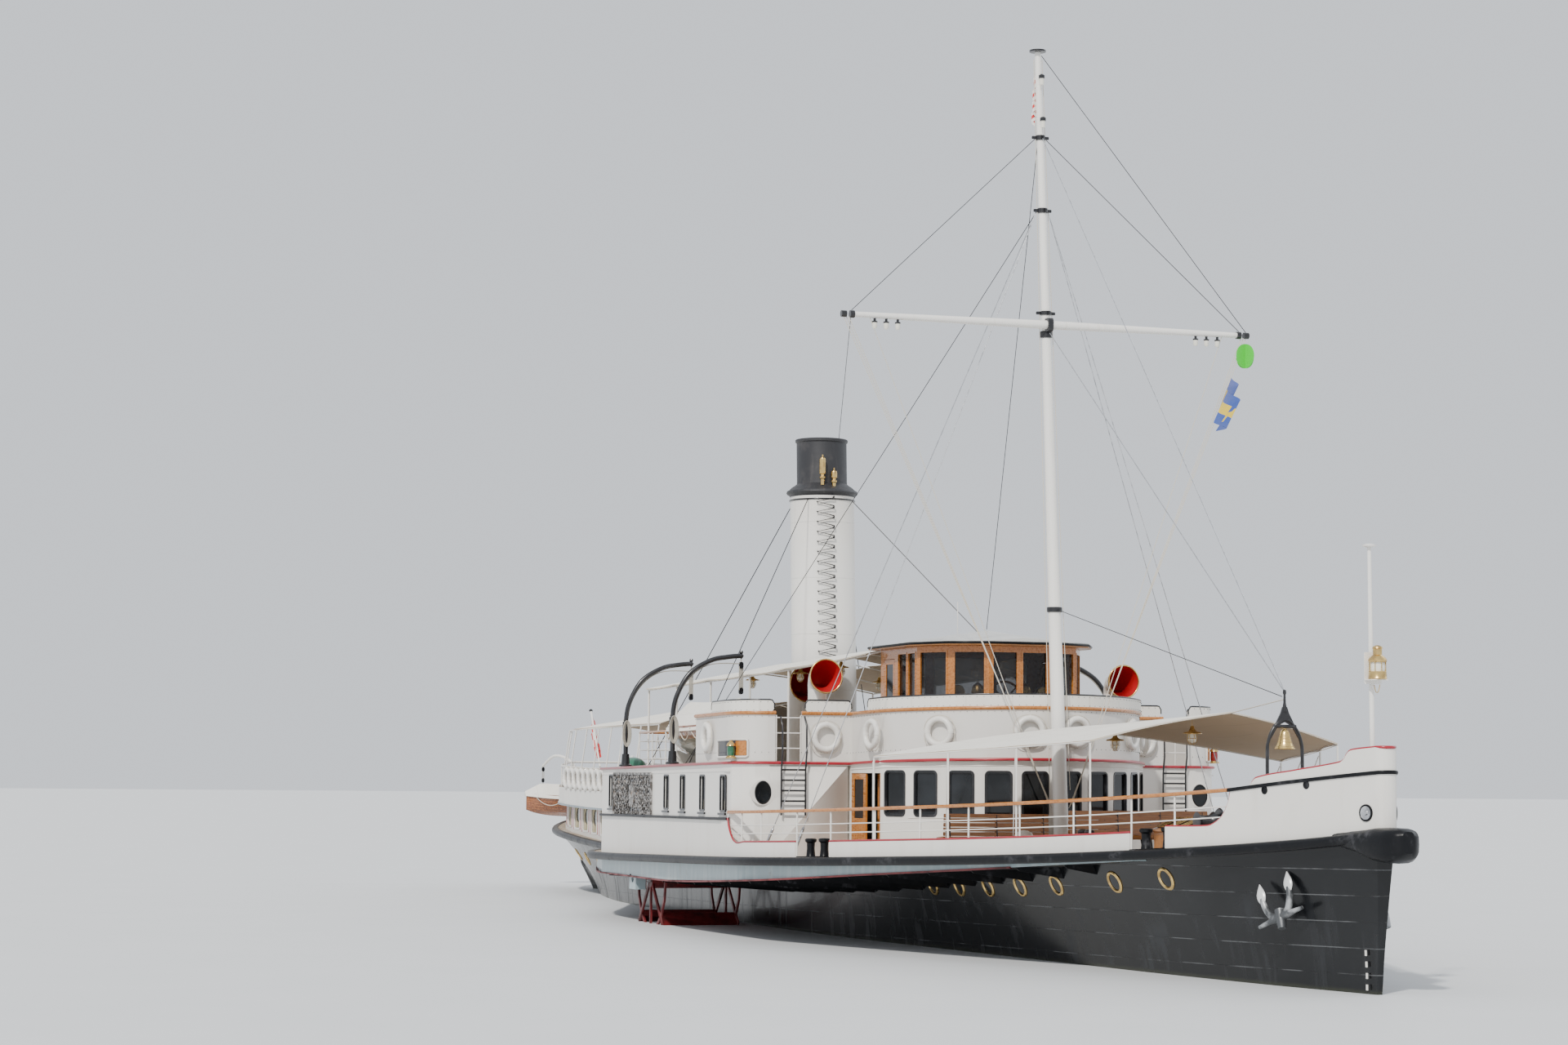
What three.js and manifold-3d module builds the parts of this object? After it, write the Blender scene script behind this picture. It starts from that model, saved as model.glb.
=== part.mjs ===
// Paddle steamer as a 1:2 model: hull, sponsons, deckhouses, wheels, rig and boats.
// Every size and place below is that of the real ship in metres, +X to the bow, +Y to port, and Z from the
// waterline up, with X = 0 amidships. SCALE turns ship metres into millimetres of the 1:2 model.
import * as THREE from 'three';
import { mergeVertices } from 'three/addons/utils/BufferGeometryUtils.js';
import Module from 'manifold-3d';

const wasm = await Module();
wasm.setup();

const SCALE = 500;
const GAP = 0.0006;
const PORT = 1;
const STARBOARD = -1;
const SIDES = [[STARBOARD, 'starboard'], [PORT, 'port']];

// Lines of the ship, one row per station:
// x, deck edge half-breadth, deck edge height, hull top half-breadth, half-breadth at the turn, keel
// height, and the roundness of the bilge (0.5 is boxy, 1 is an ellipse).
const LINES = [
  [-28.4, 0.25, 2.30, 0.22, 0.10, 1.75, 1.0],
  [-28.0, 0.78, 2.27, 0.75, 0.40, 1.35, 1.0],
  [-27.0, 1.38, 2.20, 1.35, 0.80, 0.80, 1.0],
  [-25.6, 1.95, 2.11, 1.92, 1.15, 0.25, 1.0],
  [-25.2, 2.08, 2.09, 2.05, 0.62, -1.30, 1.3],
  [-24.0, 2.38, 2.02, 2.35, 0.90, -1.45, 1.2],
  [-22.0, 2.65, 1.94, 2.60, 1.45, -1.50, 1.0],
  [-18.0, 2.90, 1.80, 2.85, 2.25, -1.50, 0.80],
  [-14.0, 3.15, 1.72, 3.02, 2.78, -1.50, 0.62],
  [-11.5, 3.75, 1.70, 3.06, 2.92, -1.50, 0.55],
  [-8.0, 4.92, 1.70, 3.09, 3.02, -1.50, 0.50],
  [-5.5, 5.80, 1.71, 3.09, 3.05, -1.50, 0.50],
  [-3.4, 6.20, 1.72, 3.09, 3.06, -1.50, 0.50],
  [2.5, 6.27, 1.80, 3.09, 3.05, -1.50, 0.50],
  [8.9, 6.15, 1.90, 3.04, 2.72, -1.50, 0.60],
  [12.0, 5.55, 1.97, 2.94, 2.38, -1.50, 0.68],
  [15.0, 4.74, 2.06, 2.78, 2.06, -1.50, 0.76],
  [18.0, 3.83, 2.16, 2.55, 1.72, -1.50, 0.85],
  [21.0, 2.86, 2.29, 2.22, 1.38, -1.48, 0.95],
  [23.5, 1.98, 2.43, 1.82, 1.00, -1.45, 1.0],
  [25.5, 1.25, 2.57, 1.20, 0.64, -1.40, 1.1],
  [27.2, 0.60, 2.72, 0.56, 0.27, -1.20, 1.2],
  [28.2, 0.22, 2.84, 0.18, 0.06, -0.80, 1.2],
];
const COLUMN = { half: 1, deck: 2, top: 3, turn: 4, keel: 5, round: 6 };
const STEM = 28.2;
const STERN = -28.4;

// Other lines along the ship, as x and height.
const PROMENADE = [[-9.4, 3.93], [-3.4, 3.96], [8.9, 4.09], [13.1, 4.20]];
const AFT_DECK = [[-28.2, 3.34], [-24, 3.16], [-18, 3.06], [-9.4, 3.02]];
const SKIRT = [[-13.2, 1.56], [-8, 1.36], [-3.4, 1.20], [2.5, 1.20], [8.9, 1.38], [15, 1.72], [18, 1.90],
  [22.4, 2.18]];
const BULWARK_TOP = [[23.35, 2.85], [24.4, 2.88], [24.66, 3.0], [24.86, 3.3], [24.95, 3.56], [25.42, 3.64],
  [25.52, 3.76], [27.35, 4.03], [27.5, 4.11], [27.62, 4.27], [28.2, 4.32]];

const DECK_PLATE = 0.07;
const HOUSE_WALL = 0.06;
const DECK_ABOVE = 0.08;

// Paddle wheels and their boxes.
const WHEEL_X = -0.3;
const WHEEL_Z = 1.15;
const WHEEL_RADIUS = 1.75;
const WHEEL_FLOATS = 8;
const WHEEL_INNER = 3.55;
const WHEEL_OUTER = 5.60;
const SHAFT_RADIUS = 0.11;
const SHAFT_FACES = 24;
const WELL = { aft: -2.35, fore: 1.75, inner: 3.47, outer: 5.78 };
const BOX = { aft: -3.4, fore: 8.9, inner: 3.4, outer: 6.1, bulkhead: 2.35 };
const BOX_WINDOWS = [-2.43, 2.98, 4.46, 6.17, 7.88];
const BOX_WINDOW = { half: 0.21, sill: 2.95, head: 3.75 };
const ROUND_WINDOW = { y: 5.45, z: 3.38, radius: 0.27 };
const SPONSON_FORE = 22.4;
const SPONSON_AFT = -13.2;

// Houses on the main deck.
const SALOON = { aft: 2.9, doorFore: 10.65, half: 3.34, doorHalf: 3.2, length: 4.1 };
const CASING = { aft: -9.3, fore: 2.8, half: 3.30 };
const WINDOW_SILL = 2.9;
const WINDOW_HEAD = 3.88;
const FRONT_WINDOWS = 5;
const AFT_SALOON = [[-26.9, 0.85], [-26, 1.45], [-24, 2.10], [-22, 2.37], [-18, 2.62], [-14, 2.87],
  [-9.45, 3.0]];
const AFT_WINDOWS = { first: -10.6, pitch: -1.5, count: 10, width: 0.92, sill: 1.98, head: 2.72 };

// Bridge, funnel and mast.
const WHEELHOUSE = [[7.2, 2.02], [9.7, 2.02], [10.6, 1.55], [11.0, 0.75]];
const WHEELHOUSE_TOP = 6.75;
const FUNNEL = { x: -3.1, radius: 0.875, top: 12.95, collar: 11.5, capRadius: 0.68, rake: 0.056 };
const MAST = { x: 13.5, radius: 0.175, head: 20.4, headRadius: 0.07, rake: 0.082, yard: 13.9, hounds: 18.2,
  shrouds: 16.5 };
const YARD_HALF = 4.9;

// Boats and davits.
const DAVITS = [[-1.85, 'aft'], [2.70, 'fore']];
const DAVIT_FOOT = 5.88;
const DAVIT_REACH = 1.75;
const BOAT = { x: 0.42, y: 4.15, length: 6.3, beam: 1.8, keel: 4.28, gunwale: 5.02, ridge: 5.62 };

// A value read along a table of x and one or more columns, straight between its rows.
function along(table, x, column = 1) {
  const last = table.length - 1;
  if (x <= table[0][0]) return table[0][column];
  for (let i = 0; i < last; i++) {
    const [a, b] = [table[i], table[i + 1]];
    if (x <= b[0]) return a[column] + (b[column] - a[column]) * (x - a[0]) / (b[0] - a[0]);
  }
  return table[last][column];
}

const line = (name) => (x) => along(LINES, x, COLUMN[name]);
const deckHalf = line('half');
const deckTop = line('deck');
const promenade = (x) => along(PROMENADE, x);
const aftDeck = (x) => along(AFT_DECK, x);
const underPromenade = (x) => promenade(x) - DECK_ABOVE - GAP;
const onDeck = (x) => deckTop(x) + GAP;
const underDeck = (x) => deckTop(x) - DECK_PLATE - GAP;
const onPromenade = (x) => promenade(x) + GAP;

// All the stations between two ends at which any of the given tables bends.
function stations(from, to, ...tables) {
  const xs = [from, to];
  for (const table of tables) for (const row of table) if (row[0] > from && row[0] < to) xs.push(row[0]);
  return [...new Set(xs)].sort((a, b) => a - b);
}

// Turns a closed triangle mesh in ship metres into a solid in model millimetres, its faces pointing out.
function solid(geometry) {
  const bare = geometry.clone();
  for (const name of Object.keys(bare.attributes)) if (name !== 'position') bare.deleteAttribute(name);
  bare.scale(SCALE, SCALE, SCALE);
  const merged = mergeVertices(bare, 0.02);
  const position = merged.attributes.position.array;
  const index = [];
  const source = merged.index.array;
  for (let i = 0; i < source.length; i += 3) {
    const [a, b, c] = [source[i], source[i + 1], source[i + 2]];
    if (a !== b && b !== c && c !== a) index.push(a, b, c);
  }
  let volume = 0;
  const corner = (i) => new THREE.Vector3().fromArray(position, index[i] * 3);
  for (let i = 0; i < index.length; i += 3) volume += corner(i).dot(corner(i + 1).cross(corner(i + 2)));
  if (volume < 0) index.reverse();
  return new wasm.Manifold(new wasm.Mesh({
    numProp: 3, vertProperties: Float32Array.from(position), triVerts: Uint32Array.from(index),
  }));
}

// A closed body lofted through loops of [x, y, z] points, all with the same number of points.
function skin(loops) {
  const count = loops[0].length;
  const positions = loops.flat(2);
  const index = [];
  for (let i = 0; i < loops.length - 1; i++) {
    for (let j = 0; j < count; j++) {
      const k = (j + 1) % count;
      const [a, b, c, d] = [i * count + j, i * count + k, (i + 1) * count + k, (i + 1) * count + j];
      index.push(a, b, c, a, c, d);
    }
  }
  const cap = (loop, start, flip) => {
    const middle = positions.length / 3;
    const sum = loop.reduce((t, p) => [t[0] + p[0], t[1] + p[1], t[2] + p[2]], [0, 0, 0]);
    positions.push(sum[0] / count, sum[1] / count, sum[2] / count);
    for (let j = 0; j < count; j++) {
      const k = (j + 1) % count;
      index.push(middle, start + (flip ? k : j), start + (flip ? j : k));
    }
  };
  cap(loops[0], 0, true);
  cap(loops[loops.length - 1], (loops.length - 1) * count, false);
  const geometry = new THREE.BufferGeometry();
  geometry.setAttribute('position', new THREE.Float32BufferAttribute(positions, 3));
  geometry.setIndex(index);
  return solid(geometry);
}

const loft = (xs, section) => skin(xs.map((x) => section(x).map(([y, z]) => [x, y, z])));

// A body between two heights and two breadths along the ship; with inner = null it spans both sides.
function band(xs, half, low, high, inner = null, side = PORT) {
  return loft(xs, (x) => {
    const [a, b] = inner ? [side * inner(x), side * half(x)] : [-half(x), half(x)];
    return [[a, low(x)], [b, low(x)], [b, high(x)], [a, high(x)]];
  });
}

const box = (x0, x1, y0, y1, z0, z1) => solid(
  new THREE.BoxGeometry(Math.abs(x1 - x0), Math.abs(y1 - y0), Math.abs(z1 - z0))
    .translate((x0 + x1) / 2, (y0 + y1) / 2, (z0 + z1) / 2));

// A straight round or polygonal bar between two points, with its own radius at each end.
function bar(from, to, radius, endRadius = radius, faces = 4) {
  const [p, q] = [new THREE.Vector3(...from), new THREE.Vector3(...to)];
  const length = p.distanceTo(q);
  const geometry = new THREE.CylinderGeometry(endRadius, radius, length, faces);
  const turn = new THREE.Quaternion().setFromUnitVectors(new THREE.Vector3(0, 1, 0),
    q.clone().sub(p).normalize());
  geometry.applyQuaternion(turn).translate(...p.clone().add(q).multiplyScalar(0.5));
  return solid(geometry);
}

// A tube of round section along a smooth curve through the points.
function tube(points, radius, steps = 10, faces = 6) {
  const outline = new THREE.Shape(Array.from({ length: faces }, (_, i) => new THREE.Vector2(
    radius * Math.cos(i / faces * Math.PI * 2), radius * Math.sin(i / faces * Math.PI * 2))));
  const curve = new THREE.CatmullRomCurve3(points.map((p) => new THREE.Vector3(...p)));
  return solid(new THREE.ExtrudeGeometry(outline, {
    steps, bevelEnabled: false, extrudePath: curve,
  }));
}

// A turned body about the Z axis from a closed profile of [radius, height] points.
function turned(profile, faces = 24) {
  const closed = profile[0][0] > 0 ? [...profile, profile[0]] : profile;
  const points = closed.map(([r, z]) => new THREE.Vector2(r, z));
  return solid(new THREE.LatheGeometry(points, faces).rotateX(Math.PI / 2));
}

// A rail that follows a line of points in plan, mitred at each corner, its section upright.
function rail(points, radius, faces = 4) {
  return skin(points.map(([x, y, z], i) => {
    const before = points[Math.max(0, i - 1)];
    const after = points[Math.min(points.length - 1, i + 1)];
    const unit = (a, b) => new THREE.Vector2(b[0] - a[0], b[1] - a[1]).normalize();
    const arriving = i ? unit(before, points[i]) : unit(points[i], after);
    const leaving = i < points.length - 1 ? unit(points[i], after) : arriving;
    const ahead = arriving.clone().add(leaving).normalize();
    const mitre = 1 / Math.max(0.4, ahead.dot(leaving));
    return Array.from({ length: faces }, (_, j) => {
      const a = (j + 0.5) / faces * Math.PI * 2;
      const out = radius * Math.cos(a) * mitre;
      return [x - ahead.y * out, y + ahead.x * out, z + radius * Math.sin(a)];
    });
  }));
}

// The points of one side's line carried round onto the other side, starboard first.
const roundShip = (points) => [...points.map(([x, y, z]) => [x, -y, z]), ...points.toReversed()];

const join = (parts) => parts.reduce((a, b) => a.add(b));
const without = (body, cutters) => cutters.reduce((a, b) => a.subtract(b), body);

// The same solid moved and turned, given a matrix in ship metres.
function moved(body, matrix) {
  const mesh = body.getMesh();
  const geometry = new THREE.BufferGeometry();
  const points = Float32Array.from(mesh.vertProperties).map((v) => v / SCALE);
  geometry.setAttribute('position', new THREE.BufferAttribute(points, 3));
  geometry.setIndex(Array.from(mesh.triVerts));
  return solid(geometry.applyMatrix4(matrix));
}

// Finishes, as colour, roughness and metalness.
const FINISH = {
  black: [0x15171a, 0.35, 0.0],
  white: [0xe9e4da, 0.45, 0.0],
  greyWhite: [0xcfc9bd, 0.6, 0.0],
  skirt: [0x8fa3a6, 0.5, 0.0],
  red: [0x7c1418, 0.55, 0.0],
  teak: [0x8a5a2c, 0.6, 0.0],
  varnish: [0xb4641c, 0.3, 0.0],
  canvas: [0xefe9dc, 0.9, 0.0],
  iron: [0x24262a, 0.5, 0.4],
  steel: [0x9a9da0, 0.4, 0.8],
  brass: [0xb98a35, 0.3, 0.9],
};

const ship = new THREE.Group();
ship.name = 'paddle_steamer';

// Hangs a named piece on its group; at is its place and turn its rotation about Z, X and Y in radians.
function piece(group, name, body, finish, at = [0, 0, 0], turn = [0, 0, 0]) {
  const mesh = body.asOriginal().simplify(0.15).getMesh();
  const geometry = new THREE.BufferGeometry();
  geometry.setAttribute('position', new THREE.BufferAttribute(Float32Array.from(mesh.vertProperties), 3));
  geometry.setIndex(Array.from(mesh.triVerts));
  const [color, roughness, metalness] = FINISH[finish];
  const node = new THREE.Mesh(geometry, new THREE.MeshStandardMaterial({ color, roughness, metalness }));
  node.name = name;
  node.position.set(...at.map((v) => v * SCALE));
  node.rotation.set(...turn);
  group.add(node);
  return node;
}

const group = (name) => {
  const part = new THREE.Group();
  part.name = name;
  ship.add(part);
  return part;
};

// Hull: the sides run from the deck to the turn of the bilge, and the bottom rounds in to the keel.
const hullGroup = group('hull_group');
const HULL_RISE = 4;
const HULL_ROUND = 4;
const STEM_RAKE = 0.10;

function hullSection(x, grow) {
  const [top, turn, keel, round] = ['top', 'turn', 'keel', 'round'].map((name) => line(name)(x));
  const high = underDeck(x);
  const turnHeight = Math.max(0, keel + 0.35 * (high - keel));
  const side = [];
  for (let i = 0; i < HULL_RISE; i++) {
    const u = 1 - i / HULL_RISE;
    side.push([turn + (top - turn) * u ** 1.3 + grow, turnHeight + (high - turnHeight) * u]);
  }
  for (let i = 0; i < HULL_ROUND; i++) {
    const a = (i / HULL_ROUND) * Math.PI / 2;
    side.push([turn * Math.cos(a) ** round + grow,
      turnHeight + (keel - turnHeight) * Math.sin(a) ** round]);
  }
  if (grow) side.unshift([top + grow, high + 0.2]);
  return [...side, [0, keel - grow], ...side.map(([y, z]) => [-y, z]).reverse()];
}

function hullBody(grow) {
  const xs = stations(STERN, STEM, LINES);
  return skin(xs.map((x) => {
    const forward = Math.max(0, (x - 23.5) / (STEM - 23.5)) ** 2;
    const high = underDeck(x);
    return hullSection(x, grow).map(([y, z]) => [x - STEM_RAKE * (high - z) * forward, y, z]);
  }));
}

const boreFor = (radius, faces) => (radius + GAP) / Math.cos(Math.PI / faces);
const shaftHole = boreFor(SHAFT_RADIUS, SHAFT_FACES);
const shaftBore = bar([WHEEL_X, -7, WHEEL_Z], [WHEEL_X, 7, WHEEL_Z], shaftHole, shaftHole, SHAFT_FACES);
const ENGINE_WELL = { aft: -8.3, fore: 2.6, half: 1.7, floor: -1.0 };
const RUDDER_X = -26.05;
const RUDDER_TOP = 0.86;
const STOCK = { radius: 0.075, faces: 24 };
const stockHole = boreFor(STOCK.radius, STOCK.faces);
const engineWell = box(ENGINE_WELL.aft, ENGINE_WELL.fore, -ENGINE_WELL.half, ENGINE_WELL.half,
  ENGINE_WELL.floor, 3);
const rudderBore = bar([RUDDER_X, 0, -1], [RUDDER_X, 0, RUDDER_TOP + 0.01], stockHole, stockHole,
  STOCK.faces);
const plating = without(hullBody(0), [engineWell, shaftBore, rudderBore]);
piece(hullGroup, 'hull', plating, 'black');

// Engine and boiler stand in the well amidships as plain blocks of their real size.
const ENGINE = { aft: -2.4, fore: 2.4, half: 1.15, foot: ENGINE_WELL.floor + GAP, top: 1.9 };
const BOILER = { aft: -7.9, fore: -3.0, radius: 1.3, foot: ENGINE_WELL.floor + GAP };
piece(hullGroup, 'engine_block', without(
  box(ENGINE.aft, ENGINE.fore, -ENGINE.half, ENGINE.half, ENGINE.foot, ENGINE.top), [shaftBore]), 'iron');
piece(hullGroup, 'boiler_block', join([
  bar([BOILER.aft, 0, BOILER.foot + BOILER.radius], [BOILER.fore, 0, BOILER.foot + BOILER.radius],
    BOILER.radius, BOILER.radius, 20),
  box(BOILER.aft + 0.4, BOILER.fore - 0.4, -0.9, 0.9, BOILER.foot, BOILER.foot + 0.9),
]), 'iron');

// Main deck, over the hull and out over the sponsons, with a well for each wheel.
const deckStations = stations(STERN, STEM, LINES);
const wellBox = (side) => box(WELL.aft, WELL.fore, side * WELL.inner, side * WELL.outer, -1, 3);
const wheelWells = SIDES.map(([side]) => wellBox(side));
piece(hullGroup, 'main_deck', without(
  band(deckStations, deckHalf, (x) => deckTop(x) - DECK_PLATE, deckTop),
  [...wheelWells, engineWell]), 'teak');

// Rubbing strake round the whole deck edge, with the stem fender and the mooring bollards at the edge.
const STRAKE_WIDTH = 0.17;
const STRAKE_LOW = 0.17;
const STRAKE_HIGH = 0.02;
const BOLLARD_PAIRS = [11.95, 22.55];
const BOLLARD_PITCH = 0.55;
const BOLLARD = { radius: 0.09, cap: 0.13, neck: 0.36, top: 0.42, inset: 0.28 };
// The fender round the stem, as x, half-breadth, foot and crown.
const BOW_FENDER = [[27.55, 0.30, 2.52, 2.85], [28.3, 0.42, 2.30, 2.92], [28.75, 0.36, 2.34, 2.92],
  [29.0, 0.16, 2.5, 2.86]];
const slope = (x) => (deckHalf(x + 0.4) - deckHalf(x - 0.4)) / 0.8;
const strakeHalf = (x) => deckHalf(x) + STRAKE_WIDTH * Math.min(1.6, Math.hypot(1, slope(x)));

function strakeBody() {
  const low = (x) => deckTop(x) - STRAKE_LOW;
  const high = (x) => deckTop(x) + STRAKE_HIGH;
  const inner = [STERN - GAP, ...deckStations.slice(1, -1), STEM + GAP];
  const outer = [STERN - STRAKE_WIDTH, ...deckStations, STEM + 0.25];
  const body = band(outer, strakeHalf, low, high).subtract(
    band(inner, (x) => deckHalf(x) + GAP, (x) => low(x) - 1, (x) => high(x) + 1));
  const fender = skin(BOW_FENDER.map(([x, half, foot, crown]) => [
    [x, -half * 0.6, foot], [x, half * 0.6, foot], [x, half, crown - 0.12],
    [x, half * 0.7, crown], [x, -half * 0.7, crown], [x, -half, crown - 0.12]]));
  const bow = hullBody(GAP).add(band(stations(26, STEM + GAP, LINES), (x) => deckHalf(x) + GAP, () => 2,
    () => 4));
  return body.add(fender.subtract(bow));
}

function bollardPair(x, side) {
  const foot = (at) => deckTop(at) + GAP;
  const bollards = [x, x + BOLLARD_PITCH].map((at) => {
    const post = (up) => [at, side * (deckHalf(at) - BOLLARD.inset), foot(at) + up];
    return join([bar(post(0.02), post(BOLLARD.neck), BOLLARD.radius, BOLLARD.radius, 6),
      bar(post(BOLLARD.neck), post(BOLLARD.top), BOLLARD.cap, BOLLARD.cap - 0.01, 6)]);
  });
  const middle = x + BOLLARD_PITCH / 2;
  const plate = skin([x - 0.14, x + BOLLARD_PITCH + 0.14].map((at) => {
    const [inner, outer] = [side * (deckHalf(at) - 0.42), side * (deckHalf(at) + 0.06)];
    const [low, high] = [foot(at) + 0.004, foot(at) + 0.05];
    return [[at, inner, low], [at, outer, low], [at, outer, high], [at, inner, high]];
  }));
  const lip = box(middle - 0.3, middle + 0.3, side * (deckHalf(middle) + 0.03),
    side * (deckHalf(middle) + 0.12), deckTop(middle) - 0.06, foot(middle) + 0.045);
  return join([plate, lip.subtract(band(stations(9, 24, LINES), (at) => deckHalf(at) + GAP, () => 0,
    (at) => deckTop(at) + GAP)), ...bollards]);
}

piece(hullGroup, 'rubbing_strake', join([strakeBody(),
  ...SIDES.flatMap(([side]) => BOLLARD_PAIRS.map((x) => bollardPair(x, side)))]), 'black');

// Sponsons: the overhanging side decks that carry the paddle boxes, each with its outer shaft bearing.
const sponsonHalf = (x) => deckHalf(x) - 0.12;
const BEARING = { half: 0.32, depth: 0.28, drop: 0.28, top: 1.55 };
const sponsonStations = stations(SPONSON_AFT, SPONSON_FORE, LINES, SKIRT);
for (const [side, name] of SIDES) {
  const shelf = band(sponsonStations, sponsonHalf, (x) => along(SKIRT, x),
    underDeck, () => 1.5, side);
  const bearing = box(WHEEL_X - BEARING.half, WHEEL_X + BEARING.half, side * WELL.outer,
    side * (WELL.outer + BEARING.depth), WHEEL_Z - BEARING.drop, BEARING.top);
  piece(hullGroup, `sponson_${name}`, without(shelf.subtract(wellBox(side)).add(bearing),
    [hullBody(1.5 * GAP), shaftBore]), 'skirt');
}

// Bow bulwark: plates on both sides that meet at the stem, swept down in a curve at their aft ends.
const bulwarkStations = stations(23.4, 28.19, LINES, BULWARK_TOP);
const bulwarkTop = (x) => along(BULWARK_TOP, x);
piece(hullGroup, 'bow_bulwark', band(bulwarkStations, (x) => deckHalf(x) - 0.015, onDeck, bulwarkTop)
  .subtract(band(stations(23.0, 28.08, LINES), (x) => Math.max(0.02, deckHalf(x) - 0.075), () => 2,
    () => 5)), 'white');

// Rails along the foredeck edge: low strips, stanchions, two rods, a wooden handrail and awning posts.
const RAIL_HEIGHT = 1.03;
const RAIL_ROD = 0.70;
const STRIP_HEIGHT = 0.38;
const STRIPS = [[9.0, 11.7], [13.05, 22.4]];
const RAIL_POSTS = [9.05, 11.68, 13.07, 15.9, 18.2, 22.37, 23.3];
const AWNING_POSTS = [[14.6, 4.14], [17.1, 4.24], [19.2, 4.33], [21.3, 4.43]];
const railHalf = (x) => deckHalf(x) - 0.10;
const RAIL_STATIONS = stations(9.0, 23.32, LINES);

for (const [side, name] of SIDES) {
  const at = (x, up) => [x, side * railHalf(x), deckTop(x) + up];
  const run = (up, radius, faces) => rail(RAIL_STATIONS.map((x) => at(x, up)), radius, faces);
  const strips = STRIPS.map(([from, to]) => band(stations(from, to, LINES), (x) => railHalf(x) + 0.025,
    onDeck, (x) => deckTop(x) + STRIP_HEIGHT, (x) => railHalf(x) - 0.02, side));
  const foot = (x) => (STRIPS.some(([from, to]) => x > from && x < to) ? STRIP_HEIGHT - 0.03 : GAP + 0.004);
  const posts = RAIL_POSTS.map((x) => bar(at(x, foot(x)), at(x, RAIL_HEIGHT), 0.022));
  const tall = AWNING_POSTS.map(([x, top]) => bar(at(x, foot(x)), [x, side * railHalf(x), top], 0.03));
  const edge = AWNING_POSTS.slice(1).map(([x, top], i) => bar(
    [AWNING_POSTS[i][0] - 0.02, side * railHalf(AWNING_POSTS[i][0]), AWNING_POSTS[i][1]],
    [x + 0.02, side * railHalf(x), top], 0.02));
  piece(hullGroup, `foredeck_rail_${name}`, join([run(RAIL_HEIGHT, 0.038, 4),
    run(RAIL_ROD, 0.014, 4), ...strips, ...posts, ...tall, ...edge]), 'white');
}

// Paddle boxes: plated side houses with a compartment for the wheel, rounded at the fore corner.
const BOX_CORNER = [[BOX.aft, 6.1], [7.9, 6.1], [8.35, 6.03], [8.65, 5.86], [8.82, 5.62], [BOX.fore, 5.3]];
const boxHalf = (x) => along(BOX_CORNER, x);
const houses = group('houses');
for (const [side, name] of SIDES) {
  const xs = stations(BOX.aft, BOX.fore, LINES, PROMENADE, BOX_CORNER);
  const shell = band(xs, boxHalf, onDeck, underPromenade, () => BOX.inner, side);
  const room = (from, to) => band(stations(from, to, BOX_CORNER), (x) => boxHalf(x) - HOUSE_WALL, () => 1,
    () => 5, () => BOX.inner + HOUSE_WALL, side);
  const windows = BOX_WINDOWS.map((x) => box(x - BOX_WINDOW.half, x + BOX_WINDOW.half, side * 5.9,
    side * 6.3, BOX_WINDOW.sill, BOX_WINDOW.head));
  const roundWindow = bar([8.6, side * ROUND_WINDOW.y, ROUND_WINDOW.z],
    [9.2, side * ROUND_WINDOW.y, ROUND_WINDOW.z], ROUND_WINDOW.radius, ROUND_WINDOW.radius, 16);
  piece(houses, `paddle_box_${name}`, without(shell, [
    room(BOX.aft + HOUSE_WALL, BOX.bulkhead), room(BOX.bulkhead + HOUSE_WALL, 8.72), ...windows, roundWindow,
    box(8.5, 8.95 - 2 * HOUSE_WALL, side * 3.6, side * 5.2, 1, 5)]), 'white');
}

// Fore saloon: a house with a rounded front of flat panes, and a double door on each side.
const frontAngle = (i) => (i / FRONT_WINDOWS) * 1.17;
const saloonLine = [[SALOON.aft, SALOON.half], [BOX.fore, SALOON.half], [SALOON.doorFore, SALOON.doorHalf]];
for (let i = FRONT_WINDOWS - 1; i >= 0; i--) {
  saloonLine.push([BOX.fore + SALOON.length * Math.cos(frontAngle(i)),
    Math.max(0.01, SALOON.doorHalf * Math.sin(frontAngle(i)) / Math.sin(1.17))]);
}
const saloonHalf = (x) => along(saloonLine, x);

// A house wall that follows an outline given as rows of x and half-breadth.
function houseWalls(outline, thickness, low, high, ...tables) {
  const from = outline[0][0];
  const to = outline[outline.length - 1][0];
  const inset = outline.map(([x, y], i) => {
    const a = outline[Math.max(0, i - 1)];
    const b = outline[Math.min(outline.length - 1, i + 1)];
    const [dx, dy] = [b[0] - a[0], b[1] - a[1]];
    const length = Math.hypot(dx, dy);
    return [x + thickness * dy / length, Math.max(0.005, y - thickness * dx / length)];
  });
  inset[0] = [from + thickness, inset[0][1]];
  const last = inset.length - 1;
  inset[last] = [to - thickness, Math.max(0.005, inset[last][1])];
  const outer = band(stations(from, to, outline, ...tables), (x) => along(outline, x), low, high);
  const inner = band(stations(inset[0][0], inset[last][0], inset), (x) => along(inset, x), () => 0, () => 9);
  return outer.subtract(inner);
}

// A box cut square through the pane of an outline between two of its corners, on both sides of the ship.
function paneCuts(from, to, width, low, high, depth = 0.25) {
  const middle = [(from[0] + to[0]) / 2, (from[1] + to[1]) / 2];
  const angle = Math.atan2(to[1] - from[1], to[0] - from[0]);
  return SIDES.map(([side]) => solid(new THREE.BoxGeometry(width, depth, high - low)
    .rotateZ(side * angle).translate(middle[0], side * middle[1], (low + high) / 2)));
}

const DOOR = { width: 0.80, thickness: 0.045, head: 3.84, gap: 0.012 };
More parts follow.
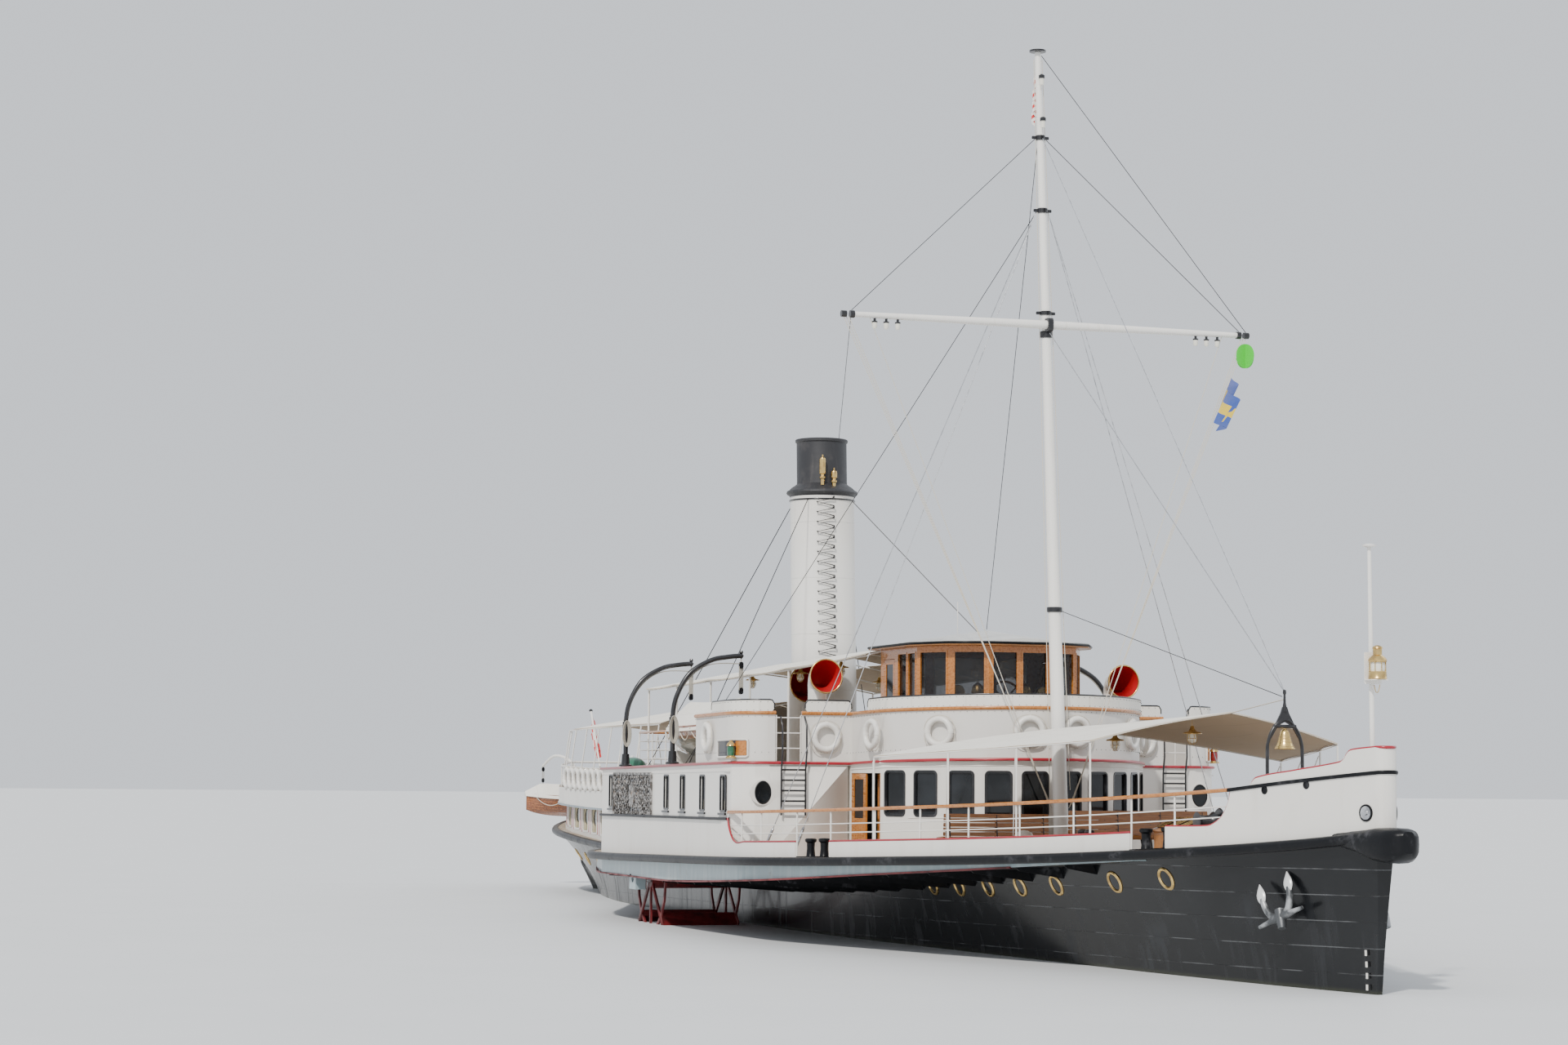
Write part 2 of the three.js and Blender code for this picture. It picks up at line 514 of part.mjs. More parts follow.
// The knuckles of a door's hinges, round the upright axis at its edge and a gap short of the frame.
const knuckles = (low, high) => join([0.15, 0.5, 0.85].map((part) => low + part * (high - low)).map(
  (z) => bar([0, 0, z - 0.07], [0, 0, z + 0.07], DOOR.gap - GAP, DOOR.gap - GAP, 8)));
const doorPane = saloonLine.slice(1, 3);
const doorAngle = Math.atan2(doorPane[1][1] - doorPane[0][1], doorPane[1][0] - doorPane[0][0]);
const doorMiddle = [(doorPane[0][0] + doorPane[1][0]) / 2, (doorPane[0][1] + doorPane[1][1]) / 2];
const doorSill = deckTop(doorPane[0][0]) + 0.05;
const saloonPanes = saloonLine.slice(2).map((point, i, list) => [point, list[i + 1]]).slice(0, -1);
piece(houses, 'fore_saloon', without(
  houseWalls(saloonLine, HOUSE_WALL, onDeck, underPromenade, LINES, PROMENADE),
  [...saloonPanes.flatMap(([from, to]) => paneCuts(from, to, 0.56, WINDOW_SILL, WINDOW_HEAD)),
    ...paneCuts(...doorPane, 2 * DOOR.width + 3 * DOOR.gap, doorSill, DOOR.head)]), 'white');

// Saloon door leaves, hung at their outer edges and swinging in; the fore leaf stands a little open.
const FORE_LEAF_OPEN = THREE.MathUtils.degToRad(20);
for (const [side, name] of SIDES) {
  for (const [end, which, open] of [[-1, 'aft', 0], [1, 'fore', FORE_LEAF_OPEN]]) {
    const reach = end * (DOOR.width + 0.5 * DOOR.gap);
    const hinge = [doorMiddle[0] + reach * Math.cos(doorAngle) + 0.045 * Math.sin(doorAngle),
      side * (doorMiddle[1] + reach * Math.sin(doorAngle) - 0.045 * Math.cos(doorAngle))];
    const low = doorSill + DOOR.gap;
    const high = DOOR.head - DOOR.gap;
    const [from, to] = end < 0 ? [0, DOOR.width] : [-DOOR.width, 0];
    const face = side * DOOR.thickness;
    const leaf = box(from, to, 0, face, low, high).subtract(
      box(from + 0.13, to - 0.13, -1, 1, low + 0.85, high - 0.13)).add(knuckles(low, high));
    piece(houses, `saloon_door_${which}_${name}`, leaf, 'varnish', [hinge[0], hinge[1], 0],
      [0, 0, side * (doorAngle + end * open)]);
  }
}

// Midship casing between the paddle boxes, over the engine and boiler.
piece(houses, 'midship_casing', without(
  band(stations(CASING.aft, CASING.fore, LINES, PROMENADE), () => CASING.half, onDeck, underPromenade)
    .subtract(box(CASING.aft + HOUSE_WALL, CASING.fore - HOUSE_WALL, -CASING.half + HOUSE_WALL,
      CASING.half - HOUSE_WALL, 1, 5)),
  [-4.5, -6.1, -7.7].map((x) => box(x - 0.3, x + 0.3, -4, 4, 2.6, 3.4))), 'white');

// Aft saloon with its row of windows, under the raised aft deck.
const aftWindows = Array.from({ length: AFT_WINDOWS.count }, (_, i) => {
  const x = AFT_WINDOWS.first + i * AFT_WINDOWS.pitch;
  const rise = deckTop(x) - deckTop(-18);
  return box(x - AFT_WINDOWS.width / 2, x + AFT_WINDOWS.width / 2, -4, 4, AFT_WINDOWS.sill + rise,
    AFT_WINDOWS.head + rise * 0.5);
});
piece(houses, 'aft_saloon', without(houseWalls(AFT_SALOON, HOUSE_WALL, onDeck,
  (x) => aftDeck(x) - DECK_ABOVE - GAP, LINES, AFT_DECK), aftWindows), 'white');

// Promenade deck over the fore saloon, paddle boxes and casing, one plate with rounded fore corners.
const plate = (xs, half) => band(xs, half, (x) => promenade(x) - DECK_ABOVE, promenade);
const promenadeDeck = join([
  plate(stations(-9.4, -3.3, PROMENADE), () => 3.7),
  plate(stations(-3.43, BOX.fore + 0.03, PROMENADE, BOX_CORNER), (x) => boxHalf(x - 0.03) + 0.03),
  plate(stations(8.8, 13.05, PROMENADE, saloonLine), (x) => saloonHalf(x - 0.04) + 0.04)]);
piece(houses, 'promenade_deck', promenadeDeck, 'greyWhite');

// Raised aft deck with its fascia, and pillars at the stern.
const aftHalf = (x) => (x > -14 ? 3.1 : deckHalf(x) - 0.04);
const aftStations = stations(-28.1, -9.45, LINES, AFT_DECK);
const aftPlate = band(aftStations, aftHalf, (x) => aftDeck(x) - DECK_ABOVE, aftDeck);
const fascia = band(aftStations, aftHalf, (x) => aftDeck(x) - 0.3, (x) => aftDeck(x) + 0.24).subtract(
  band(stations(-28.02, -9.3, LINES), (x) => aftHalf(x) - 0.06, () => 2, () => 5));
const sternPillars = [[-27.9, 0.45], [-27.5, 0.8]].flatMap(([x, y]) => SIDES.map(([side]) => bar(
  [x, side * y, deckTop(x) + 0.004], [x, side * y, aftDeck(x) - 0.02], 0.05)));
piece(houses, 'aft_deck', join([aftPlate, fascia, ...sternPillars]), 'white');

// Rail round the aft deck: stanchions, rods, handrail, lifebuoys, awning posts, ensign staff and the davits
// of the boat under the stern.
const AFT_POSTS = [-9.8, -12, -16, -20, -24, -27.2];
const AFT_RAIL = 0.92;
const AFT_AWNING_POSTS = [-10, -14, -18, -22, -25.8];
const AFT_ROD = 0.5;
const AFT_AWNING_EDGE = 5.24;
const BUOY = { outer: 0.29, tube: 0.065 };
const BUOYS_AFT = [-13, -17, -21, -24.9];
const aftRailHalf = (x) => aftHalf(x) - 0.09;

// A lifebuoy as a ring whose face looks along the given angle from the X axis.
function buoy(x, y, z, angle) {
  return solid(new THREE.TorusGeometry(BUOY.outer, BUOY.tube, 4, 8).rotateX(Math.PI / 2)
    .rotateZ(angle - Math.PI / 2).translate(x, y, z));
}

const aftRailXs = stations(-27.6, -9.7, LINES, AFT_DECK).toReversed();
const aftRun = (up, radius) => rail(roundShip(aftRailXs.map((x) => [x, aftRailHalf(x), aftDeck(x) + up])),
  radius);
const aftRailParts = SIDES.flatMap(([side]) => {
  const at = (x, up) => [x, side * aftRailHalf(x), aftDeck(x) + up];
  const awning = (x) => [x, side * (aftRailHalf(x) - 0.25), AFT_AWNING_EDGE];
  return [...AFT_POSTS.map((x) => bar(at(x, 0.0025), at(x, AFT_RAIL), 0.022)),
    ...AFT_AWNING_POSTS.map((x) => bar(at(x, 0.3), awning(x), 0.028)),
    rail(AFT_AWNING_POSTS.map(awning), 0.02),
    ...BUOYS_AFT.map((x) => buoy(x, side * (aftRailHalf(x) + 0.08), aftDeck(x) + AFT_RAIL - 0.30,
      side * Math.PI / 2))];
});
const ensignStaff = bar([-27.27, 0, 3.36], [-29.18, 0, 6.05], 0.045, 0.03, 8);
const STERN_BOAT = { x: -29.5, length: 4.4, beam: 1.4, keel: 2.38, gunwale: 3.05, ridge: 3.42 };
const STERN_DAVIT = [[-27.59, 0.84, 3.325], [-27.62, 0.86, 3.9], [-27.9, 1.1, 4.32], [-28.7, 1.4, 4.44],
  [STERN_BOAT.x, 1.6, 4.1]];
const sternDavits = SIDES.map(([side]) => tube(STERN_DAVIT.map(([x, y, z]) => [x, side * y, z]), 0.05, 8, 5));
const sternFalls = SIDES.map(([side]) => bar([STERN_BOAT.x, side * 1.58, 4.13],
  [STERN_BOAT.x, side * 1.58, STERN_BOAT.ridge + 0.0316], 0.02));
piece(houses, 'aft_rail', join([aftRun(AFT_RAIL, 0.035), aftRun(AFT_ROD, 0.015), ...aftRailParts, ensignStaff,
  ...sternDavits, ...sternFalls]), 'white');

// A ship's boat: a pointed or transomed hull with a ridged cover, its length along X.
function boatBody(length, beam, keel, gunwale, ridge) {
  const rows = [[-0.5, 0.05, 0.55], [-0.44, 0.5, 0.3], [-0.3, 0.85, 0.1], [-0.1, 1, 0], [0.1, 1, 0],
    [0.3, 0.85, 0.1], [0.44, 0.5, 0.3], [0.5, 0.05, 0.55]];
  return skin(rows.map(([u, w, lift]) => {
    const half = (beam / 2) * w;
    const low = keel + lift * (gunwale - keel);
    const high = gunwale + 0.10 * Math.abs(u) * 2;
    const peak = high + (ridge - gunwale) * Math.min(1, (0.5 - Math.abs(u)) * 12);
    const mid = (a, b, t) => a + (b - a) * t;
    return [[0, low], [half * 0.55, mid(low, high, 0.08)], [half * 0.9, mid(low, high, 0.4)], [half, high],
      [half + 0.03, high + 0.03], [half * 0.5, mid(high, peak, 0.62)], [0, peak],
      [-half * 0.5, mid(high, peak, 0.62)], [-half - 0.03, high + 0.03], [-half, high],
      [-half * 0.9, mid(low, high, 0.4)], [-half * 0.55, mid(low, high, 0.08)]]
      .map(([y, z]) => [u * length, y, z]);
  }));
}

const boats = group('boats');
piece(boats, 'stern_boat', boatBody(STERN_BOAT.length, STERN_BOAT.beam, 0,
  STERN_BOAT.gunwale - STERN_BOAT.keel, STERN_BOAT.ridge - STERN_BOAT.keel), 'varnish',
[STERN_BOAT.x, 0, STERN_BOAT.keel], [0, 0, Math.PI / 2]);

// Lifeboats in their chocks on the promenade deck, and the davits outside them with their falls.
for (const [side, name] of SIDES) {
  const hullOf = boatBody(BOAT.length, BOAT.beam, BOAT.keel - promenade(BOAT.x),
    BOAT.gunwale - promenade(BOAT.x), BOAT.ridge - promenade(BOAT.x));
  const chocks = [-1.7, 1.7].map((x) => box(x - 0.06, x + 0.06, -0.62, 0.62,
    promenade(BOAT.x + x) - promenade(BOAT.x) + GAP + 0.001, 0.42));
  piece(boats, `lifeboat_${name}`, join([hullOf, ...chocks]), 'varnish',
    [BOAT.x, side * BOAT.y, promenade(BOAT.x)]);
  for (const [x, end] of DAVITS) {
    const foot = promenade(x) + 0.002;
    const arm = tube([[0, 0, 0.3], [0, 0, 1.2], [0, 0.10, 1.7], [0, 0.42, 2.25], [0, 0.95, 2.58],
      [0, DAVIT_REACH + 0.03, 2.72]], 0.062, 8, 6);
    const base = turned([[0, GAP], [0.17, GAP], [0.17, 0.06], [0.10, 0.08], [0.09, 0.34], [0, 0.34]], 10);
    const falls = join([bar([0, DAVIT_REACH, 2.78], [0, DAVIT_REACH, 1.86], 0.022, 0.022, 6),
      bar([0, DAVIT_REACH, 2.46], [0, DAVIT_REACH, 2.28], 0.075, 0.075, 6),
      bar([0, DAVIT_REACH, 2.02], [0, DAVIT_REACH, 1.84], 0.075, 0.075, 6)]);
    piece(boats, `davit_${end}_${name}`, join([arm, base, falls]), 'iron', [x, side * DAVIT_FOOT, foot],
      [0, 0, side < 0 ? 0 : Math.PI]);
  }
}

// Bridge bulwark round the front of the promenade deck, with its wings, gate rails and lifebuoys.
const bridge = group('bridge');
const BULWARK_HIGH = 1.36;
const HANDRAIL = 1.10;
const bridgeLine = saloonLine.slice(1).map(([x, y]) => [x, Math.max(0.01, y - 0.03)]);
const frontWall = houseWalls([[8.84, SALOON.half - 0.03], ...bridgeLine], 0.05, onPromenade,
  (x) => promenade(x) + BULWARK_HIGH, PROMENADE).subtract(box(8, 8.9, -3.25, 3.25, 3, 7));
// A lifebuoy against a plate, hung from the handrail above it by a short strap.
function hungBuoy(x, y, z, railHeight, angle) {
  const clear = BUOY.tube + 0.012;
  const [px, py] = [x + clear * Math.cos(angle), y + clear * Math.sin(angle)];
  const strapFoot = [px - 0.02 * Math.cos(angle), py - 0.02 * Math.sin(angle), z + BUOY.outer];
  const strapTop = [x + 0.01 * Math.cos(angle), y + 0.01 * Math.sin(angle), railHeight];
  return [buoy(px, py, z, angle), bar(strapFoot, strapTop, 0.02)];
}

// The wings' corners in plan, from the gate beside the ladder round to the after end.
const WING_CORNER = [[8.83, 5.16], [8.83, 5.3], [8.75, 5.58], [8.58, 5.82], [8.3, 5.98], [7.9, 6.05],
  [5.4, 6.05]];
const wingParts = SIDES.flatMap(([side]) => {
  const wing = box(8.80, 8.85, side * 3.26, side * 4.52, promenade(8.8) + 0.002, 5.42);
  const outer = WING_CORNER.slice(1).map((point, i) => {
    const [from, to] = [WING_CORNER[i], point];
    const length = Math.hypot(to[0] - from[0], to[1] - from[1]);
    const angle = Math.atan2(to[1] - from[1], to[0] - from[0]);
    return solid(new THREE.BoxGeometry(length + 0.05, 0.05, 1.32).rotateZ(angle)
      .translate((from[0] + to[0]) / 2, (from[1] + to[1]) / 2, promenade(8) + 0.67)
      .scale(1, side, 1));
  });
  const trimmed = join(outer).subtract(plate([4, 10], () => 8).add(box(4, 10, -8, 8, 3,
    promenade(4)))).subtract(band([4, 8.9, 10], () => 8, () => 3, onPromenade));
  const gate = [0.3, 0.65, 1.0].map((up) => bar([8.825, side * 4.4, promenade(8.8) + up],
    [8.825, side * 5.25, promenade(8.8) + up], 0.014));
  const rails = [bar([8.87, side * 3.3, 5.19], [8.87, side * 4.55, 5.19], 0.035),
    bar([8.0, side * 6.08, 5.15], [5.35, side * 6.08, 5.12], 0.035)];
  return [wing, trimmed, ...gate, ...rails, ...hungBuoy(5.9, side * 6.075, 4.68, 5.14, side * Math.PI / 2),
    ...hungBuoy(8.85, side * 3.95, 4.68, 5.18, 0)];
});
const handrail = rail(roundShip(bridgeLine.map(([x, y]) => [x + 0.02, y + 0.015,
  promenade(x) + HANDRAIL])), 0.035);
const frontBuoys = [[9.9, 1.35], [11.75, 0.85], [12.93, 0.10]].flatMap(([x, angle]) => SIDES.flatMap(
  ([side]) => hungBuoy(x + 0.02, side * (along(bridgeLine, x) + 0.02), promenade(x) + 0.60,
    promenade(x) + HANDRAIL, side * angle)));
piece(bridge, 'bridge_bulwark', join([frontWall, ...wingParts, handrail, ...frontBuoys]), 'greyWhite');

// Wheelhouse: varnished posts and panels with a window in each pane, and a door in each side.
const wheelhousePanes = WHEELHOUSE.slice(1).map((point, i) => [WHEELHOUSE[i], point]);
const WHEELHOUSE_DOOR = { from: 7.45, to: 8.17, low: 4.16, high: 6.52 };
const PANE = { sill: 5.62, head: 6.62 };
const wheelhouseWalls = houseWalls(WHEELHOUSE, 0.07, onPromenade, () => WHEELHOUSE_TOP, PROMENADE);
const sidePosts = [[8.42, 9.0], [9.1, 9.6]];
piece(bridge, 'wheelhouse', without(wheelhouseWalls, [
  ...wheelhousePanes.slice(1).flatMap(([from, to]) => paneCuts(from, to,
    Math.hypot(to[0] - from[0], to[1] - from[1]) - 0.2, PANE.sill, PANE.head)),
  ...[[-0.66, -0.06], [0.06, 0.66]].map(([y0, y1]) => box(10.5, 11.5, y0, y1, PANE.sill, PANE.head)),
  ...sidePosts.map(([x0, x1]) => box(x0, x1, -3, 3, PANE.sill, PANE.head)),
  ...[[-1.7, -0.9], [-0.7, 0.7], [0.9, 1.7]].map(
    ([y0, y1]) => box(7, 7.4, y0, y1, PANE.sill, PANE.head)),
  ...SIDES.map(([side]) => box(WHEELHOUSE_DOOR.from, WHEELHOUSE_DOOR.to, side * 1.8, side * 2.3,
    WHEELHOUSE_DOOR.low, WHEELHOUSE_DOOR.high))]), 'varnish');
for (const [side, name] of SIDES) {
  const width = WHEELHOUSE_DOOR.to - WHEELHOUSE_DOOR.from - 0.024;
  const leaf = box(0, width, 0, -side * 0.045, WHEELHOUSE_DOOR.low + 0.012, WHEELHOUSE_DOOR.high - 0.012)
    .subtract(box(0.1, width - 0.1, -1, 1, 5.62, 6.4))
    .add(knuckles(WHEELHOUSE_DOOR.low, WHEELHOUSE_DOOR.high));
  piece(bridge, `wheelhouse_door_${name}`, leaf, 'varnish', [WHEELHOUSE_DOOR.from + 0.012, side * 2.02, 0]);
}
const roofLine = [[6.95, 2.25], [9.85, 2.25], [10.85, 1.75], [11.3, 0.9]];
piece(bridge, 'wheelhouse_roof', loft(roofLine.map(([x]) => x), (x) => {
  const half = along(roofLine, x);
  const crown = 7.2 - 0.12 * Math.abs(x - 9);
  return [[-half, 6.75 + GAP], [half, 6.75 + GAP], [half, 6.85], [0, crown], [-half, 6.85]];
}), 'varnish');

// Ventilator cowls: an upright pipe that bends forward into a flared mouth.
const COWLS = [[8.0, 3.75, 0.40, 6.08, 'fore_starboard', -1], [8.0, 3.75, 0.40, 6.08, 'fore_port', 1],
  [-1.0, 1.30, 0.50, 6.20, 'aft_starboard', -1], [-1.0, 1.30, 0.50, 6.20, 'aft_port', 1]];
for (const [x, y, radius, height, name, side] of COWLS) {
  const neck = radius * 0.55;
  const bendFrom = height - promenade(x) - radius * 1.25;
  const path = [[-radius * 0.9, bendFrom], [-radius * 0.85, bendFrom + radius * 0.75],
    [-radius * 0.4, bendFrom + radius * 1.12], [radius * 0.35, bendFrom + radius * 1.25],
    [radius * 0.75, bendFrom + radius * 1.25]];
  const heading = [0, 25, 60, 88, 90].map((d) => THREE.MathUtils.degToRad(d));
  const loop = (at, r, turn, shrink) => Array.from({ length: 12 }, (_, i) => {
    const a = (i / 12) * Math.PI * 2;
    const [across, up] = [(r - shrink) * Math.cos(a), (r - shrink) * Math.sin(a)];
    return [at[0] - up * Math.cos(turn), across, at[1] + up * Math.sin(turn)];
  });
  const widths = [neck, neck * 1.05, neck * 1.25, radius * 0.86, radius];
  const foot = [[-radius * 0.9, GAP], neck, 0];
  const outer = [loop(...foot, 0), ...path.map((at, i) => loop(at, widths[i], heading[i], 0))];
  const mouth = path.map((at, i) => loop(at, widths[i], heading[i], 0.025)).slice(1);
  mouth.push(loop([radius * 0.75 + 0.1, path[4][1]], widths[4], heading[4], 0.0));
  const throat = loop([-radius * 0.9, bendFrom - radius * 0.6], neck, 0, 0.025);
  const bend = loop(path[0], widths[0], 0, 0.025);
  piece(bridge, `cowl_${name}`, skin(outer).subtract(skin([throat, bend, ...mouth])), 'white',
    [x, side * y, promenade(x - radius * 0.9) + 0.003]);
}

// Funnel: a raked hollow tube with a rolled collar and a narrower black top.
const funnelTop = FUNNEL.top - promenade(FUNNEL.x);
const funnelCollar = FUNNEL.collar - promenade(FUNNEL.x);
const funnelTurned = turned([[FUNNEL.radius, -0.3], [FUNNEL.radius, funnelCollar - 0.12],
  [FUNNEL.radius + 0.09, funnelCollar - 0.05], [FUNNEL.radius + 0.09, funnelCollar + 0.03],
  [FUNNEL.radius - 0.05, funnelCollar + 0.12], [FUNNEL.capRadius, funnelCollar + 0.14],
  [FUNNEL.capRadius, funnelTop - 0.05], [FUNNEL.capRadius + 0.03, funnelTop - 0.03],
  [FUNNEL.capRadius + 0.03, funnelTop], [FUNNEL.capRadius - 0.05, funnelTop],
  [FUNNEL.capRadius - 0.05, 4.0], [0, 4.0], [0, -0.3]], 20);
const rakeMatrix = new THREE.Matrix4().makeRotationY(-FUNNEL.rake);
piece(bridge, 'funnel', moved(funnelTurned, rakeMatrix).subtract(band(
  [-1.5, PROMENADE[1][0] - FUNNEL.x, 1.5], () => 2, () => -1,
  (x) => onPromenade(FUNNEL.x + x) - promenade(FUNNEL.x))), 'white',
[FUNNEL.x, 0, promenade(FUNNEL.x)]);

// Companion hood with an arched roof at the after end of the promenade deck.
const hoodArch = (half, rise, faces = 8) => [[half, 0], ...Array.from({ length: faces + 1 }, (_, i) => {
  const a = (i / faces) * Math.PI;
  return [half * Math.cos(a), rise + half * 0.55 * Math.sin(a)];
}), [-half, 0]];
const hood = (x0, x1, half, rise, low) => skin([x0, x1].map(
  (x) => hoodArch(half, rise).map(([y, z]) => [x, y, z + low])));
piece(bridge, 'companion_hood', hood(-8.4, -6.0, 1.1, 1.3, 0.013).subtract(
  hood(-8.5, -6.06, 1.04, 1.3, -0.05)), 'canvas', [0, 0, promenade(-8.4)]);

// Rail round the after end of the promenade deck.
const PROM_POSTS = [-3.6, -6.4, -9.2];
const PROM_HALF = 3.55;
const promRun = (up, radius) => rail(roundShip([-3.58, -9.2].map((x) => [x, PROM_HALF, promenade(x) + up])),
  radius);
const promPosts = SIDES.flatMap(([side]) => [...PROM_POSTS.map((x) => [x, PROM_HALF]), [-9.2, 1.2]].map(
  ([x, y]) => bar([x, side * y, onPromenade(x) + 0.001], [x, side * y, promenade(x) + 1.05], 0.022)));
piece(bridge, 'promenade_rail', join([promRun(1.05, 0.035), promRun(0.55, 0.015), ...promPosts]), 'white');

// Frame of the promenade awning: posts on both sides joined by edge bars and cross bars.
const PROM_AWNING = [[-8.9, 3.45, 6.22, 6.75], [-6.2, 3.38, 6.27, 6.85], [-3.2, 3.28, 6.32, 6.98],
  [0.2, 3.22, 6.36, 7.02], [3.5, 3.22, 6.42, 7.06], [6.9, 2.3, 6.68, 7.08]];
const AWNING_INSET = 0.08;
const CANVAS = 0.02;
const CANVAS_CROWN = 0.03;
// Height of the bar under the canvas of a row, inset from the edge and a gap below the sloping cloth.
const edgeBar = ([, y, edge, ridge]) => edge - CANVAS - 0.0216
  + AWNING_INSET * ((ridge - edge) / 2 + CANVAS_CROWN) / (y / 2);
const frameParts = SIDES.flatMap(([side]) => [
  ...PROM_AWNING.slice(0, 5).map(([x, y, edge]) => bar(
    [x, side * (y - AWNING_INSET), onPromenade(x) + 0.001], [x, side * (y - AWNING_INSET), edge - 0.03],
    0.03)),
  rail(PROM_AWNING.map((row) => [row[0], side * (row[1] - AWNING_INSET), edgeBar(row)]), 0.022)]);
const crossBars = [0, 4].flatMap((row) => {
  const [x, y, edge, ridge] = PROM_AWNING[row];
  return SIDES.map(([side]) => bar([x, side * (y - AWNING_INSET), edge - 0.05],
    [x, -side * 0.02, ridge - 0.06], 0.02));
});
piece(bridge, 'promenade_awning_frame', join([...frameParts, ...crossBars]), 'white');

// A thin sheet over a grid of points, thick below its upper face.
function sheet(rows, thickness) {
  const across = rows[0].length;
  const top = rows.flat();
  const positions = [...top, ...top.map(([x, y, z]) => [x, y, z - thickness])].flat();
  const under = top.length;
  const index = [];
  const quad = (a, b, c, d) => index.push(a, b, c, a, c, d);
  for (let i = 0; i < rows.length - 1; i++) {
    for (let j = 0; j < across - 1; j++) {
      const [a, b, c, d] = [i * across + j, i * across + j + 1, (i + 1) * across + j + 1, (i + 1) * across + j];
      quad(a, d, c, b);
      quad(under + a, under + b, under + c, under + d);
    }
  }
  for (let j = 0; j < across - 1; j++) {
    const end = (rows.length - 1) * across + j;
    quad(j, j + 1, under + j + 1, under + j);
    quad(end + 1, end, under + end, under + end + 1);
  }
  for (let i = 0; i < rows.length - 1; i++) {
    const [a, d] = [i * across, (i + 1) * across];
    const [b, c] = [a + across - 1, d + across - 1];
    quad(d, a, under + a, under + d);
    quad(b, c, under + c, under + b);
  }
  const geometry = new THREE.BufferGeometry();
  geometry.setAttribute('position', new THREE.Float32BufferAttribute(positions, 3));
  geometry.setIndex(index);
  return solid(geometry);
}

// Awnings: canvas sheets with a ridge on the centreline and laced edges.
const awnings = group('awnings');
const awningRows = (table) => table.map(([x, y, edge, ridge]) => [[x, -y, edge], [x, -y / 2,
  (edge + ridge) / 2 + CANVAS_CROWN], [x, 0, ridge], [x, y / 2, (edge + ridge) / 2 + CANVAS_CROWN],
  [x, y, edge]]);
const funnelHole = box(FUNNEL.x - 1.5, FUNNEL.x + 1.15, -1.25, 1.25, 6, 8);
piece(awnings, 'promenade_awning', sheet(awningRows(PROM_AWNING), CANVAS).subtract(funnelHole), 'canvas');
const AFT_AWNING = [[-26.2, 1.45, 5.42], [-22, 2.30, 5.62], [-18, 2.52, 5.78], [-14, 2.78, 5.92],
  [-9.8, 2.78, 6.02]].map(([x, y, ridge]) => [x, y, AFT_AWNING_EDGE + 0.035, ridge]);
piece(awnings, 'aft_awning', sheet(awningRows(AFT_AWNING), CANVAS), 'canvas');
const foreRow = ([x, edge], ridgeX, ridge) => {
  const y = railHalf(x);
  const at = (t) => [ridgeX + (x - ridgeX) * t, y * t, ridge + (edge + 0.0415 - ridge) * t + 0.05 * Math.sin(
    Math.PI * t)];
  const mirror = ([a, b, c]) => [a, -b, c];
  return [mirror(at(1)), mirror(at(0.5)), at(0), at(0.5), at(1)];
};
const FORE_RIDGE = [[13.78, 4.86], [16.4, 4.90], [19.2, 4.97], [22.0, 5.05]];
piece(awnings, 'fore_awning', sheet(AWNING_POSTS.map((post, i) => foreRow(post, ...FORE_RIDGE[i])), CANVAS),
  'canvas');

// Foredeck bench: two slatted seats back to back with end frames.
const bench = (x) => join([box(x - 0.02, x + 0.03, -1.6, 1.6, 0.36, 0.92), box(x - 0.48, x + 0.5, -1.6, 1.6,
  0.36, 0.42), ...[-1.5, 0, 1.5].map((y) => box(x - 0.45, x + 0.45, y - 0.04, y + 0.04, -0.1, 0.4))]);
const BENCH_X = 17.6;
piece(hullGroup, 'foredeck_bench', bench(0).subtract(band([-0.6, 18 - BENCH_X, 0.6], () => 2, () => -1,
  (x) => onDeck(BENCH_X + x) - deckTop(BENCH_X))), 'teak', [BENCH_X, 0, deckTop(BENCH_X)]);

// Bow fittings: anchors, bell and its frame, and the jackstaff with its lantern.
const fittings = group('fittings');
const ANCHOR = { x: 26.15, z: 1.28, tilt: 0.47 };
const laid = ([u, y, v]) => [u * Math.cos(ANCHOR.tilt) - v * Math.sin(ANCHOR.tilt), y,
  u * Math.sin(ANCHOR.tilt) + v * Math.cos(ANCHOR.tilt)];
for (const [side, name] of SIDES) {
  const shank = bar(laid([0, 0, -0.22]), laid([0, 0, 0.12]), 0.07, 0.09, 8);
  const crown = bar(laid([-0.52, 0, 0]), laid([0.52, 0, 0]), 0.05, 0.05, 8);
  const flukes = [-1, 1].map((end) => tube([[end * 0.06, 0, 0.02], [end * 0.24, 0, 0.10],
    [end * 0.31, side * 0.03, 0.32], [end * 0.34, side * 0.05, 0.70]].map(laid), 0.065, 5, 5));
  const x = ANCHOR.x;
  const half = along(LINES, x, COLUMN.turn) + (along(LINES, x, COLUMN.top)
    - along(LINES, x, COLUMN.turn)) * (ANCHOR.z / deckTop(x)) ** 1.3;
  const anchor = join([shank, crown, ...flukes]);
  const turn = new THREE.Euler(side * 0.24, 0, side * -0.32);
  let y = half + 0.45;
  for (let i = 0; i < 6; i++) {
    const place = new THREE.Matrix4().makeRotationFromEuler(turn).setPosition(x, side * y, ANCHOR.z);
    y -= moved(anchor, place).minGap(plating, 0.5 * SCALE) / SCALE - GAP;
  }
  piece(fittings, `anchor_${name}`, anchor, 'steel', [x, side * y, ANCHOR.z], turn.toArray().slice(0, 3));
}

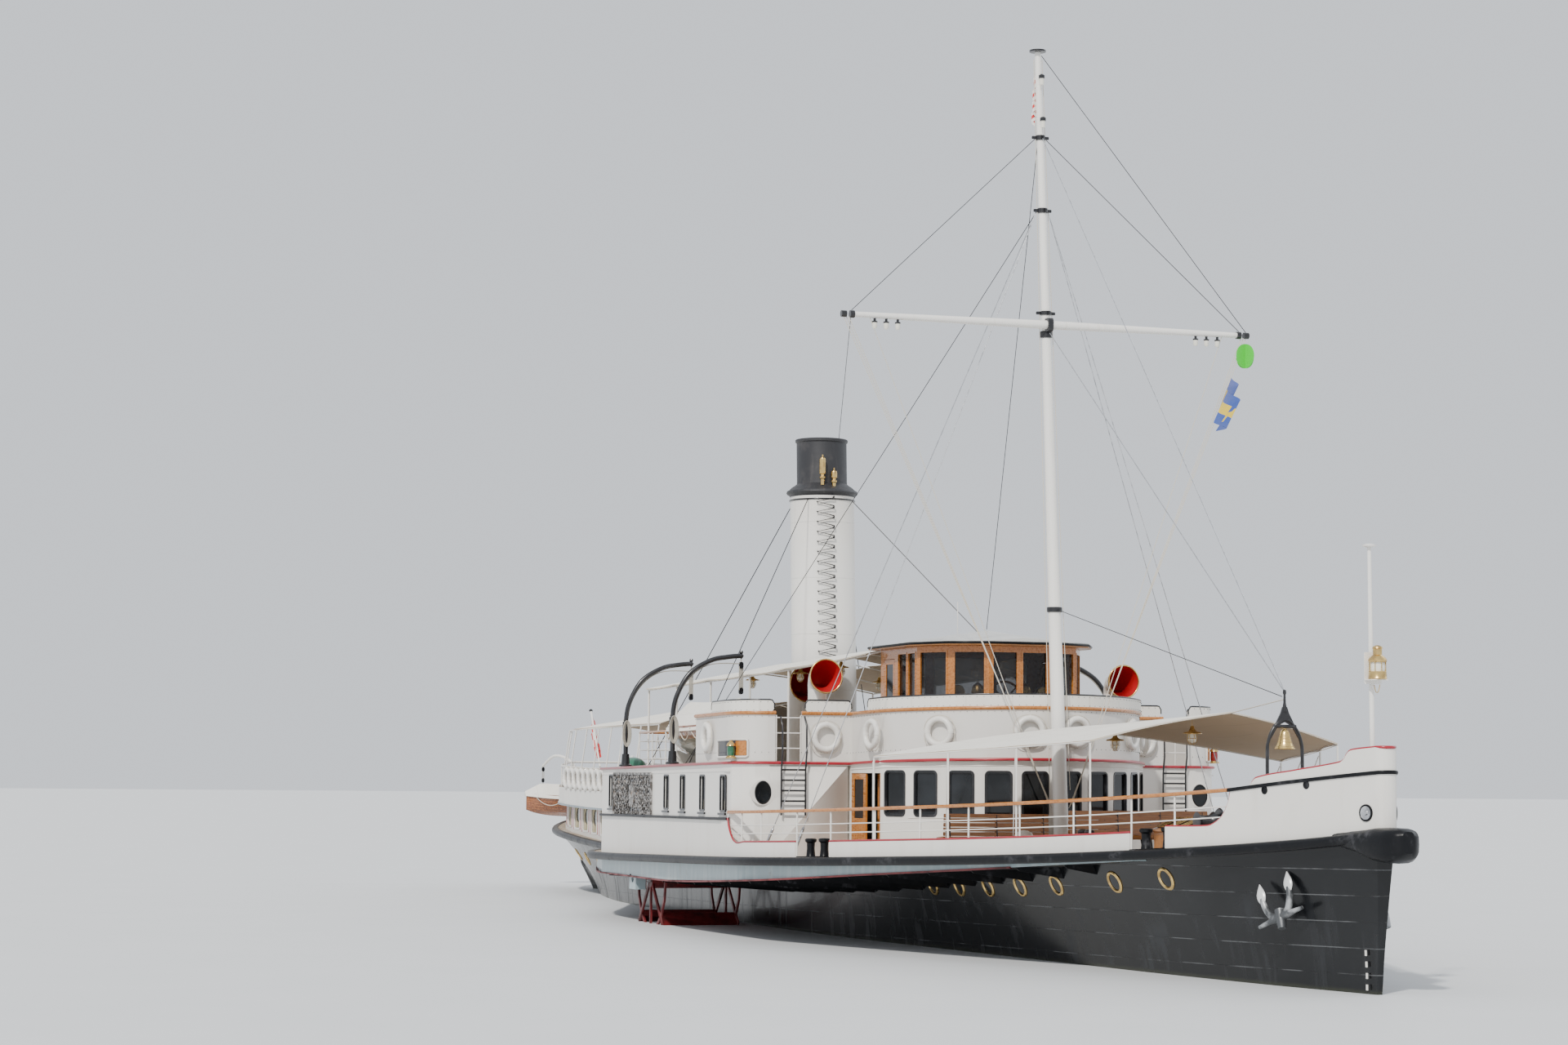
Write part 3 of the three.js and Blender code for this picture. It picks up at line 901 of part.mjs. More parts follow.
const BELL = { x: 24.3, top: 4.66, frame: 5.32 };
const bellArch = (end) => tube([[0, end * 0.36, 0.02], [0, end * 0.36, 1.9], [0, end * 0.31, 2.35],
  [0, end * 0.12, 2.72], [0, 0, 2.83]], 0.035, 7, 5);
const bellFoot = deckTop(BELL.x);
piece(fittings, 'bell_frame', join([bellArch(-1), bellArch(1),
  bar([0, 0, 2.75], [0, 0, BELL.frame + 0.1 - bellFoot], 0.05, 0.03),
  bar([0, -0.34, BELL.top - bellFoot + 0.06], [0, 0.34, BELL.top - bellFoot + 0.06], 0.028),
  ...[-1, 1].map((end) => box(-0.12, 0.12, end * 0.36 - 0.09, end * 0.36 + 0.09, 0.010, 0.05))]), 'iron',
[BELL.x, 0, bellFoot]);
piece(fittings, 'bell', turned([[0, -0.0292], [0.045, -0.035], [0.09, -0.10], [0.12, -0.22], [0.16, -0.34],
  [0.20, -0.40], [0.185, -0.405], [0.14, -0.34], [0.10, -0.22], [0.07, -0.12], [0, -0.09]], 14)
  .add(turned([[0, -0.08], [0.02, -0.08], [0.02, -0.34], [0.045, -0.38], [0, -0.42]], 6)), 'brass',
[BELL.x, 0, BELL.top + 0.06]);

const JACK = { x: 27.75, top: 7.86, lantern: 5.75 };
const jackFoot = deckTop(JACK.x) + 0.0055;
piece(fittings, 'jackstaff', join([bar([0, 0, GAP], [-0.1, 0, JACK.top - jackFoot], 0.05, 0.035, 8),
  bar([-0.1, 0, JACK.top - jackFoot - 0.01], [-0.1, 0, JACK.top - jackFoot + 0.08], 0.06, 0.05, 8),
  box(-0.08, 0.22, -0.03, 0.03, JACK.lantern - jackFoot - 0.3, JACK.lantern - jackFoot - 0.26),
  bar([0.2, 0, JACK.lantern - jackFoot - 0.3], [0.2, 0, JACK.lantern - jackFoot + 0.22], 0.13, 0.11, 10),
  bar([0.2, 0, JACK.lantern - jackFoot + 0.22], [0.2, 0, JACK.lantern - jackFoot + 0.42], 0.06, 0.05, 8)]),
'white', [JACK.x, 0, jackFoot]);

// Mast with its yard, raked aft, and the main stays.
const mastX = (z) => MAST.x - MAST.rake * (z - deckTop(MAST.x));
const mastAt = (z, y = 0) => [mastX(z), y, z];
const mastRadius = (z) => MAST.radius + (MAST.headRadius - MAST.radius)
  * (z - 1.8) / (MAST.head - 1.8);
const bandAt = (z, height) => bar(mastAt(z), mastAt(z + height), mastRadius(z) + 0.035, mastRadius(z) + 0.035,
  8);
const mastFoot = band([13, 14], () => 1, () => 1, onDeck);
const yardAt = (y) => [mastX(MAST.yard) + mastRadius(MAST.yard) + 0.06, y, MAST.yard];
piece(fittings, 'mast', join([
  bar(mastAt(1.8), mastAt(MAST.head), MAST.radius, MAST.headRadius, 10),
  ...[[7.42, 0.12], [MAST.yard - 0.2, 0.4], [MAST.shrouds, 0.12], [MAST.hounds, 0.12], [20.25, 0.2]]
    .map(([z, height]) => bandAt(z, height)),
  bar(yardAt(0), yardAt(YARD_HALF), 0.10, 0.06, 8), bar(yardAt(0), yardAt(-YARD_HALF), 0.10, 0.06, 8),
  ...SIDES.map(([side]) => bar(yardAt(side * (YARD_HALF - 0.25)), yardAt(side * (YARD_HALF + 0.02)), 0.08,
    0.08, 8)),
]).subtract(mastFoot), 'white');
const STAY = 0.012;
const stayTop = (z, clear) => mastRadius(z) + 0.036 + clear;
piece(fittings, 'forestay', bar([mastX(MAST.hounds) + stayTop(MAST.hounds, 0.003), 0, MAST.hounds + 0.05],
  [BELL.x - 0.02, 0, BELL.frame + 0.107], STAY), 'steel');
const SHROUD_FEET = [[9.75, 5.75], [11.3, 5.5]];
for (const [side, name] of SIDES) {
  const top = [mastX(MAST.shrouds) - 0.02, side * stayTop(MAST.shrouds, 0.012), MAST.shrouds + 0.05];
  piece(fittings, `shrouds_${name}`, join(SHROUD_FEET.map(([x, y]) => bar(top,
    [x, side * y, deckTop(x) + 0.0055], STAY))), 'steel');
}

// Paddle wheels: hub, two rims, arms and floats, keyed to one shaft right across the ship.
const wheels = group('wheels');
piece(wheels, 'paddle_shaft', bar([0, -6.02, 0], [0, 6.02, 0], SHAFT_RADIUS, SHAFT_RADIUS, SHAFT_FACES),
  'steel', [WHEEL_X, 0, WHEEL_Z]);
const wheelMiddle = (WHEEL_INNER + WHEEL_OUTER) / 2;
const wheelHalf = (WHEEL_OUTER - WHEEL_INNER) / 2;
for (const [side, name] of SIDES) {
  const rims = [-1, 1].map((end) => moved(turned([[1.28, 0], [1.37, 0], [1.37, 0.05], [1.28, 0.05]], 16),
    new THREE.Matrix4().makeRotationX(Math.PI / 2).setPosition(0, end * (wheelHalf - 0.05) + 0.025, 0)));
  const hub = bar([0, -wheelHalf, 0], [0, wheelHalf, 0], 0.26, 0.26, 10);
  const spokes = Array.from({ length: WHEEL_FLOATS }, (_, i) => (i / WHEEL_FLOATS) * Math.PI * 2)
    .flatMap((a) => {
      const turn = new THREE.Matrix4().makeRotationY(a);
      const arms = [-1, 1].map((end) => box(0.2, 1.6, end * (wheelHalf - 0.03) - 0.025,
        end * (wheelHalf - 0.03) + 0.025, -0.05, 0.05));
      const paddle = box(1.22, WHEEL_RADIUS, 0.04 - wheelHalf, wheelHalf - 0.04, -0.03, 0.03);
      return [...arms, paddle].map((part) => moved(part, turn));
    });
  piece(wheels, `paddle_wheel_${name}`, join([...rims, hub, ...spokes]).subtract(
    bar([0, -7, 0], [0, 7, 0], SHAFT_RADIUS + GAP, SHAFT_RADIUS + GAP, SHAFT_FACES)), 'red',
  [WHEEL_X, side * wheelMiddle, WHEEL_Z]);
}

// Rudder: a plate on a stock that turns in the counter.
piece(wheels, 'rudder', join([bar([0, 0, -1.2], [0, 0, RUDDER_TOP], STOCK.radius, STOCK.radius,
  STOCK.faces),
  skin([[-1.15, 0.02], [-0.5, 0.05], [0, 0.07], [0.22, 0.03]].map(([x, half]) => [[x, -half, -1.22],
    [x, half, -1.22], [x, half, -0.02], [x, -half, -0.02]]))]), 'red', [RUDDER_X, 0, 0]);

export default ship;
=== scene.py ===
# Paddle steamer at half size, dressed piece by piece round its CAD model.
# Sizes and places are the real ship's, in metres: +X to the bow, +Y to port, Z up from the waterline.
import math
import random

import bmesh
import bpy
from mathutils import Matrix, Vector
from mathutils.kdtree import KDTree


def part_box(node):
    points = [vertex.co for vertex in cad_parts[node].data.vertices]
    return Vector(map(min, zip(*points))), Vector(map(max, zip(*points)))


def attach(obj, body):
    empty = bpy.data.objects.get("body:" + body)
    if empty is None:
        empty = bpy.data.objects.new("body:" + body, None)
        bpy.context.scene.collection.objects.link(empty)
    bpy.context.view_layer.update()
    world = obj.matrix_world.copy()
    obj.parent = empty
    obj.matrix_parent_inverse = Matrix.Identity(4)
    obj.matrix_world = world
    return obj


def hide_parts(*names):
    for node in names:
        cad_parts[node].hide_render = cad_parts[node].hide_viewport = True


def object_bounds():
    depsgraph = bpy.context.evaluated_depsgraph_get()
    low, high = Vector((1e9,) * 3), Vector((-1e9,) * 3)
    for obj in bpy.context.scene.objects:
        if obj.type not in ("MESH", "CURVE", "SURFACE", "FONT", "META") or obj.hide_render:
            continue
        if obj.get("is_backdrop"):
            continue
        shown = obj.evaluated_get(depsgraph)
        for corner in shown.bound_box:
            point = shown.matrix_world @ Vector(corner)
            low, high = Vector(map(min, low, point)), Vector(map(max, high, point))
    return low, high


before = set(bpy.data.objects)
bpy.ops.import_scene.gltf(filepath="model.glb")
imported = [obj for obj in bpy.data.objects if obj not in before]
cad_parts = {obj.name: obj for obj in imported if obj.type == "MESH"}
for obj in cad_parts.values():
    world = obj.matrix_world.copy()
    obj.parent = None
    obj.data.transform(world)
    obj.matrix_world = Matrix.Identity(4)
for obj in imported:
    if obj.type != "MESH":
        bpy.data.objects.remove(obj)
cad_low, cad_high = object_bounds()

# One metre of the ship is half a metre of the model.
METRE = 0.5


# Camera. It stands at the photograph's place, off the starboard bow and 3.6 m over the water.
# It looks aft and slightly up, with the small roll that the photograph has.
def place_camera():
    lens = bpy.data.cameras.new("camera")
    lens.lens = 72.19
    lens.sensor_width = 36
    lens.clip_end = 500
    camera = bpy.data.objects.new("camera", lens)
    bpy.context.scene.collection.objects.link(camera)
    pitch = math.radians(4.707)
    roll = 0.0085
    heading = Vector((-0.9537, 0.3007, 0)).normalized()
    ahead = heading * math.cos(pitch) + Vector((0, 0, math.sin(pitch)))
    right = ahead.cross(Vector((0, 0, 1))).normalized()
    up = right.cross(ahead)
    tilted = right * math.cos(roll) + up * math.sin(roll)
    camera.matrix_world = Matrix((tilted, tilted.cross(ahead), -ahead)).transposed().to_4x4()
    camera.location = Vector((77.675, -26.683, 3.636)) * METRE
    bpy.context.scene.camera = camera


place_camera()


# Floor and light. The pale floor lies at the waterline, lit by a soft sky and two large soft lamps.
# Its paper is the first finish: a Value is one socket of a node tree, and + - * / on it add Math nodes.
class Value:
    def __init__(self, tree, socket=None):
        self.tree = tree
        self.socket = socket

    def node(self, kind, settings=None, inputs=None, out=0):
        """Adds a node: its settings first, then values or links for its sockets, named or numbered."""
        made = self.tree.nodes.new(kind)
        for name, setting in (settings or {}).items():
            if name == "stops":
                while len(made.color_ramp.elements) < len(setting):
                    made.color_ramp.elements.new(1)
                for element, (position, colour) in zip(made.color_ramp.elements, setting):
                    element.position = position
                    element.color = (*colour, 1)
            else:
                setattr(made, name, setting)
        for name, given in (inputs or {}).items():
            socket = made.inputs[name]
            if isinstance(given, Value):
                self.tree.links.new(given.socket, socket)
            elif socket.type == "RGBA":
                socket.default_value = (*given, 1)
            else:
                socket.default_value = given
        return Value(self.tree, made.outputs[out] if made.outputs else None)

    def maths(self, operation, first, second=0.0):
        both = [first, second]
        if any(isinstance(v, Value) and v.socket.type == "VECTOR" for v in both):
            both = [v if isinstance(v, (Value, tuple)) else (v, v, v) for v in both]
            return self.node("ShaderNodeVectorMath", {"operation": operation}, dict(enumerate(both)))
        return self.node("ShaderNodeMath", {"operation": operation}, dict(enumerate(both)))

    def __add__(self, other):
        return self.maths("ADD", self, other)

    def __sub__(self, other):
        return self.maths("SUBTRACT", self, other)

    def __rsub__(self, other):
        return self.maths("SUBTRACT", other, self)

    def __mul__(self, other):
        return self.maths("MULTIPLY", self, other)

    def __truediv__(self, other):
        return self.maths("DIVIDE", self, other)

    __radd__ = __add__
    __rmul__ = __mul__

    def most(self, other):
        return self.maths("MAXIMUM", self, other)

    def floor(self):
        return self.maths("FLOOR", self)

    def absolute(self):
        return self.maths("ABSOLUTE", self)

    def axis(self, name):
        return self.node("ShaderNodeSeparateXYZ", None, {"Vector": self}, "XYZ".index(name))

    def soft(self, low, high):
        """0 below low, 1 above high, and a smooth step between."""
        return self.node("ShaderNodeMapRange", {"interpolation_type": "SMOOTHSTEP"},
                         {"Value": self, "From Min": low, "From Max": high})

    def line(self, pitch, width):
        """1 on lines of this width that come once every pitch, and 0 between them."""
        return 1 - self.maths("PINGPONG", self, pitch / 2).soft(width * 0.4, width * 0.6)

    def noise(self, scale, detail=3.0, roughness=0.55):
        return self.node("ShaderNodeTexNoise", None,
                         {"Vector": self, "Scale": scale, "Detail": detail, "Roughness": roughness})

    def tint(self, colour, factor, over):
        """This colour with another laid over it as strongly as factor says."""
        return self.node("ShaderNodeMix", {"data_type": "RGBA", "clamp_factor": True},
                         {0: factor, 6: colour, 7: over}, 2)


def finish(name, shade, roughness=0.5, metallic=0.0, coat=0.0, bump=0.004, **constants):
    """A material: shade(value, place) gives its colour, and may give height and roughness too."""
    material = bpy.data.materials.new(name)
    material.use_nodes = True
    material.node_tree.nodes.clear()
    value = Value(material.node_tree)
    place = value.node("ShaderNodeTexCoord", None, None, 3) * (1 / METRE)
    sockets = {"Roughness": roughness, "Metallic": metallic, "Coat Weight": coat, **constants}
    given = shade(value, place)
    height = given.pop("Height", None)
    sockets.update(given)
    if height is not None:
        sockets["Normal"] = value.node("ShaderNodeBump", None,
                                       {"Strength": 1.0, "Distance": bump * METRE, "Height": height})
    shader = value.node("ShaderNodeBsdfPrincipled", None, sockets)
    value.node("ShaderNodeOutputMaterial", None, {"Surface": shader})
    return material


def plain_stage():
    def floor_shade(value, place):
        return {"Base Color": value.tint((0.66, 0.68, 0.69), place.noise(0.35), (0.71, 0.72, 0.73))}

    reach = 400
    mesh = bpy.data.meshes.new("floor")
    corners = [(-reach, -reach, 0), (reach, -reach, 0), (reach, reach, 0), (-reach, reach, 0)]
    mesh.from_pydata(corners, [], [(0, 1, 2, 3)])
    mesh.materials.append(finish("floor_paper", floor_shade, 0.55))
    floor = bpy.data.objects.new("floor", mesh)
    bpy.context.scene.collection.objects.link(floor)
    floor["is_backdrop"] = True
    world = bpy.data.worlds.new("studio")
    bpy.context.scene.world = world
    world.use_nodes = True
    world.node_tree.nodes["Background"].inputs["Color"].default_value = (0.90, 0.94, 1.0, 1)
    world.node_tree.nodes["Background"].inputs["Strength"].default_value = 1.0
    lamps = [("sun", (0.62, -0.50, 0.72), 3.6, 3), ("fill", (-0.3, 0.9, 0.6), 0.5, 40)]
    for name, direction, strength, spread in lamps:
        lamp = bpy.data.lights.new(name, "SUN")
        lamp.energy = strength
        lamp.angle = math.radians(spread)
        lamp.color = (1.0, 0.97, 0.92) if name == "sun" else (0.9, 0.95, 1.0)
        holder = bpy.data.objects.new(name, lamp)
        holder.rotation_euler = Vector(direction).to_track_quat("Z", "Y").to_euler()
        bpy.context.scene.collection.objects.link(holder)


plain_stage()


# Hull. Riveted and welded steel plates on frames, drawn in to a sharp stem and an overhanging stern.
# It is painted gloss black above water and dark red below, and its seams show as fine lines.
# Stations: x, deck edge half-breadth, deck height, hull top half-breadth, half-breadth at the turn of the
# bilge, keel height and roundness of the bilge.
LINES = [
    (-28.4, 0.25, 2.30, 0.22, 0.10, 1.75, 1.0), (-28.0, 0.78, 2.27, 0.75, 0.40, 1.35, 1.0),
    (-27.0, 1.38, 2.20, 1.35, 0.80, 0.80, 1.0), (-25.6, 1.95, 2.11, 1.92, 1.15, 0.25, 1.0),
    (-25.2, 2.08, 2.09, 2.05, 0.62, -1.30, 1.3), (-24.0, 2.38, 2.02, 2.35, 0.90, -1.45, 1.2),
    (-22.0, 2.65, 1.94, 2.60, 1.45, -1.50, 1.0), (-18.0, 2.90, 1.80, 2.85, 2.25, -1.50, 0.80),
    (-14.0, 3.15, 1.72, 3.02, 2.78, -1.50, 0.62), (-11.5, 3.75, 1.70, 3.06, 2.92, -1.50, 0.55),
    (-8.0, 4.92, 1.70, 3.09, 3.02, -1.50, 0.50), (-5.5, 5.80, 1.71, 3.09, 3.05, -1.50, 0.50),
    (-3.4, 6.20, 1.72, 3.09, 3.06, -1.50, 0.50), (2.5, 6.27, 1.80, 3.09, 3.05, -1.50, 0.50),
    (8.9, 6.15, 1.90, 3.04, 2.72, -1.50, 0.60), (12.0, 5.55, 1.97, 2.94, 2.38, -1.50, 0.68),
    (15.0, 4.74, 2.06, 2.78, 2.06, -1.50, 0.76), (18.0, 3.83, 2.16, 2.55, 1.72, -1.50, 0.85),
    (21.0, 2.86, 2.29, 2.22, 1.38, -1.48, 0.95), (23.5, 1.98, 2.43, 1.82, 1.00, -1.45, 1.0),
    (25.5, 1.25, 2.57, 1.20, 0.64, -1.40, 1.1), (27.2, 0.60, 2.72, 0.56, 0.27, -1.20, 1.2),
    (28.2, 0.22, 2.84, 0.18, 0.06, -0.80, 1.2),
]
DECK_EDGE, DECK, TOP, TURN, KEEL, ROUND = range(1, 7)
SIDES = ((-1, "starboard"), (1, "port"))
PLATE = 0.07
STRAKE = 0.46
STEM_RAKE = 0.10


def along(table, x, column=1):
    """A column of a table read at x on a smooth curve through its rows, with no overshoot."""
    last = len(table) - 1
    if x <= table[0][0]:
        return table[0][column]
    if x >= table[last][0]:
        return table[last][column]

    def rate(i):
        return (table[i + 1][column] - table[i][column]) / (table[i + 1][0] - table[i][0])

    def slope(i):
        if i == 0:
            return rate(0)
        if i == last:
            return rate(last - 1)
        before, after = rate(i - 1), rate(i)
        return 0 if before * after <= 0 else 2 * before * after / (before + after)

    i = max(k for k in range(last) if table[k][0] <= x)
    step = table[i + 1][0] - table[i][0]
    t = (x - table[i][0]) / step
    low, high = table[i][column], table[i + 1][column]
    return (low * (1 + 2 * t) * (1 - t) ** 2 + step * slope(i) * t * (1 - t) ** 2
            + high * t * t * (3 - 2 * t) + step * slope(i + 1) * t * t * (t - 1))


def deck_half(x):
    return along(LINES, x, DECK_EDGE)


def deck_top(x):
    return along(LINES, x, DECK)


def hull_half(x, z):
    """Half-breadth of the hull's side at a height over the turn of the bilge."""
    high = deck_top(x) - PLATE
    turn_height = max(0, along(LINES, x, KEEL) + 0.35 * (high - along(LINES, x, KEEL)))
    rise = min(1, max(0, (z - turn_height) / (high - turn_height)))
    turn = along(LINES, x, TURN)
    return turn + (along(LINES, x, TOP) - turn) * rise ** 1.3


def steps(start, end, count):
    return [start + (end - start) * i / count for i in range(count + 1)]


def loft(loops, caps=True):
    """Points and faces of a body through loops of points that all have the same number of points."""
    count = len(loops[0])
    points = [point for loop in loops for point in loop]
    faces = []
    for i in range(len(loops) - 1):
        for j in range(count):
            k = (j + 1) % count
            faces.append((i * count + j, i * count + k, (i + 1) * count + k, (i + 1) * count + j))
    if caps:
        faces.append(tuple(reversed(range(count))))
        faces.append(tuple(range(len(points) - count, len(points))))
    return points, faces


def build(name, forms, material, slot, body="ship", replaces=(), angle=38, extra=()):
    """One piece from several forms, its faces turned outwards, its bends smooth and its corners crisp."""
    mesh = bpy.data.meshes.new(name)
    shape = bmesh.new()
    groups = [(forms, 0)] + [(more, i + 1) for i, (more, _) in enumerate(extra)]
    for listed, index in groups:
        for points, faces in listed:
            made = [shape.verts.new(Vector(point) * METRE) for point in points]
            for face in faces:
                corners = [made[i] for i in face]
                if len(set(corners)) > 2:
                    shape.faces.new(corners).material_index = index
    bmesh.ops.remove_doubles(shape, verts=shape.verts, dist=0.00004)
    bmesh.ops.recalc_face_normals(shape, faces=shape.faces)
    shape.to_mesh(mesh)
    shape.free()
    for made in (material, *(other for _, other in extra)):
        mesh.materials.append(made)
    mesh.shade_smooth()
    mesh.set_sharp_from_angle(angle=math.radians(angle))
    return settle(bpy.data.objects.new(name, mesh), slot, body, replaces)


def settle(piece, slot, body="ship", replaces=()):
    bpy.context.scene.collection.objects.link(piece)
    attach(piece, body)
    if replaces:
        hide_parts(*replaces)
    return piece


def hull_section(x):
    high = deck_top(x) - PLATE
    turn, keel, power = (along(LINES, x, column) for column in (TURN, KEEL, ROUND))
    turn_height = max(0, keel + 0.35 * (high - keel))
    rows = [(hull_half(x, z), z) for z in steps(high, turn_height, 14)[:-1]]
    for angle in steps(0, math.pi / 2, 12)[:-1]:
        rows.append((turn * math.cos(angle) ** power,
                     turn_height + (keel - turn_height) * math.sin(angle) ** power))
    forward = max(0, (x - 23.5) / 4.7) ** 2
    loop = [*rows, (0, keel), *((-y, z) for y, z in reversed(rows))]
    return [(x - STEM_RAKE * (high - z) * forward, y, z) for y, z in loop]


def hull_shade(value, place):
    height = place.axis("Z")
    x = place.axis("X")
    streaks = (place * (2.2, 2.2, 0.18)).noise(1.4, 6)
    # Streaks grow paler towards the waterline and fade out by 2.4 m up. This is partly dust and partly a
    # painted sunlit band below the shade of the belt and sponsons, which leaves the top band dark as painted
    # shade.
    dust_and_sunlit_band = (streaks.soft(0.5, 0.75) * (1 - height.soft(0.1, 2.4)) + place.noise(0.5).soft(0.55, 0.8) * 0.25)
    sheered = height + x * -0.012
    level = sheered.line(STRAKE, 0.014)
    seams = level.most(x.line(5.8, 0.012) * 0.6)
    strakes = sheered.line(STRAKE, 0.02)
    plain = value.tint((0.004, 0.0045, 0.0055), dust_and_sunlit_band * 0.7, (0.034, 0.037, 0.042))
    # Pale broken lines along the plating seams are a painted highlight, where light catches the weld beads.
    seam_highlight = value.tint(plain, strakes * place.noise(1.1).soft(0.42, 0.6) * 0.4, (0.22, 0.23, 0.24))
    wet = 1 - (height + place.noise(2.0) * 0.06).soft(0.05, 0.13)
    weed = value.tint(seam_highlight, wet, (0.02, 0.022, 0.014))
    boot = value.tint(weed, 1 - height.soft(-0.14, -0.11), (0.19, 0.028, 0.022))
    return {"Base Color": boot, "Height": seams * 0.6 + place.noise(0.9) * 0.8 + (x.line(2.0, 1.4)) * 0.05,
            "Roughness": 0.2 + dust_and_sunlit_band * 0.3 + place.noise(6.0) * 0.06}


hull_black = finish("hull_black", hull_shade, coat=0.12, bump=0.008, **{"Specular IOR Level": 0.32})
build("hull_shell", [loft([hull_section(x) for x in steps(-28.4, 28.2, 150)])], hull_black, "black_paint",
      replaces=["hull"], angle=50)


# Portholes. Brass rings let into the black plating, each with a near-black pane behind it as painted shade
# for the cabin.
# They light the crew's cabins under the foredeck, and more of them follow the after body.
# The panes' near-black colour is painted shade for the unlit rooms behind the glass; the wheelhouse's panes
# let part of it through.
def glass_shade(value, place):
    haze = place.noise(0.8).soft(0.45, 0.7)
    return {"Base Color": value.tint((0.004, 0.005, 0.006), haze, (0.018, 0.021, 0.025)),
            "Roughness": 0.05 + haze * 0.05}


def brass_shade(value, place):
    dull = place.noise(6.0, 4).soft(0.4, 0.7)
    return {"Base Color": value.tint((0.78, 0.55, 0.21), dull, (0.46, 0.30, 0.12)),
            "Roughness": 0.2 + dull * 0.2, "Height": place.noise(30)}


dark_glass = finish("dark_glass", glass_shade, **{"Specular IOR Level": 0.4})
brass = finish("polished_brass", brass_shade, metallic=1.0, bump=0.001)


def frame_at(place, normal, up=(0, 0, 1)):
    """A matrix at a place, its Z along the normal and its Y as near up as it can be."""
    facing = Vector(normal).normalized()
    across = Vector(up).cross(facing)
    if across.length < 0.001:
        across = Vector((1, 0, 0))
    across.normalize()
    turn = Matrix((across, facing.cross(across), facing)).transposed().to_4x4()
    return Matrix.Translation(Vector(place)) @ turn


def around(count):
    """The angles of a full turn, evenly spaced."""
    return [math.tau * i / count for i in range(count)]


def lathe(profile, matrix=None, sides=24):
    """A turned form about Z from a profile of (radius, height) that starts and ends on the axis or closes."""
    loops = [[(r * math.cos(a), r * math.sin(a), z) for r, z in profile] for a in around(sides)]
    count = len(profile)
    points = [point for loop in loops for point in loop]
    faces = []
    for i in range(sides):
        for j in range(count):
            k = (j + 1) % count
            if profile[j][0] == 0 and profile[k][0] == 0:
                continue
            after = (i + 1) % sides
            faces.append((i * count + j, after * count + j, after * count + k, i * count + k))
    return turned_to((points, faces), matrix)


def turned_to(form, matrix):
    points, faces = form
    return ([tuple(matrix @ Vector(point)) for point in points], faces) if matrix else form


def hull_frame(x, z, side):
    """A matrix on the hull's side, its Z out of the plating."""
    reach = 0.05
    run = (hull_half(x + reach, z) - hull_half(x - reach, z)) / (2 * reach)
    flare = (hull_half(x, z + reach) - hull_half(x, z - reach)) / (2 * reach)
    return frame_at((x, side * hull_half(x, z), z), (-run, side, -flare))


PORTHOLES = [(12.69, 1.40), (14.05, 1.42), (15.48, 1.46), (16.99, 1.52), (18.60, 1.60), (20.97, 1.74),
             (22.81, 1.86), (-14.6, 1.05), (-17.2, 1.08), (-19.8, 1.14), (-22.2, 1.22)]
rims, panes = [], []
for side, _ in SIDES:
    for x, z in PORTHOLES:
        spot = hull_frame(x, z, side)
        rims.append(lathe([(0.165, -0.03), (0.235, -0.03), (0.235, 0.012), (0.215, 0.03), (0.18, 0.03),
                           (0.165, 0.012)], spot, 28))
        panes.append(lathe([(0, -0.02), (0.172, -0.02), (0.172, 0.006), (0, 0.010)], spot, 28))
build("porthole_rims", rims, brass, "brass")
build("porthole_panes", panes, dark_glass, "black_iron")


# Rubbing strake. A rounded black timber and steel belt round the whole deck edge, worn by quaysides.
# It swells into a heavy fender at the stem, and the bollards stand just inside it.
def sideways(path):
    """Each plan point of a path with the mitred direction to its left."""
    for i, point in enumerate(path):
        before, after = path[max(0, i - 1)], path[min(len(path) - 1, i + 1)]
        arriving = Vector((point[0] - before[0], point[1] - before[1]))
        leaving = Vector((after[0] - point[0], after[1] - point[1]))
        arriving = arriving.normalized() if arriving.length > 1e-6 else leaving.normalized()
        leaving = leaving.normalized() if leaving.length > 1e-6 else arriving
        ahead = (arriving + leaving).normalized()
        yield point, Vector((-ahead.y, ahead.x)) * min(1.6, 1 / max(0.4, ahead.dot(leaving)))


def swept(path, profile):
    """A form with this (out, up) profile carried along a path in plan; out is to the path's left."""
    return loft([[(x + left.x * out, y + left.y * out, z + up) for out, up in profile]
                 for (x, y, z), left in sideways(path)])


def round_ship(points):
    """One side's points from bow to stern, carried aft along starboard and back along port."""
    return [(x, -y, z) for x, y, z in points] + [(x, y, z) for x, y, z in reversed(points)]


def both_sides(points):
    """The same path to starboard and, mirrored, to port, each with its left side outboard."""
    return [[(x, -y, z) for x, y, z in points], [(x, y, z) for x, y, z in reversed(points)]]


def worn_black_shade(value, place):
    rubbed = place.noise(1.6, 6).soft(0.52, 0.72) * place.noise(9.0).soft(0.4, 0.6)
    return {"Base Color": value.tint((0.005, 0.0055, 0.007), rubbed, (0.06, 0.06, 0.066)),
            "Roughness": 0.34 + rubbed * 0.3, "Height": place.noise(5.0, 4)}


worn_black = finish("worn_black_paint", worn_black_shade, bump=0.006, **{"Specular IOR Level": 0.2})
BELT = [(-0.03, -0.17), (0.11, -0.17), (0.15, -0.14), (0.17, -0.09), (0.17, -0.05), (0.14, 0.0),
        (0.10, 0.02), (-0.03, 0.02)]
belt_path = round_ship([(x, deck_half(x), deck_top(x)) for x in steps(28.2, -28.4, 160)])
fender = []
for x, half, foot, crown in [(27.3, 0.60, 2.56, 2.84), (27.9, 0.52, 2.44, 2.88), (28.3, 0.44, 2.32, 2.92),
                             (28.65, 0.37, 2.30, 2.92), (28.9, 0.26, 2.38, 2.90), (29.0, 0.12, 2.48, 2.86)]:
    middle, rise = (foot + crown) / 2, (crown - foot) / 2
    fender.append([(x, half * math.copysign(abs(math.cos(a)) ** 0.6, math.cos(a)),
                    middle + rise * math.copysign(abs(math.sin(a)) ** 0.6, math.sin(a)))
                   for a in around(20)])
bollards = []
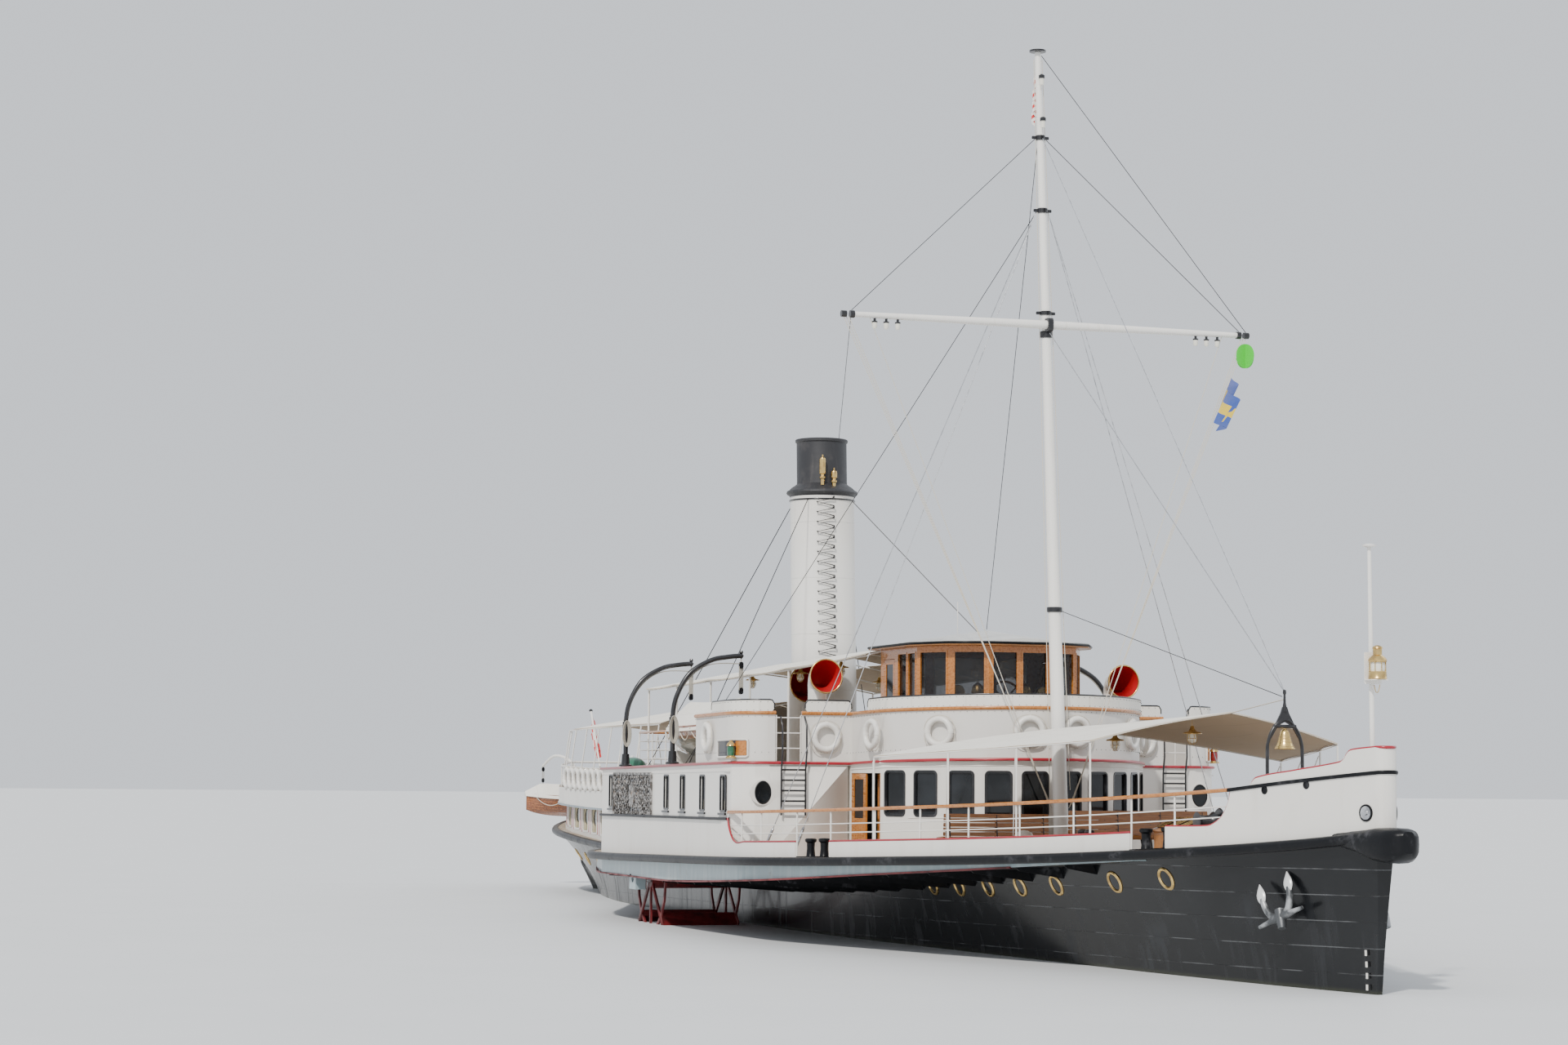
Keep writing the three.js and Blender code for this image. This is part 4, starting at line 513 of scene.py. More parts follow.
for side, _ in SIDES:
    for first in (11.95, 22.55):
        for x in (first, first + 0.55):
            seat = Matrix.Translation((x, side * (deck_half(x) - 0.28), deck_top(x)))
            bollards.append(lathe([(0, 0), (0.13, 0), (0.10, 0.05), (0.085, 0.2), (0.09, 0.33), (0.125, 0.36),
                                   (0.13, 0.41), (0.10, 0.43), (0, 0.43)], seat, 20))
        plate = [(x, side * (deck_half(x) - 0.2), deck_top(x) + 0.02) for x in (first - 0.14, first + 0.69)]
        bollards.append(swept(plate if side < 0 else plate[::-1],
                              [(-0.2, -0.02), (0.26, -0.02), (0.26, 0.02), (-0.2, 0.02)]))
build("rubbing_strake_belt", [swept(belt_path, BELT), loft(fender), *bollards], worn_black, "black_paint",
      replaces=["rubbing_strake"])


# Sponsons. Plated side decks that overhang the hull and carry the paddle boxes, on knees of plate.
# Their skirts are a pale blue grey, streaked by water; the undersides are dark red beside the wheels, and
# elsewhere are darkened to near black as painted shade under the overhang.
SKIRT = [(-13.2, 1.56), (-8, 1.36), (-3.4, 1.20), (2.5, 1.20), (8.9, 1.38), (15, 1.72), (18, 1.90),
         (22.4, 2.18)]
WELL_AFT, WELL_FORE = -2.35, 1.75


def skirt_shade(value, place):
    normal = value.node("ShaderNodeNewGeometry", None, None, 1)
    side, ahead = place.axis("Y").absolute(), place.axis("X").absolute()
    under = 1 - normal.axis("Z").soft(-0.7, -0.4)
    well = (1 - side.soft(5.79, 5.81)) * (1 - ahead.soft(2.38, 2.4))
    streaks = (place * (3.0, 3.0, 0.35)).noise(1.6, 6).soft(0.42, 0.68)
    low = 1 - place.axis("Z").soft(1.2, 1.75)
    plain = value.tint((0.30, 0.385, 0.41), streaks * 0.5 + low * streaks * 0.3, (0.50, 0.56, 0.56))
    rusty = value.tint(plain, place.noise(2.4, 6).soft(0.62, 0.75) * 0.5, (0.20, 0.22, 0.20))
    red = value.tint((0.10, 0.012, 0.012), place.noise(2.0, 5).soft(0.4, 0.7), (0.16, 0.03, 0.025))
    # Away from the wheels the red underside is darkened to near black: painted shade in the deep shadow under
    # the overhang.
    dark = value.tint(red, ahead.soft(3.3, 3.5), (0.012, 0.010, 0.010))
    return {"Base Color": value.tint(rusty, under.most(well), dark),
            "Roughness": 0.38 + streaks * 0.15, "Height": place.noise(1.2) + place.axis("X").line(2.3, 0.02)}


def dress(node, material):
    """Gives a CAD piece that keeps its own shape its real finish."""
    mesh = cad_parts[node].data
    mesh.materials.clear()
    mesh.materials.append(material)


skirt_paint = finish("skirt_paint", skirt_shade, coat=0.2, bump=0.005)
for _, name in SIDES:
    dress(f"sponson_{name}", skirt_paint)


def red_lead_shade(value, place):
    grime = place.noise(2.2, 6).soft(0.42, 0.68)
    return {"Base Color": value.tint((0.17, 0.016, 0.018), grime, (0.065, 0.012, 0.012)),
            "Roughness": 0.42 + grime * 0.25, "Height": place.noise(7.0)}


red_lead = finish("dark_red_paint", red_lead_shade, bump=0.004)
skirt_edge, knees = [], []
for path in both_sides([(x, deck_half(x) - 0.11, along(SKIRT, x)) for x in steps(19.0, -13.1, 90)]):
    skirt_edge.append(swept(path, [(-0.05, -0.02), (0.02, -0.02), (0.02, 0.02), (-0.05, 0.02)]))
for side, _ in SIDES:
    for x in steps(-11.6, 20.4, 23):
        if WELL_AFT - 0.3 < x < WELL_FORE + 0.3:
            continue
        inner, outer, top = hull_half(x, 1.0) - 0.02, deck_half(x) - 0.2, along(SKIRT, x) + 0.02
        if outer - inner > 0.3:
            drop = min(0.30, 0.25 * (outer - inner))
            knees.append(loft([[(x + dx, side * inner, top - drop), (x + dx, side * inner, top),
                                (x + dx, side * outer, top), (x + dx, side * (outer - 0.1), top - 0.09)]
                               for dx in (-0.02, 0.02)]))
build("skirt_edge_bars", skirt_edge, red_lead, "red_paint")
# The knees are red lead like the undersides, but take the black finish as painted shade: they stand in the
# deep shadow under the sponsons.
build("sponson_knees", knees, worn_black, "black_paint")


# Decks. Narrow teak planks run fore and aft with black caulked seams, silvered by sun and water.
# The promenade and aft decks have white plated edges under them.
PLANK, PLANK_RUN, CAULKING = 0.115, 4.2, 0.012


def plank_shade(value, place):
    across, ahead = place.axis("Y"), place.axis("X")
    row = (across / PLANK).floor()
    butt = (ahead + row * 1.73).line(PLANK_RUN, CAULKING)
    seam = across.line(PLANK, CAULKING).most(butt)
    cell = (ahead / PLANK_RUN + row * 0.412).floor()
    shade = value.node("ShaderNodeTexWhiteNoise", {"noise_dimensions": "2D"}, {
        "Vector": value.node("ShaderNodeCombineXYZ", None, {"X": row, "Y": cell})})
    grain = (place * (0.5, 9.0, 9.0)).noise(4.0, 5)
    wood = value.tint((0.30, 0.215, 0.14), shade * 0.5 + grain * 0.4, (0.44, 0.36, 0.265))
    silver = value.tint(wood, place.noise(0.7, 4).soft(0.4, 0.65) * 0.6, (0.42, 0.39, 0.345))
    return value.tint(silver, seam, (0.02, 0.018, 0.016)), grain * 0.3 - seam


def white_shade(value, place, warm=(0.79, 0.765, 0.715)):
    dirt = (place * (1.4, 1.4, 0.25)).noise(1.7, 6).soft(0.5, 0.75)
    haze = place.noise(0.6, 4).soft(0.4, 0.7)
    clean = value.tint(warm, haze * 0.35, (0.72, 0.70, 0.66))
    return value.tint(clean, dirt * 0.22, (0.56, 0.50, 0.42))


def deck_shade(value, place):
    planks, height = plank_shade(value, place)
    top = value.node("ShaderNodeNewGeometry", None, None, 1).axis("Z").soft(0.5, 0.8)
    return {"Base Color": value.tint(white_shade(value, place), top, planks),
            "Height": height * top, "Roughness": 0.5 + top * 0.15}


deck_planks = finish("teak_deck", deck_shade, bump=0.004)
for node in ("main_deck", "promenade_deck", "aft_deck"):
    dress(node, deck_planks)


# Bow bulwark. White steel plates close in the foredeck and step up to the stem.
# A red half-round bar caps their edge, and a black moulding runs round them at the old rail's height.
SEAT = 0.006


def wall(path, thickness, foot, crown):
    """A plate standing on a plan path: its outer face on the path, its thickness to the path's right."""
    loops = []
    for (x, y), left in sideways(path):
        inner = (x - left.x * thickness, y - left.y * thickness)
        loops.append([(x, y, foot(x)), (x, y, crown(x)), (*inner, crown(x)), (*inner, foot(x))])
    return loft(loops)


def paint_shade(value, place):
    return {"Base Color": white_shade(value, place), "Height": place.noise(0.9) + place.noise(14.0) * 0.04,
            "Roughness": 0.3 + place.noise(2.0) * 0.12}


def red_shade(value, place):
    return {"Base Color": value.tint((0.36, 0.008, 0.022), place.noise(3.0).soft(0.4, 0.75) * 0.5,
                                     (0.22, 0.01, 0.016)), "Roughness": 0.3}


def steel_shade(value, place):
    dull = place.noise(8.0, 5).soft(0.35, 0.7)
    return {"Base Color": value.tint((0.62, 0.63, 0.65), dull, (0.34, 0.35, 0.37)),
            "Roughness": 0.24 + dull * 0.3, "Height": place.noise(20)}


white_paint = finish("white_paint", paint_shade, coat=0.15, bump=0.004)
red_paint = finish("red_trim_paint", red_shade, coat=0.3)
steel = finish("galvanised_steel", steel_shade, metallic=0.9, bump=0.002)
BULWARK_TOP = [(23.35, 2.85), (24.0, 2.862), (24.4, 2.88), (24.6, 2.955), (24.75, 3.07), (24.86, 3.25),
               (24.92, 3.40), (24.95, 3.56), (25.42, 3.64), (25.46, 3.70), (25.54, 3.765), (26.4, 3.90),
               (27.3, 4.03), (27.44, 4.06), (27.52, 4.12), (27.57, 4.20), (27.66, 4.265), (28.2, 4.32)]
MOULDING = [(24.9, 3.545), (25.94, 3.66), (26.83, 3.75), (27.69, 3.83), (28.4, 3.89)]
NOSE = [(28.27, 0.17), (28.32, 0.10), (28.34, 0.0)]


def tree_with(name, numbers, grow):
    """A Geometry Nodes tree whose inputs are a geometry, named numbers and a material."""
    tree = bpy.data.node_groups.new(name, "GeometryNodeTree")
    tree.interface.new_socket(name="Geometry", in_out="INPUT", socket_type="NodeSocketGeometry")
    for label, kind in numbers.items():
        tree.interface.new_socket(name=label, in_out="INPUT", socket_type=kind)
    tree.interface.new_socket(name="Material", in_out="INPUT", socket_type="NodeSocketMaterial")
    tree.interface.new_socket(name="Geometry", in_out="OUTPUT", socket_type="NodeSocketGeometry")
    entry = tree.nodes.new("NodeGroupInput")
    given = {socket.name: Value(tree, socket) for socket in entry.outputs if socket.name}
    grown = grow(given)
    whole = grown.node("GeometryNodeRealizeInstances", None, {"Geometry": grown})
    dressed = whole.node("GeometryNodeSetMaterial", None, {"Geometry": whole, "Material": given["Material"]})
    dressed.node("NodeGroupOutput", None, {"Geometry": dressed})
    return tree


def round_section(given):
    path = given["Geometry"].node("GeometryNodeMeshToCurve", None, {"Mesh": given["Geometry"]})
    ring = path.node("GeometryNodeCurvePrimitiveCircle", None,
                     {"Resolution": given["Sides"], "Radius": given["Radius"]})
    return path.node("GeometryNodeCurveToMesh", None,
                     {"Curve": path, "Profile Curve": ring, "Fill Caps": True})


rod_tree = tree_with("rods", {"Radius": "NodeSocketFloat", "Sides": "NodeSocketInt"}, round_section)


def grown(name, paths, tree, material, slot, body="ship", replaces=(), **numbers):
    """A piece that a tree grows along paths; lengths are given in the ship's metres."""
    mesh = bpy.data.meshes.new(name)
    points, edges = [], []
    for path in paths:
        edges += [(len(points) + i, len(points) + i + 1) for i in range(len(path) - 1)]
        points += [tuple(Vector(point) * METRE) for point in path]
    mesh.from_pydata(points, edges, [])
    holder = bpy.data.objects.new(name + "_paths", mesh)
    bpy.context.scene.collection.objects.link(holder)
    modifier = holder.modifiers.new("grow", "NODES")
    modifier.node_group = tree
    for socket in tree.interface.items_tree:
        if socket.in_out == "INPUT" and socket.name in numbers:
            given = numbers[socket.name]
            modifier[socket.identifier] = given if socket.name == "Sides" else (
                [v * METRE for v in given] if isinstance(given, tuple) else given * METRE)
        elif socket.name == "Material":
            modifier[socket.identifier] = material
    whole = holder.evaluated_get(bpy.context.evaluated_depsgraph_get())
    result = bpy.data.meshes.new_from_object(whole)
    bpy.data.objects.remove(holder)
    shape = bmesh.new()
    shape.from_mesh(result)
    bmesh.ops.recalc_face_normals(shape, faces=shape.faces)
    shape.to_mesh(result)
    shape.free()
    result.shade_smooth()
    result.set_sharp_from_angle(angle=math.radians(45))
    result.name = name
    return settle(bpy.data.objects.new(name, result), slot, body, replaces)


def rods(name, paths, radius, material, slot, body="ship", replaces=(), sides=8):
    """Rods, pipes, ropes or wires: each is a path with a round section."""
    return grown(name, paths, rod_tree, material, slot, body, replaces, Radius=radius, Sides=sides)


def bulwark_plan(start):
    side = [(x, deck_half(x) - 0.015) for x in steps(28.2, start, 90)]
    curve = [(x, -y) for x, y in reversed(side)] + [(x, -y) for x, y in NOSE]
    return [(x, y) for x, y in reversed(curve + [(x, -y) for x, y in reversed(curve[:-1])])]


def raised(plan, height):
    return [(x, y, height(x)) for x, y in plan]


bulwark_plates = wall(bulwark_plan(23.35), 0.06, lambda x: deck_top(min(x, 28.2)) + SEAT,
                      lambda x: along(BULWARK_TOP, x))
stem_moulding = swept(raised(bulwark_plan(24.9), lambda x: along(MOULDING, x)),
                      [(0.0, -0.035), (0.025, -0.03), (0.035, 0), (0.025, 0.03), (0.0, 0.035)])
build("bow_bulwark_plates", [bulwark_plates], white_paint, "white_paint", replaces=["bow_bulwark"],
      extra=[([stem_moulding], worn_black)])
low_caps = []
for side, _ in SIDES:
    edge = [(x, side * (deck_half(x) - 0.045), along(BULWARK_TOP, x)) for x in steps(23.35, 24.95, 44)]
    low_caps.append([(23.35, edge[0][1], deck_top(23.35) + 0.05), *edge])
high_cap = [(x, y * (1 - 0.03 / max(0.2, abs(y))) if y else 0, z) for x, y, z in raised(
    bulwark_plan(25.43), lambda x: along(BULWARK_TOP, x))]
rods("bulwark_red_caps", [*low_caps, high_cap], 0.029, red_paint, "red_paint", sides=10)
leads, hawse = [], []
for side, _ in SIDES:
    for x, z in ((25.76, 3.55), (26.70, 3.65)):
        run = (deck_half(x + 0.1) - deck_half(x - 0.1)) / 0.2
        spot = frame_at((x, side * (deck_half(x) - 0.012), z), (-run, side, 0))
        leads.append(lathe([(0, -0.01), (0.045, -0.01), (0.045, 0.004), (0.05, 0.012), (0.06, 0.016),
                            (0.072, 0.010), (0.075, 0.0), (0.0, 0.002)], spot, 20))
    spot = frame_at((28.0, side * (deck_half(28.0) - 0.012), 3.17), (0.36, side, 0))
    leads.append(lathe([(0.118, -0.01), (0.118, 0.012), (0.132, 0.026), (0.15, 0.018), (0.155, -0.01)], spot,
                       28))
    hawse.append(lathe([(0, 0.03), (0.03, 0.028), (0.05, 0.0), (0.09, 0.004), (0.118, 0.018), (0.12, -0.01),
                        (0, -0.01)], spot, 28))
build("bulwark_fairleads", leads, worn_black, "black_iron")
build("hawse_linings", hawse, steel, "galvanised_steel")


# Draft marks. Plain white blocks welded to the plating near the stem, one every 20 cm.
# They carry no figures.
def slab(matrix, outline, low, high):
    """A plate with this outline in the matrix's own plane, between two heights over it."""
    return loft([[tuple(matrix @ Vector((u, v, w))) for u, v in outline] for w in (low, high)])


MARK = [(-0.02, -0.05), (0.02, -0.05), (0.02, 0.05), (-0.02, 0.05)]
marks = [slab(hull_frame(27.75, z, side), MARK, -0.01, 0.006)
         for side, _ in SIDES for z in steps(0.12, 0.72, 3)]
build("draft_marks", marks, white_paint, "white_paint")


# Foredeck rails. A varnished wooden handrail on white iron stanchions, with two rods under it.
# Low white spray boards with a red edge stand on the deck's rim, with a gap at each pair of bollards.
def wood_shade(value, place):
    grain = (place * (1.2, 8.0, 8.0)).noise(2.6, 6).soft(0.3, 0.7)
    fine = (place * (3.0, 30.0, 30.0)).noise(4.0, 4)
    wood = value.tint((0.40, 0.135, 0.022), grain, (0.53, 0.205, 0.038))
    return {"Base Color": value.tint(wood, fine * 0.15, (0.26, 0.08, 0.016)), "Roughness": 0.24 + grain * 0.1,
            "Height": fine}


varnished = finish("varnished_wood", wood_shade, coat=0.5, bump=0.001)
RAIL_HEIGHT = 1.03
STRIP_HEIGHT = 0.36
BOX_EDGE = [(7.85, 2.79), (8.27, 2.79), (8.32, 2.68), (8.42, 2.53), (8.56, 2.39), (8.75, 2.28), (9.0, 2.235),
            (9.4, deck_top(9.4) + STRIP_HEIGHT)]


def rail_edge(x):
    return deck_half(x) - 0.10


def strip_top(x):
    return along(BOX_EDGE, x) if x < 9.4 else deck_top(x) + STRIP_HEIGHT


HANDRAIL = [(-0.055, -0.02), (-0.045, -0.035), (0.045, -0.035), (0.055, -0.02), (0.055, 0.012), (0.03, 0.034),
            (-0.03, 0.034), (-0.055, 0.012)]
AWNING_POSTS = [(14.6, 4.14), (17.1, 4.24), (19.2, 4.33), (21.3, 4.43)]
for sign, name in SIDES:
    turn = 0 if sign < 0 else 1
    rail = both_sides([(x, rail_edge(x), deck_top(x) + RAIL_HEIGHT) for x in steps(24.93, 8.3, 90)])[turn]
    strips, lines = [], []
    for start, end in ((11.7, 7.85), (22.4, 13.05)):
        plan = both_sides([(x, deck_half(x) - 0.06, 0) for x in steps(start, end, 60)])[turn]
        strips.append(wall([p[:2] for p in plan], 0.03, lambda x: deck_top(x) + 0.01, strip_top))
        lines.append([(x, sign * (deck_half(x) - 0.075), strip_top(x))
                      for x in steps(start, max(end, 8.27), 70)])
    build(f"foredeck_rail_wood_{name}", [swept(rail, HANDRAIL)], varnished, "white_paint",
          replaces=[f"foredeck_rail_{name}"], extra=[(strips, white_paint)])
    rods(f"spray_board_edges_{name}", lines, 0.024, red_paint, "red_paint")
    slim = [[(x, sign * rail_edge(x), deck_top(x) + up) for x in steps(fore, 8.42, 40)]
            for fore, up in ((24.7, 0.54), (24.88, 0.73))]
    posts = [[(x, sign * rail_edge(x), deck_top(x) + 0.005), (x, sign * rail_edge(x), deck_top(x) + 1.0)]
             for x in (23.5, 22.4, 20.85, 19.3, 17.75, 16.2, 14.65, 13.05, 11.7, 10.2, 9.2)]
    stays = [[(x, sign * rail_edge(x), deck_top(x) + 0.02), (x, sign * rail_edge(x), z)]
             for x, z in AWNING_POSTS]
    braces = [[(x - 0.06, sign * rail_edge(x), z - 0.08),
               (x - 1.06, sign * (rail_edge(x) - 0.35), deck_top(x) + 0.06)] for x, z in AWNING_POSTS[:3]]
    wire = [(x, sign * rail_edge(x), z + 0.022) for x, z in AWNING_POSTS]
    rods(f"foredeck_rail_rods_{name}", slim, 0.013, white_paint, "white_paint")
    rods(f"foredeck_stanchions_{name}", [*posts, *stays], 0.021, white_paint, "white_paint")
    rods(f"foredeck_awning_wires_{name}", [wire, *braces], 0.012, white_paint, "white_paint")


# Paddle boxes. Riveted steel houses over the wheels, painted white, with a black moulding at rail height.
# Narrow cabin windows have black frames and cream curtains, and an oval one looks forward. A carved panel
# stands over the wheel, and an iron ladder leads up to the bridge.
def refined(node, material, slot, body="ship", angle=32):
    """A CAD piece with its points merged and its bends smooth, in its real finish."""
    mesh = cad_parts[node].data.copy()
    shape = bmesh.new()
    shape.from_mesh(mesh)
    bmesh.ops.remove_doubles(shape, verts=shape.verts, dist=0.0002)
    bmesh.ops.recalc_face_normals(shape, faces=shape.faces)
    shape.to_mesh(mesh)
    shape.free()
    mesh.materials.clear()
    mesh.materials.append(material)
    mesh.shade_smooth()
    mesh.set_sharp_from_angle(angle=math.radians(angle))
    return settle(bpy.data.objects.new(node + "_plating", mesh), slot, body, [node])


def rounded(width, height, radius, count=6):
    """A rectangle's outline with rounded corners, counter-clockwise."""
    outline = []
    for quarter, (sx, sy) in enumerate(((1, 1), (-1, 1), (-1, -1), (1, -1))):
        for i in range(count + 1):
            a = math.pi / 2 * (quarter + i / count)
            outline.append((sx * (width / 2 - radius) + radius * math.cos(a),
                            sy * (height / 2 - radius) + radius * math.sin(a)))
    return outline


def surround(matrix, outline, inside, low, high):
    """A frame between an outline and a smaller one, standing out from low to high."""
    count = len(outline)
    rings = [(outline, low), (outline, high), (inside, high), (inside, low)]
    points = [tuple(matrix @ Vector((u, v, w))) for ring, w in rings for u, v in ring]
    faces = []
    for r in range(4):
        for i in range(count):
            k = (i + 1) % count
            s = (r + 1) % 4
            faces.append((r * count + i, r * count + k, s * count + k, s * count + i))
    return points, faces


def glazing(matrix, width, height, radius, frames, panes, deep=0.045, border=0.03):
    """A window's frame and its pane, set in an opening of this size; Z of the matrix points outwards."""
    outline = rounded(width + 2 * border, height + 2 * border, radius + border)
    inside = rounded(width - 0.02, height - 0.02, max(0.01, radius - 0.01))
    frames.append(surround(matrix, outline, inside, -0.02, 0.014))
    panes.append(slab(matrix, rounded(width + 0.02, height + 0.02, radius), -deep - 0.01, -deep))


BEHIND_PANE = 0.035


def drape(matrix, left, right, low, high, gather=0.0, folds=7):
    """A hanging curtain in wavy folds between two edges, drawn in at its waist by gather."""
    rows = 8
    loops = []
    for j in range(rows + 1):
        v = high + (low - high) * j / rows
        waist = math.sin(math.pi * min(1.0, j / rows * 1.35)) * gather
        row = []
        for i in range(folds * 4 + 1):
            t = i / (folds * 4)
            u = left + (right - left) * t * (1 - waist)
            row.append(tuple(matrix @ Vector((u, v, 0.006 * math.sin(math.tau * folds * t) - BEHIND_PANE))))
        loops.append(row)
    back = [[tuple(Vector(p) - matrix.to_3x3() @ Vector((0, 0, 0.003))) for p in row] for row in loops]
    return loft([a + b[::-1] for a, b in zip(loops, back)])


def curtain_shade(value, place):
    return {"Base Color": value.tint((0.50, 0.44, 0.30), place.noise(2.0), (0.38, 0.32, 0.20)),
            "Roughness": 0.85, "Height": place.noise(60)}


black_gloss = finish("black_gloss", lambda value, place: {
    "Base Color": value.tint((0.012, 0.012, 0.014), place.noise(4.0).soft(0.5, 0.8), (0.04, 0.04, 0.045)),
    "Roughness": 0.28}, coat=0.2)
curtains_cloth = finish("cream_curtain", curtain_shade, bump=0.001)
BOX_WINDOWS = [-2.43, 2.98, 4.46, 6.17, 7.88]
frames, box_panes, drapes, sills, crest, crest_ground, ladder, blanks = [], [], [], [], [], [], [], []


def crest_relief(matrix, width, height, seed):
    """Carved scrolls and rosettes on a panel: curled tapering stems round a plain oval boss."""
    rng = random.Random(seed)
    forms = [surround(matrix, rounded(width, height, 0.12), rounded(width - 0.12, height - 0.12, 0.08),
                      0, 0.05)]
    for row in range(7):
        for column in range(18):
            u = (column - 8.5) * width * 0.052 + rng.uniform(-0.02, 0.02)
            v = (row - 3) * height * 0.135 + rng.uniform(-0.015, 0.015)
            if (u / 0.40) ** 2 + (v / 0.42) ** 2 < 1:
                continue
            flip = 1 if (row + column) % 2 else -1
            start = rng.uniform(0, math.tau)
            turns = rng.uniform(5.0, 8.5)
            scroll = []
            for i in range(13):
                t = i / 12
                radius = 0.012 + 0.095 * (1 - t)
                a = start + flip * t * turns
                scroll.append(Vector((u + radius * math.cos(a), v + radius * math.sin(a), 0.02 + 0.012 * t)))
            forms.append(strand(matrix, [p for p in scroll if abs(p.x) < width / 2 - 0.05
                                         and abs(p.y) < height / 2 - 0.05], 0.012, 0.022))
    oval = [(0.0, 0.055), (0.3, 0.05), (0.42, 0.03), (0.46, 0.045), (0.52, 0.045), (0.55, 0.01), (0, 0.01)]
    stretch = matrix @ Matrix.Diagonal((0.8 * height * 0.55, height * 0.55, 1, 1))
    forms.append(lathe(oval, stretch, 24))
    for a in around(8):
        petal = matrix @ Matrix.Translation((0.07 * math.cos(a), 0.07 * math.sin(a), 0.05))
        forms.append(lathe([(0, 0.022), (0.03, 0.014), (0.04, 0), (0, 0)], petal, 10))
    return forms


def strand(matrix, path, thick, thin):
    """A tapering round stem along points in a panel's own plane."""
    loops, out = [], Vector((0, 0, 1))
    for i, point in enumerate(path):
        ahead = (path[min(i + 1, len(path) - 1)] - path[max(i - 1, 0)]).normalized()
        left = Vector((-ahead.y, ahead.x, 0))
        radius = thick + (thin - thick) * i / max(1, len(path) - 1)
        loops.append([tuple(matrix @ (point + left * radius * math.cos(a) + out * radius * math.sin(a)))
                      for a in around(7)])
    return loft(loops) if len(loops) > 2 else ([], [])


def carving_shade(value, place):
    worn = place.noise(11.0, 6).soft(0.4, 0.65)
    gilt = place.noise(5.0, 5).soft(0.6, 0.7)
    stone = value.tint((0.06, 0.052, 0.046), worn, (0.36, 0.35, 0.34))
    return {"Base Color": value.tint(stone, gilt * 0.5, (0.34, 0.25, 0.19)), "Roughness": 0.5,
            "Height": place.noise(24)}


carving = finish("weathered_carving", carving_shade, bump=0.003)
for side, name in SIDES:
    refined(f"paddle_box_{name}", white_paint, "white_paint")
    for x in BOX_WINDOWS:
        spot = frame_at((x, side * 6.1, 3.35), (0, side, 0))
        glazing(spot, 0.42, 0.80, 0.05, frames, box_panes)
        sills.append(slab(spot @ Matrix.Translation((0, -0.475, 0)), rounded(0.56, 0.05, 0.01, 2), 0, 0.045))
        drapes.append(drape(spot, -0.2 * side, -0.02 * side, -0.39, 0.39, 0.25))
    spot = frame_at((8.9, side * 5.45, 3.38), (1, 0, 0))
    oval = spot @ Matrix.Diagonal((0.70, 0.94, 1, 1))
    frames.append(lathe([(0.245, -0.02), (0.285, -0.02), (0.285, 0.016), (0.265, 0.024), (0.245, 0.0)], oval,
                        32))
    box_panes.append(lathe([(0, 0.0), (0.25, 0.0), (0.25, 0.011), (0, 0.011)], oval, 32))
    blanks.append(lathe([(0.0, -0.06), (0.29, -0.06), (0.29, 0.006), (0.0, 0.006)], spot, 32))
    panel = frame_at((-0.22, side * 6.105, 3.265), (0, side, 0))
    crest += crest_relief(panel, 3.78, 1.13, 7)
    crest_ground.append(slab(panel, rounded(3.72, 1.07, 0.1), 0.0, 0.012))
    for y in (side * 4.46, side * 5.04):
        ladder.append([(9.0, y, 2.86), (9.0, y, 3.9), (9.08, y, 4.3), (9.06, y, 4.9), (8.9, y, 5.12)])
build("paddle_box_window_frames", frames, black_gloss, "black_iron", extra=[(sills, black_gloss)])
build("paddle_box_panes", box_panes, dark_glass, "black_iron")
build("paddle_box_window_rings", blanks, white_paint, "white_paint")
build("paddle_box_curtains", drapes, curtains_cloth, "canvas")
build("paddle_box_carvings", crest, carving, "black_iron", angle=60, extra=[(crest_ground, black_gloss)])
rungs = [[(9.0, side * 4.46, z), (9.0, side * 5.04, z)] for side, _ in SIDES for z in steps(2.95, 3.9, 4)]
rods("bridge_ladders", [*ladder, *rungs], 0.022, black_gloss, "black_iron")
BOX_LINE = [(8.27, 6.075), (7.9, 6.105), (-3.4, 6.105)]
mouldings, lips = [], []
for path in both_sides([(x, y, 2.765 + 0.004 * (x - 8)) for x, y in BOX_LINE]):
    mouldings.append(swept(path, [(-0.05, -0.035), (0.055, -0.03), (0.075, 0), (0.055, 0.03),
                                  (-0.05, 0.035)]))
for path in both_sides([(8.3, 6.08, 3.86), (7.9, 6.1, 3.86), (-3.4, 6.1, 3.78)]):
    lips.append(swept(path, [(-0.02, -0.012), (0.012, -0.012), (0.012, 0.012), (-0.02, 0.012)]))
build("paddle_box_mouldings", mouldings, worn_black, "black_paint", extra=[(lips, white_paint)])


# Fore saloon. A white steel deckhouse with a rounded front of tall windows in black rounded frames.
# Small rivets ring each window, and fine mouldings run round the house above and below them.
refined("fore_saloon", white_paint, "white_paint")
ARC = 1.17
SALOON_FRONT = [(8.9 + 4.1 * math.cos(a), max(0.01, 3.2 * math.sin(a) / math.sin(ARC)))
                for a in (ARC * i / 5 for i in (4, 3, 2, 1, 0))]
SALOON_LINE = [(2.9, 3.34), (8.9, 3.34), (10.65, 3.2), *SALOON_FRONT]
PROMENADE = [(-9.4, 3.93), (-3.4, 3.96), (8.9, 4.09), (13.1, 4.20)]


def straight(table, x, column=1):
    """A column of a table read at x on straight lines between its rows."""
    for before, after in zip(table, table[1:]):
        if x <= after[0]:
            t = max(0.0, (x - before[0]) / (after[0] - before[0]))
            return before[column] + (after[column] - before[column]) * t
    return table[-1][column]


def promenade(x):
    return straight(PROMENADE, x)


def pane_spot(start, end, side, z):
    """A matrix in the middle of a flat pane of a house's outline, on one side of the ship."""
    run = Vector((end[0] - start[0], end[1] - start[1])).normalized()
    x, y = (start[0] + end[0]) / 2, (start[1] + end[1]) / 2
    return frame_at((x, side * y, z), (-run.y, side * run.x, 0))


def ring_path(matrix, outline):
    points = [tuple(matrix @ Vector((u, v, 0))) for u, v in outline]
    return points + points[:1]


